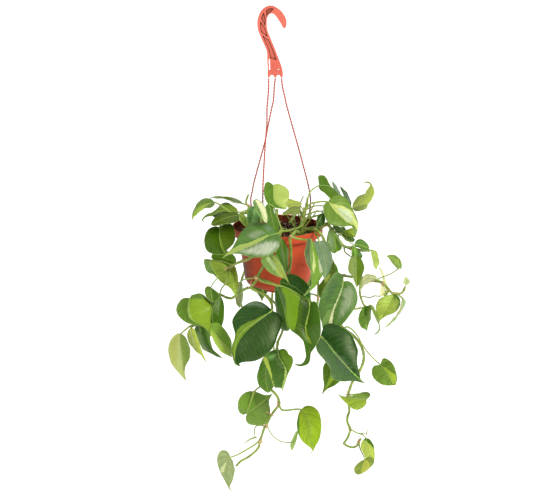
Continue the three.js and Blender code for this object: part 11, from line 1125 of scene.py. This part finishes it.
def leaf_mesh(key, spec, rng):
    """One leaf blade: a thin closed sheet, cupped on each side of its midrib, with a fine rib below."""
    P, M, Q = (np.array(spec[k], float) for k in ("P", "M", "Q"))
    L = spec["L"]
    small = L < 32
    nu, nv = (30, 6) if small else (NU, NV)
    t = np.linspace(0, 1, nu)
    t = 0.5 - 0.5 * np.cos(np.pi * t) * (0.55) - 0.5 * 0.45 * (1 - 2 * t)      # denser at base and tip
    t = (t - t[0]) / (t[-1] - t[0])
    u = np.clip((t - T0) / (1 - T0), 0, 1)
    p, q = cut_curve(P, t * (len(P) - 1)), cut_curve(Q, t * (len(Q) - 1))
    m = cut_curve(M, u * (len(M) - 1))
    p[0] = q[0] = m[0]
    p[-1] = q[-1] = m[-1]
    s = np.linspace(0, 1, nv + 1)
    cols = list(range(-nv, nv + 1))
    G = np.zeros((nu, len(cols), 3))
    A = {"T": np.zeros((nu, len(cols))), "S": np.zeros((nu, len(cols))), "E": np.zeros((nu, len(cols)))}
    # surface normals from a flat version
    n0 = unit(np.array(spec["n"], float))
    length = np.r_[0, np.cumsum(np.linalg.norm(np.diff(m, axis=0), axis=1))]
    wp, wq = np.linalg.norm(p - m, axis=1), np.linalg.norm(q - m, axis=1)
    fl = np.zeros_like(G)
    for ci, c in enumerate(cols):
        side, sv = (p, s[-c]) if c < 0 else (q, s[c])
        fl[:, ci] = m + (side - m) * sv
    du = np.gradient(fl, axis=0)
    dv = np.gradient(fl, axis=1)
    nn = np.cross(du, dv)
    bad = np.linalg.norm(nn, axis=2) < 1e-4
    nn = unit(nn)
    nn[bad] = n0
    sg = np.sign((nn @ n0).sum()) or 1.0
    nn = nn * sg
    # soften the normal field
    for _ in range(3):
        k = nn.copy()
        k[1:-1] = (nn[:-2] + nn[1:-1] * 2 + nn[2:]) / 4
        k[:, 1:-1] = (k[:, :-2] + k[:, 1:-1] * 2 + k[:, 2:]) / 4
        nn = unit(k)
    ph = rng.uniform(0, 6.28, 4)
    f1, f2 = rng.uniform(1.6, 2.4), rng.uniform(3.2, 4.6)
    env = np.sin(np.pi * np.clip(t, 0, 1)) ** 0.7
    for ci, c in enumerate(cols):
        sv = abs(c) / nv
        w = wp if c < 0 else wq
        cup = 0.060 * np.minimum(w, 0.55 * L) * math.sin(math.pi * sv) ** 0.9
        a = 0 if c < 0 else 2
        wave = 0.012 * L * env * (np.sin(f1 * 6.28 * t + ph[a]) * 0.8 + np.sin(f2 * 6.28 * t + ph[a + 1]) * 0.45) * sv ** 2.2
        quilt = 0.0011 * L * np.sin(2 * math.pi * (t * L - 0.15 * L * sv * sv) * (1 / 7.0)) * math.sin(math.pi * sv) ** 0.6 * env
        G[:, ci] = fl[:, ci] + nn[:, ci] * (cup + wave + quilt - 0.25 * (1 - sv) ** 8)[:, None]
        A["T"][:, ci] = (t - 0.15 * sv * sv) * L * 1.15
        A["S"][:, ci] = (-1 if c < 0 else 1) * sv * w
        A["E"][:, ci] = (1 - sv) * w
    G[0] = m[0]
    G[-1] = m[-1]
    thick = (0.30 + 0.22 * np.sqrt(np.clip(A["E"] / 6.0, 0, 1))) * (0.8 if small else 1.0)
    verts, att, ids = [], [], {}
    layer = []
    for li, off in enumerate((0.5, -0.5)):
        idx = np.zeros((nu, len(cols)), int)
        for i in range(nu):
            for ci in range(len(cols)):
                v = G[i, ci] + nn[i, ci] * thick[i, ci] * off
                if i in (0, nu - 1):
                    kk = (li, i)
                elif u[i] <= 0 and cols[ci] == 0:
                    kk = (li, 0)
                else:
                    kk = (li, i, ci)
                if kk not in ids:
                    ids[kk] = len(verts)
                    verts.append(v)
                    att.append((A["T"][i, ci], A["S"][i, ci], A["E"][i, ci], li))
                idx[i, ci] = ids[kk]
        layer.append(idx)
    faces = []

    def add(*f):
        g = []
        for x in f:
            if x not in g:
                g.append(x)
        if len(g) > 2:
            faces.append(tuple(g))

    nc = len(cols)
    up = sg > 0
    for i in range(nu - 1):
        for ci in range(nc - 1):
            a, b, c2, d = layer[0][i, ci], layer[0][i + 1, ci], layer[0][i + 1, ci + 1], layer[0][i, ci + 1]
            e, f, g2, h = layer[1][i, ci], layer[1][i + 1, ci], layer[1][i + 1, ci + 1], layer[1][i, ci + 1]
            if up:
                add(a, b, c2, d)
                add(e, h, g2, f)
            else:
                add(a, d, c2, b)
                add(e, f, g2, h)
        for ci, fw in ((0, True), (nc - 1, False)):
            a, b = layer[0][i, ci], layer[0][i + 1, ci]
            e, f = layer[1][i, ci], layer[1][i + 1, ci]
            if fw == up:
                add(a, e, f, b)
            else:
                add(a, b, f, e)
    V = np.array(verts)
    att = np.array(att)
    # the midrib stands proud of the underside and thins towards the tip
    rm = m[u > 0] if (u > 0).any() else m
    rib, ru = even(np.vstack([M[0], rm[2:-2]]), 2.5)
    k = np.linspace(0, 1, len(rib))
    r0 = min(0.85, 0.30 + L * 0.006)
    nr = unit(np.array([n0] * len(rib)))
    RV, RF = tube(rib - nr * 0.25, r0 * (1 - k) ** 0.8 + 0.16, 6)
    rib_T = np.interp(np.linspace(0, 1, len(rib)), np.linspace(0, 1, nu), t) * L * 1.15
    ratt = np.zeros((len(RV), 4))
    ratt[: len(rib) * 6, 0] = np.repeat(rib_T, 6)
    ratt[:, 2] = 9.0
    ratt[:, 3] = 1.0
    faces += [tuple(x + len(V) for x in f) for f in RF]
    V = np.vstack([V, RV])
    att = np.vstack([att, ratt])
    attrs = {"vein": att[:, :3], "under": att[:, 3]}
    px = plan(V)
    for i, poly in enumerate(spec["pats"]):
        attrs["p%d" % i] = outline_distance(px, poly)
    for i, (w0, w1, sh) in enumerate(spec.get("bands", [])):
        # a flame along the midrib, as wide as w0 at the base and w1 at the tip
        tt = att[:, 0] / (L * 1.15)
        attrs["p%d" % (len(spec["pats"]) + i)] = (w0 + (w1 - w0) * tt) - np.abs(att[:, 1] - sh)
    return V, faces, attrs


# ------------------------------------------------------------------ leaves
rng = np.random.default_rng(11)
leaf_objects = {}
for li, (key, spec) in enumerate(LEAVES.items()):
    V, F, attrs = leaf_mesh(key, spec, rng)
    mt = leaf_material("leaf_skin_" + key, spec["cols"], spec["kinds"], 1.0 + li * 0.73, spec["face"] == "D")
    ob = mesh_object("blade_" + key, V, F, mt, True, attrs)
    node = spec["node"]
    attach(ob, "root")
    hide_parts(node)
    leaf_objects[key] = ob

# ------------------------------------------------------------------ stems and petioles
STEM = stem_material()
SHEATH = sheath_material()
rnd = random.Random(5)
by_vine = {}
for tb in TUBES:
    by_vine.setdefault(tb["vine"], []).append(tb)
# dry scraps of sheath and short aerial roots: route (mm), radius at both ends
# short petioles that crowd the crown, between the mix and the leaves round it
CROWN = [[(44, -22, -364), (52, -20, -346), (62, -18, -326), (72, -14, -306)],
         [(45, -24, -364), (57, -27, -351), (72, -28, -347), (84, -27, -351)],
         [(43, -20, -364), (54, -16, -350), (64, -12, -337), (73, -10, -326)],
         [(42, -18, -364), (36, -12, -346), (27, -6, -334), (18, -2, -326)],
         [(41, -22, -364), (28, -22, -353), (17, -24, -347), (9, -26, -341)],
         [(47, -26, -364), (58, -32, -356), (70, -36, -358), (79, -38, -366)],
         [(44, -16, -364), (49, -8, -338), (47, 0, -316), (53, 4, -300)],
         [(40, -14, -364), (38, -2, -342), (30, 6, -324), (26, 10, -312)]]
by_vine["vine_crown"] += [{"vine": "vine_crown", "leaf": "crowd", "r0": 1.15, "r1": 0.75, "P": p} for p in CROWN]
for vine, tubes in by_vine.items():
    VV, FF, AA = [], [], []
    base = 0
    starts = [np.array(tb["P"][0], float) for tb in tubes if tb["leaf"] and tb["leaf"] != "crowd"]
    sheaths = []
    for tb in tubes:
        P = np.array(tb["P"], float)
        pet = bool(tb["leaf"])
        r0, r1 = tb["r0"] * (1.24 if pet else 1.08), tb["r1"] * (1.24 if pet else 1.08)
        if pet and tb["leaf"] in LEAVES:
            M = np.array(LEAVES[tb["leaf"]]["M"], float)
            n0 = unit(np.array(LEAVES[tb["leaf"]]["n"], float))
            P = np.vstack([P[:-1], M[0] - n0 * 0.35, M[1] * 0.7 + M[0] * 0.3 - n0 * 0.45])
        C, s = even(P, 1.6)
        k = s / s[-1]
        r = r0 + (r1 - r0) * k
        node = np.zeros(len(C))
        if pet:
            r = r * (1 + 0.55 * np.exp(-(s / 3.2) ** 2) + 0.16 * np.exp(-(((s[-1] - s) - 3.0) / 2.6) ** 2))
            r = r * np.where(s[-1] - s < 2.0, 0.45 + 0.275 * (s[-1] - s), 1.0)
            node = 0.55 * np.exp(-(s / 3.0) ** 2) + 0.32 * np.exp(-(((s[-1] - s) - 2.0) / 2.0) ** 2)
        else:
            for q in starts:
                d = np.linalg.norm(C - q, axis=1)
                j = int(d.argmin())
                if d[j] < 4.5:
                    g = np.exp(-((s - s[j]) / 2.6) ** 2)
                    r = r * (1 + 0.30 * g)
                    node = np.maximum(node, np.exp(-((s - s[j] - 1.0) / 3.0) ** 2))
                    if rnd.random() < 0.7:
                        sheaths.append((C[j], unit(np.gradient(C, axis=0))[j], r[j]))
            if len(starts) > 5 and vine in ("vine_crown", "vine_right_rim"):
                node = node * 0.45
            r = r * (1 + 0.05 * np.sin(s * 0.35 + rnd.random() * 6))
            if r1 < 1.2:
                r = r * np.where(s[-1] - s < 5.0, 0.35 + 0.13 * (s[-1] - s), 1.0)
        V, F = tube(C, r, 10)
        sides = 10
        a = np.zeros((len(V), 3))
        a[: len(C) * sides, 0] = np.repeat(node, sides)
        a[: len(C) * sides, 1] = np.repeat(k, sides)
        a[:, 2] = 1.0 if pet else 0.0
        VV.append(V)
        AA.append(a)
        FF += [tuple(x + base for x in f) for f in F]
        base += len(V)
    V = np.vstack(VV)
    mi = [0] * len(FF)
    # dry sheaths left at the nodes
    for c, tg, rr in sheaths:
        side = unit(np.cross(tg, np.array([rnd.uniform(-1, 1), rnd.uniform(-1, 1), rnd.uniform(-1, 1)])))
        ln = rnd.uniform(5, 9)
        nrm = unit(np.cross(tg, side))
        rows = []
        for i in range(6):
            f = i / 5
            wv = (1 - f) ** 0.7 * rr * 1.25
            cen = c + tg * (f * ln) + nrm * (rr * 1.02 + f * f * 1.6)
            for sgn in (-1, 0, 1):
                rows.append(cen + side * sgn * wv - nrm * abs(sgn) * rr * 0.5 * (1 - f))
        rows = np.array(rows)
        lo = rows - nrm * 0.35
        b0 = base
        VV.append(rows)
        VV.append(lo)
        AA.append(np.zeros((36, 3)))
        for i in range(5):
            for j in range(2):
                q = b0 + i * 3 + j
                FF.append((q, q + 1, q + 4, q + 3))
                q += 18
                FF.append((q, q + 3, q + 4, q + 1))
                mi += [1, 1]
            q = b0 + i * 3
            FF.append((q, q + 3, q + 21, q + 18))
            q += 2
            FF.append((q, q + 18, q + 21, q + 3))
            mi += [1, 1]
        FF.append((b0, b0 + 18, b0 + 19, b0 + 1))
        FF.append((b0 + 1, b0 + 19, b0 + 20, b0 + 2))
        FF.append((b0 + 15, b0 + 16, b0 + 34, b0 + 33))
        FF.append((b0 + 16, b0 + 17, b0 + 35, b0 + 34))
        mi += [1, 1, 1, 1]
        base += 36
    for P, r0, r1 in SCRAPS.get(vine, []):
        C, s = even(np.array(P, float), 0.8)
        k = s / s[-1]
        V, F = tube(C, (r0 + (r1 - r0) * k) * np.where(s[-1] - s < 1.2, 0.55, 1.0), 6)
        VV.append(V)
        AA.append(np.zeros((len(V), 3)))
        FF += [tuple(x + base for x in f) for f in F]
        mi += [1] * len(F)
        base += len(V)
    V = np.vstack(VV)
    ob = mesh_object("stems_" + vine.replace("vine_", ""), V, FF, [STEM, SHEATH], True, {"stem": np.vstack(AA)}, mi)
    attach(ob, "root")
    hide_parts(vine)


# ------------------------------------------------------------------ pot
def lathe(profile, seg, centre):
    pr = np.array(profile, float)
    a = np.linspace(0, 2 * math.pi, seg, endpoint=False)
    V = []
    rows = []
    for r, z in pr:
        if r < 1e-6:
            rows.append([len(V)] * seg)
            V.append((centre[0], centre[1], centre[2] + z))
        else:
            rows.append(list(range(len(V), len(V) + seg)))
            V += [(centre[0] + r * math.cos(x), centre[1] + r * math.sin(x), centre[2] + z) for x in a]
    F = []
    for i in range(len(rows) - 1):
        for j in range(seg):
            k = (j + 1) % seg
            f = []
            for x in (rows[i][j], rows[i][k], rows[i + 1][k], rows[i + 1][j]):
                if x not in f:
                    f.append(x)
            if len(f) > 2:
                F.append(tuple(f))
    return np.array(V), F


def rounded(profile, rad=1.0, k=4):
    """Rounds the corners of a profile by small arcs."""
    pr = np.array(profile, float)
    out = [pr[0]]
    for i in range(1, len(pr) - 1):
        a, b, c = pr[i - 1], pr[i], pr[i + 1]
        la, lc = np.linalg.norm(a - b), np.linalg.norm(c - b)
        d = min(rad, la * 0.45, lc * 0.45)
        s, e = b + (a - b) / la * d, b + (c - b) / lc * d
        for f in np.linspace(0, 1, k + 1):
            out.append((1 - f) ** 2 * s + 2 * f * (1 - f) * b + f * f * e)
    out.append(pr[-1])
    return out


def boolean(target, cutter, op):
    md = target.modifiers.new("cut", "BOOLEAN")
    md.operation = op
    md.solver = "EXACT"
    md.object = cutter
    bpy.context.view_layer.update()
    ev = target.evaluated_get(bpy.context.evaluated_depsgraph_get())
    me = bpy.data.meshes.new_from_object(ev)
    target.modifiers.clear()
    target.data = me
    bpy.data.objects.remove(cutter)


POT = pot_material()
H = 110.0
prof = [(0, -H), (23.0, -H), (24.0, -H + 1.0), (24.6, -H + 11), (45.5, -H + 11.2), (51, -H + 13.5), (54.5, -H + 20),
        (57.2, -H + 40), (60.4, -H + 62), (63.4, -H + 82), (66, -14.8), (73.4, -13.4), (75, -12.6), (75, -0.8), (74.2, 0), (72.6, 0), (72.6, -11.2),
        (64.0, -15.0), (52.1, -H + 20), (49.1, -H + 15), (45.5, -H + 13.6), (0, -H + 13.6)]
V, F = lathe(rounded(prof, 1.3, 4), 144, (POT_X, 0, RIM_Z))
pot = mesh_object("pot_shell", V, F, POT)
cut_v, cut_f, b = [], [], 0
for i in range(6):
    a = i * math.pi / 3 + 0.3
    cv, cf = lathe([(0, -8), (3.2, -8), (3.2, 8), (0, 8)], 24, (POT_X + 36 * math.cos(a), 36 * math.sin(a), RIM_Z - H + 12))
    cut_v.append(cv)
    cut_f += [tuple(x + b for x in f) for f in cf]
    b += len(cv)
boolean(pot, mesh_object("cutter", np.vstack(cut_v), cut_f, POT), "DIFFERENCE")
for name, deg in LUGS.items():
    a = math.radians(deg)
    ca, sa = math.cos(a), math.sin(a)
    # a lug is a small rounded tab inside the collar
    ring = []
    for k in range(9):
        th = math.pi / 2 + math.pi * k / 8
        ring.append((LUG_R + 5.4 * math.cos(th) * 0.9, 5.4 * math.sin(th)))
    ring = [(73.6, 5.4)] + ring + [(73.6, -5.4)]
    vs = [(POT_X + x * ca - y * sa, x * sa + y * ca, RIM_Z - 6.5 + z) for z in (-1.3, 1.3) for x, y in ring]
    n = len(ring)
    fs = [tuple(reversed(range(n))), tuple(range(n, 2 * n))] + [(i, (i + 1) % n, n + (i + 1) % n, n + i) for i in range(n)]
    lug = mesh_object("lug", vs, fs, POT)
    cv, cf = lathe([(0, -6), (2.2, -6), (2.2, 6), (0, 6)], 20, (POT_X + LUG_R * ca, LUG_R * sa, RIM_Z - 6.5))
    boolean(lug, mesh_object("cutter", cv, cf, POT), "DIFFERENCE")
    boolean(pot, lug, "UNION")
me = pot.data
me.materials.clear()
me.materials.append(POT)
me.polygons.foreach_set("material_index", [0] * len(me.polygons))
me.polygons.foreach_set("use_smooth", [True] * len(me.polygons))
me.set_sharp_from_angle(angle=math.radians(38))
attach(pot, "root")
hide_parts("pot")

# ------------------------------------------------------------------ potting mix
SOIL = soil_material()
CHIP = chip_material()
r_top = 61.2
V, rows = [(POT_X, 0, SOIL_Z)], [[0] * 96]
for i in range(1, 31):
    r = r_top * i / 30
    rows.append(list(range(len(V), len(V) + 96)))
    for j in range(96):
        a = 2 * math.pi * j / 96
        V.append((POT_X + r * math.cos(a), r * math.sin(a), SOIL_Z))
V = np.array(V, float)
rr = np.hypot(V[:, 0] - POT_X, V[:, 1])
lump = (np.sin(V[:, 0] * 0.23 + 1.3) * np.cos(V[:, 1] * 0.19 - 0.4) + 0.6 * np.sin(V[:, 0] * 0.61 + V[:, 1] * 0.43) + 0.5 * np.cos(V[:, 1] * 0.77 - V[:, 0] * 0.31))
srng = np.random.default_rng(3)


def heap(x, y):
    """The mix stands a little higher at the back left."""
    d = ((x - (POT_X - 8)) / 46.0) ** 2 + ((y - 40.0) / 30.0) ** 2
    return 6.5 * np.exp(-d)


V[:, 2] += heap(V[:, 0], V[:, 1]) * np.clip((r_top + 1.5 - rr) / 4, 0, 1)
V[:, 2] += 1.3 * lump * np.clip((r_top - rr) / 8, 0, 1) + srng.normal(0, 0.35, len(V)) - 1.0
nb = len(V)
rows.append(list(range(nb, nb + 96)))
V = np.vstack([V, [(POT_X + 51.0 * math.cos(2 * math.pi * j / 96), 51.0 * math.sin(2 * math.pi * j / 96), RIM_Z - H + 15.5) for j in range(96)], [(POT_X, 0, RIM_Z - H + 14)]])
rows.append([len(V) - 1] * 96)
F = []
for i in range(len(rows) - 1):
    for j in range(96):
        k = (j + 1) % 96
        f = []
        for x in (rows[i][j], rows[i + 1][j], rows[i + 1][k], rows[i][k]):
            if x not in f:
                f.append(x)
        if len(f) > 2:
            F.append(tuple(f))
soil = mesh_object("potting_mix_bed", V, F, SOIL)
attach(soil, "root")
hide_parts("potting_mix")
g = (1 + 5 ** 0.5) / 2
ico = unit(np.array([(-1, g, 0), (1, g, 0), (-1, -g, 0), (1, -g, 0), (0, -1, g), (0, 1, g), (0, -1, -g), (0, 1, -g), (g, 0, -1), (g, 0, 1), (-g, 0, -1), (-g, 0, 1)], float))
icf = [(0, 11, 5), (0, 5, 1), (0, 1, 7), (0, 7, 10), (0, 10, 11), (1, 5, 9), (5, 11, 4), (11, 10, 2), (10, 7, 6), (7, 1, 8), (3, 9, 4), (3, 4, 2), (3, 2, 6), (3, 6, 8), (3, 8, 9), (4, 9, 5), (2, 4, 11), (6, 2, 10), (8, 6, 7), (9, 8, 1)]
VV, FF, CC = [], [], []
for i in range(1300):
    r = 60.0 * math.sqrt(srng.random())
    a = srng.random() * 6.283
    kind = srng.random()
    sz = srng.uniform(0.7, 2.3)
    el = np.array([1, srng.uniform(0.4, 0.9), srng.uniform(0.3, 0.7)]) * sz * (0.75 if kind > 0.9 else 1)
    q = ico * srng.uniform(0.75, 1.2, (12, 1)) * el
    rot = np.array(Matrix.Rotation(srng.random() * 6.28, 3, "Z") @ Matrix.Rotation(srng.normal(0, 0.5), 3, "X"))
    cx, cy = POT_X + r * math.cos(a), r * math.sin(a)
    q = q @ rot.T + [cx, cy, SOIL_Z + srng.uniform(-0.6, 0.9) + float(heap(cx, cy)) * min(1.0, (r_top + 1.5 - r) / 4)]
    FF += [tuple(x + 12 * i for x in f) for f in icf]
    VV.append(q)
    CC += [kind] * 12
chips = mesh_object("bark_chips", np.vstack(VV), FF, CHIP, False, {"chip": np.array(CC)})
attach(chips, "root")
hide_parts("potting_mix")

# ------------------------------------------------------------------ hanger
HANGER = hanger_material(recessed=True)


def plate(name, outline, holes, y0, y1, bevel, inset, mat):
    """A flat plate in the XZ plane between y0 and y1, with softened edges."""
    cu = bpy.data.curves.new(name, "CURVE")
    cu.dimensions = "2D"
    cu.fill_mode = "BOTH"
    cu.extrude = (y1 - y0) * MM / 2 - bevel * MM
    cu.bevel_depth = bevel * MM
    cu.bevel_resolution = 2
    cu.offset = -(bevel + inset) * MM
    for line in [outline] + holes:
        sp = cu.splines.new("POLY")
        sp.points.add(len(line) - 1)
        for i, (x, z) in enumerate(line):
            sp.points[i].co = (x * MM, z * MM, 0, 1)
        sp.use_cyclic_u = True
    ob = bpy.data.objects.new(name, cu)
    bpy.context.scene.collection.objects.link(ob)
    bpy.context.view_layer.update()
    me = bpy.data.meshes.new_from_object(ob.evaluated_get(bpy.context.evaluated_depsgraph_get()))
    bpy.data.objects.remove(ob)
    me.transform(Matrix.Translation((0, (y0 + y1) * MM / 2, 0)) @ Matrix.Rotation(math.pi / 2, 4, "X"))
    me.materials.clear()
    me.materials.append(mat)
    ob = bpy.data.objects.new(name, me)
    bpy.context.scene.collection.objects.link(ob)
    return ob


def join(name, obs):
    import bmesh
    bm = bmesh.new()
    for o in obs:
        bm.from_mesh(o.data)
    bmesh.ops.remove_doubles(bm, verts=bm.verts, dist=2e-6)
    bmesh.ops.dissolve_degenerate(bm, edges=bm.edges, dist=2e-6)
    me = bpy.data.meshes.new(name)
    bm.to_mesh(me)
    bm.free()
    me.materials.append(obs[0].data.materials[0])
    for o in obs:
        bpy.data.objects.remove(o)
    ob = bpy.data.objects.new(name, me)
    bpy.context.scene.collection.objects.link(ob)
    me.polygons.foreach_set("use_smooth", [True] * len(me.polygons))
    me.set_sharp_from_angle(angle=math.radians(40))
    return ob


web = plate("hook_web", HOOK, HOOK_HOLES, -0.75, 0.75, 0.2, 0.3, HANGER)
front = plate("hook_front", HOOK, HOOK_POCKETS + HOOK_HOLES, -3.0, -0.2, 0.45, 0.0, HANGER)
back = plate("hook_back", HOOK, HOOK_POCKETS + HOOK_HOLES, 0.2, 3.0, 0.45, 0.0, HANGER)
hook = join("hook_plate", [web, front, back])
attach(hook, "root")
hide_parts("hanger_hook")

STRAND = strand_material()
for (name, deg), pts in zip(LUGS.items(), STRANDS):
    C, s = even(np.array(pts, float), 0.9)
    tan = unit(np.gradient(C, axis=0))
    nrm = unit(np.cross([0.0, 1.0, 0.1], tan[0]))
    sec = []
    hw, hh, rc = 1.25, 0.82, 0.3
    for cx, cy, a0 in ((hw - rc, hh - rc, 0), (-(hw - rc), hh - rc, 90), (-(hw - rc), -(hh - rc), 180), (hw - rc, -(hh - rc), 270)):
        for da in (0, 45, 90):
            th = math.radians(a0 + da)
            sec.append((cx + rc * math.cos(th), cy + rc * math.sin(th)))
    sec = np.array(sec)
    V, tw = [], []
    for i in range(len(C)):
        nrm = unit(nrm - tan[i] * np.dot(nrm, tan[i]))
        bn = np.cross(tan[i], nrm)
        ang = 2 * math.pi * s[i] / 11.0
        ca, sa = math.cos(ang), math.sin(ang)
        x = sec[:, 0] * ca - sec[:, 1] * sa
        y = sec[:, 0] * sa + sec[:, 1] * ca
        V.append(C[i] + x[:, None] * nrm + y[:, None] * bn)
        # 0.25 on the broad faces (painted shade), 1.0 round the narrow edges (painted highlight)
        tw.append(np.where(np.abs(sec[:, 0]) < hw * 0.55, 0.25, 1.0))
    k = len(sec)
    V = np.vstack(V)
    F = [(i * k + j, i * k + (j + 1) % k, (i + 1) * k + (j + 1) % k, (i + 1) * k + j) for i in range(len(C) - 1) for j in range(k)]
    F += [tuple(reversed(range(k))), tuple((len(C) - 1) * k + j for j in range(k))]
    ob = mesh_object("strand_cord_" + name, V, F, STRAND, True, {"strip_face_shade": np.concatenate(tw)})
    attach(ob, "root")
    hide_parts("strand_" + name)
    a = math.radians(deg)
    cx, cy = POT_X + LUG_R * math.cos(a), LUG_R * math.sin(a)
    V, F = lathe(rounded([(0, -10.6), (1.2, -10.4), (3.1, -8.9), (3.1, -8.2), (1.8, -8.2), (1.8, -4.8), (3.4, -4.8), (3.4, 1.5), (2.6, 6.2), (0, 6.2)], 0.5, 3), 28, (cx, cy, RIM_Z))
    clip = mesh_object("clip_knob_" + name, V, F, hanger_material("clip_plastic_" + name, (150, 62, 42), (122, 48, 32)))
    clip.data.set_sharp_from_angle(angle=math.radians(50))
    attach(clip, "root")
    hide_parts("clip_" + name)

# ------------------------------------------------------------------ stage, light, camera
FLOOR_Z = -1.35
fl = bpy.data.meshes.new("floor")
R = 40.0
fl.from_pydata([(-R, -R, FLOOR_Z), (R, -R, FLOOR_Z), (R, R, FLOOR_Z), (-R, R, FLOOR_Z)], [], [(0, 1, 2, 3)])
fm = Mat("floor_paper", 0.9)
fm.colour((0.80, 0.80, 0.80, 1.0))
fm.b.inputs["Specular IOR Level"].default_value = 0.0
# paper lit from below, less of it right under the plant
fxy = fm.sep(fm.obj())
far = fm.math("SQRT", fm.math("ADD", fm.math("MULTIPLY", fxy[0], fxy[0]), fm.math("MULTIPLY", fxy[1], fxy[1])))
fm.b.inputs["Emission Color"].default_value = (1.0, 1.0, 1.0, 1.0)
fm.put(fm.b.inputs["Emission Strength"], fm.step(far, 0.2, 0.9, 0.25, 0.70))
fl.materials.append(fm.m)
floor = bpy.data.objects.new("floor", fl)
bpy.context.scene.collection.objects.link(floor)

world = bpy.data.worlds.new("studio")
bpy.context.scene.world = world
world.use_nodes = True
wt = world.node_tree
wt.nodes.clear()
wo = wt.nodes.new("ShaderNodeOutputWorld")
bg = wt.nodes.new("ShaderNodeBackground")
tc = wt.nodes.new("ShaderNodeTexCoord")
sp = wt.nodes.new("ShaderNodeSeparateXYZ")
wt.links.new(tc.outputs["Generated"], sp.inputs[0])
mr = wt.nodes.new("ShaderNodeMapRange")      # brighter overhead than at the sides
mr.inputs["From Min"].default_value = 0.0
mr.inputs["From Max"].default_value = 0.9
mr.inputs["To Min"].default_value = 0.30
mr.inputs["To Max"].default_value = 0.92
wt.links.new(sp.outputs[2], mr.inputs["Value"])
bg.inputs["Color"].default_value = (1.0, 0.985, 0.945, 1.0)
wt.links.new(mr.outputs[0], bg.inputs["Strength"])
wt.links.new(bg.outputs[0], wo.inputs[0])


def area(name, loc, target, size, power, colour=(1, 1, 1)):
    d = bpy.data.lights.new(name, "AREA")
    d.shape = "DISK"
    d.size = size
    d.energy = power
    d.color = colour
    o = bpy.data.objects.new(name, d)
    o.location = loc
    o.rotation_euler = (Vector(target) - Vector(loc)).to_track_quat("-Z", "Y").to_euler()
    bpy.context.scene.collection.objects.link(o)
    return o


area("key", (1.3, -2.0, 1.5), (0, 0, -0.42), 1.0, 70, (1.0, 0.98, 0.935))
area("fill", (-1.9, -1.7, 0.4), (0, 0, -0.45), 1.4, 17, (1.0, 0.99, 0.96))

cam_d = bpy.data.cameras.new("camera")
cam_d.sensor_width = 36.0
cam_d.lens = 95.47
cam_d.clip_end = 150
cam = bpy.data.objects.new("camera", cam_d)
cam.location = (0.0, -2.3105, 0.2604)
cam.rotation_euler = (math.radians(90 - 15.7), 0, 0)
bpy.context.scene.collection.objects.link(cam)
bpy.context.scene.camera = cam
bpy.context.scene.view_settings.view_transform = "Standard"

for o in list(bpy.data.objects):
    if o.name.startswith("cutter") or o.name == "lug":
        bpy.data.objects.remove(o)
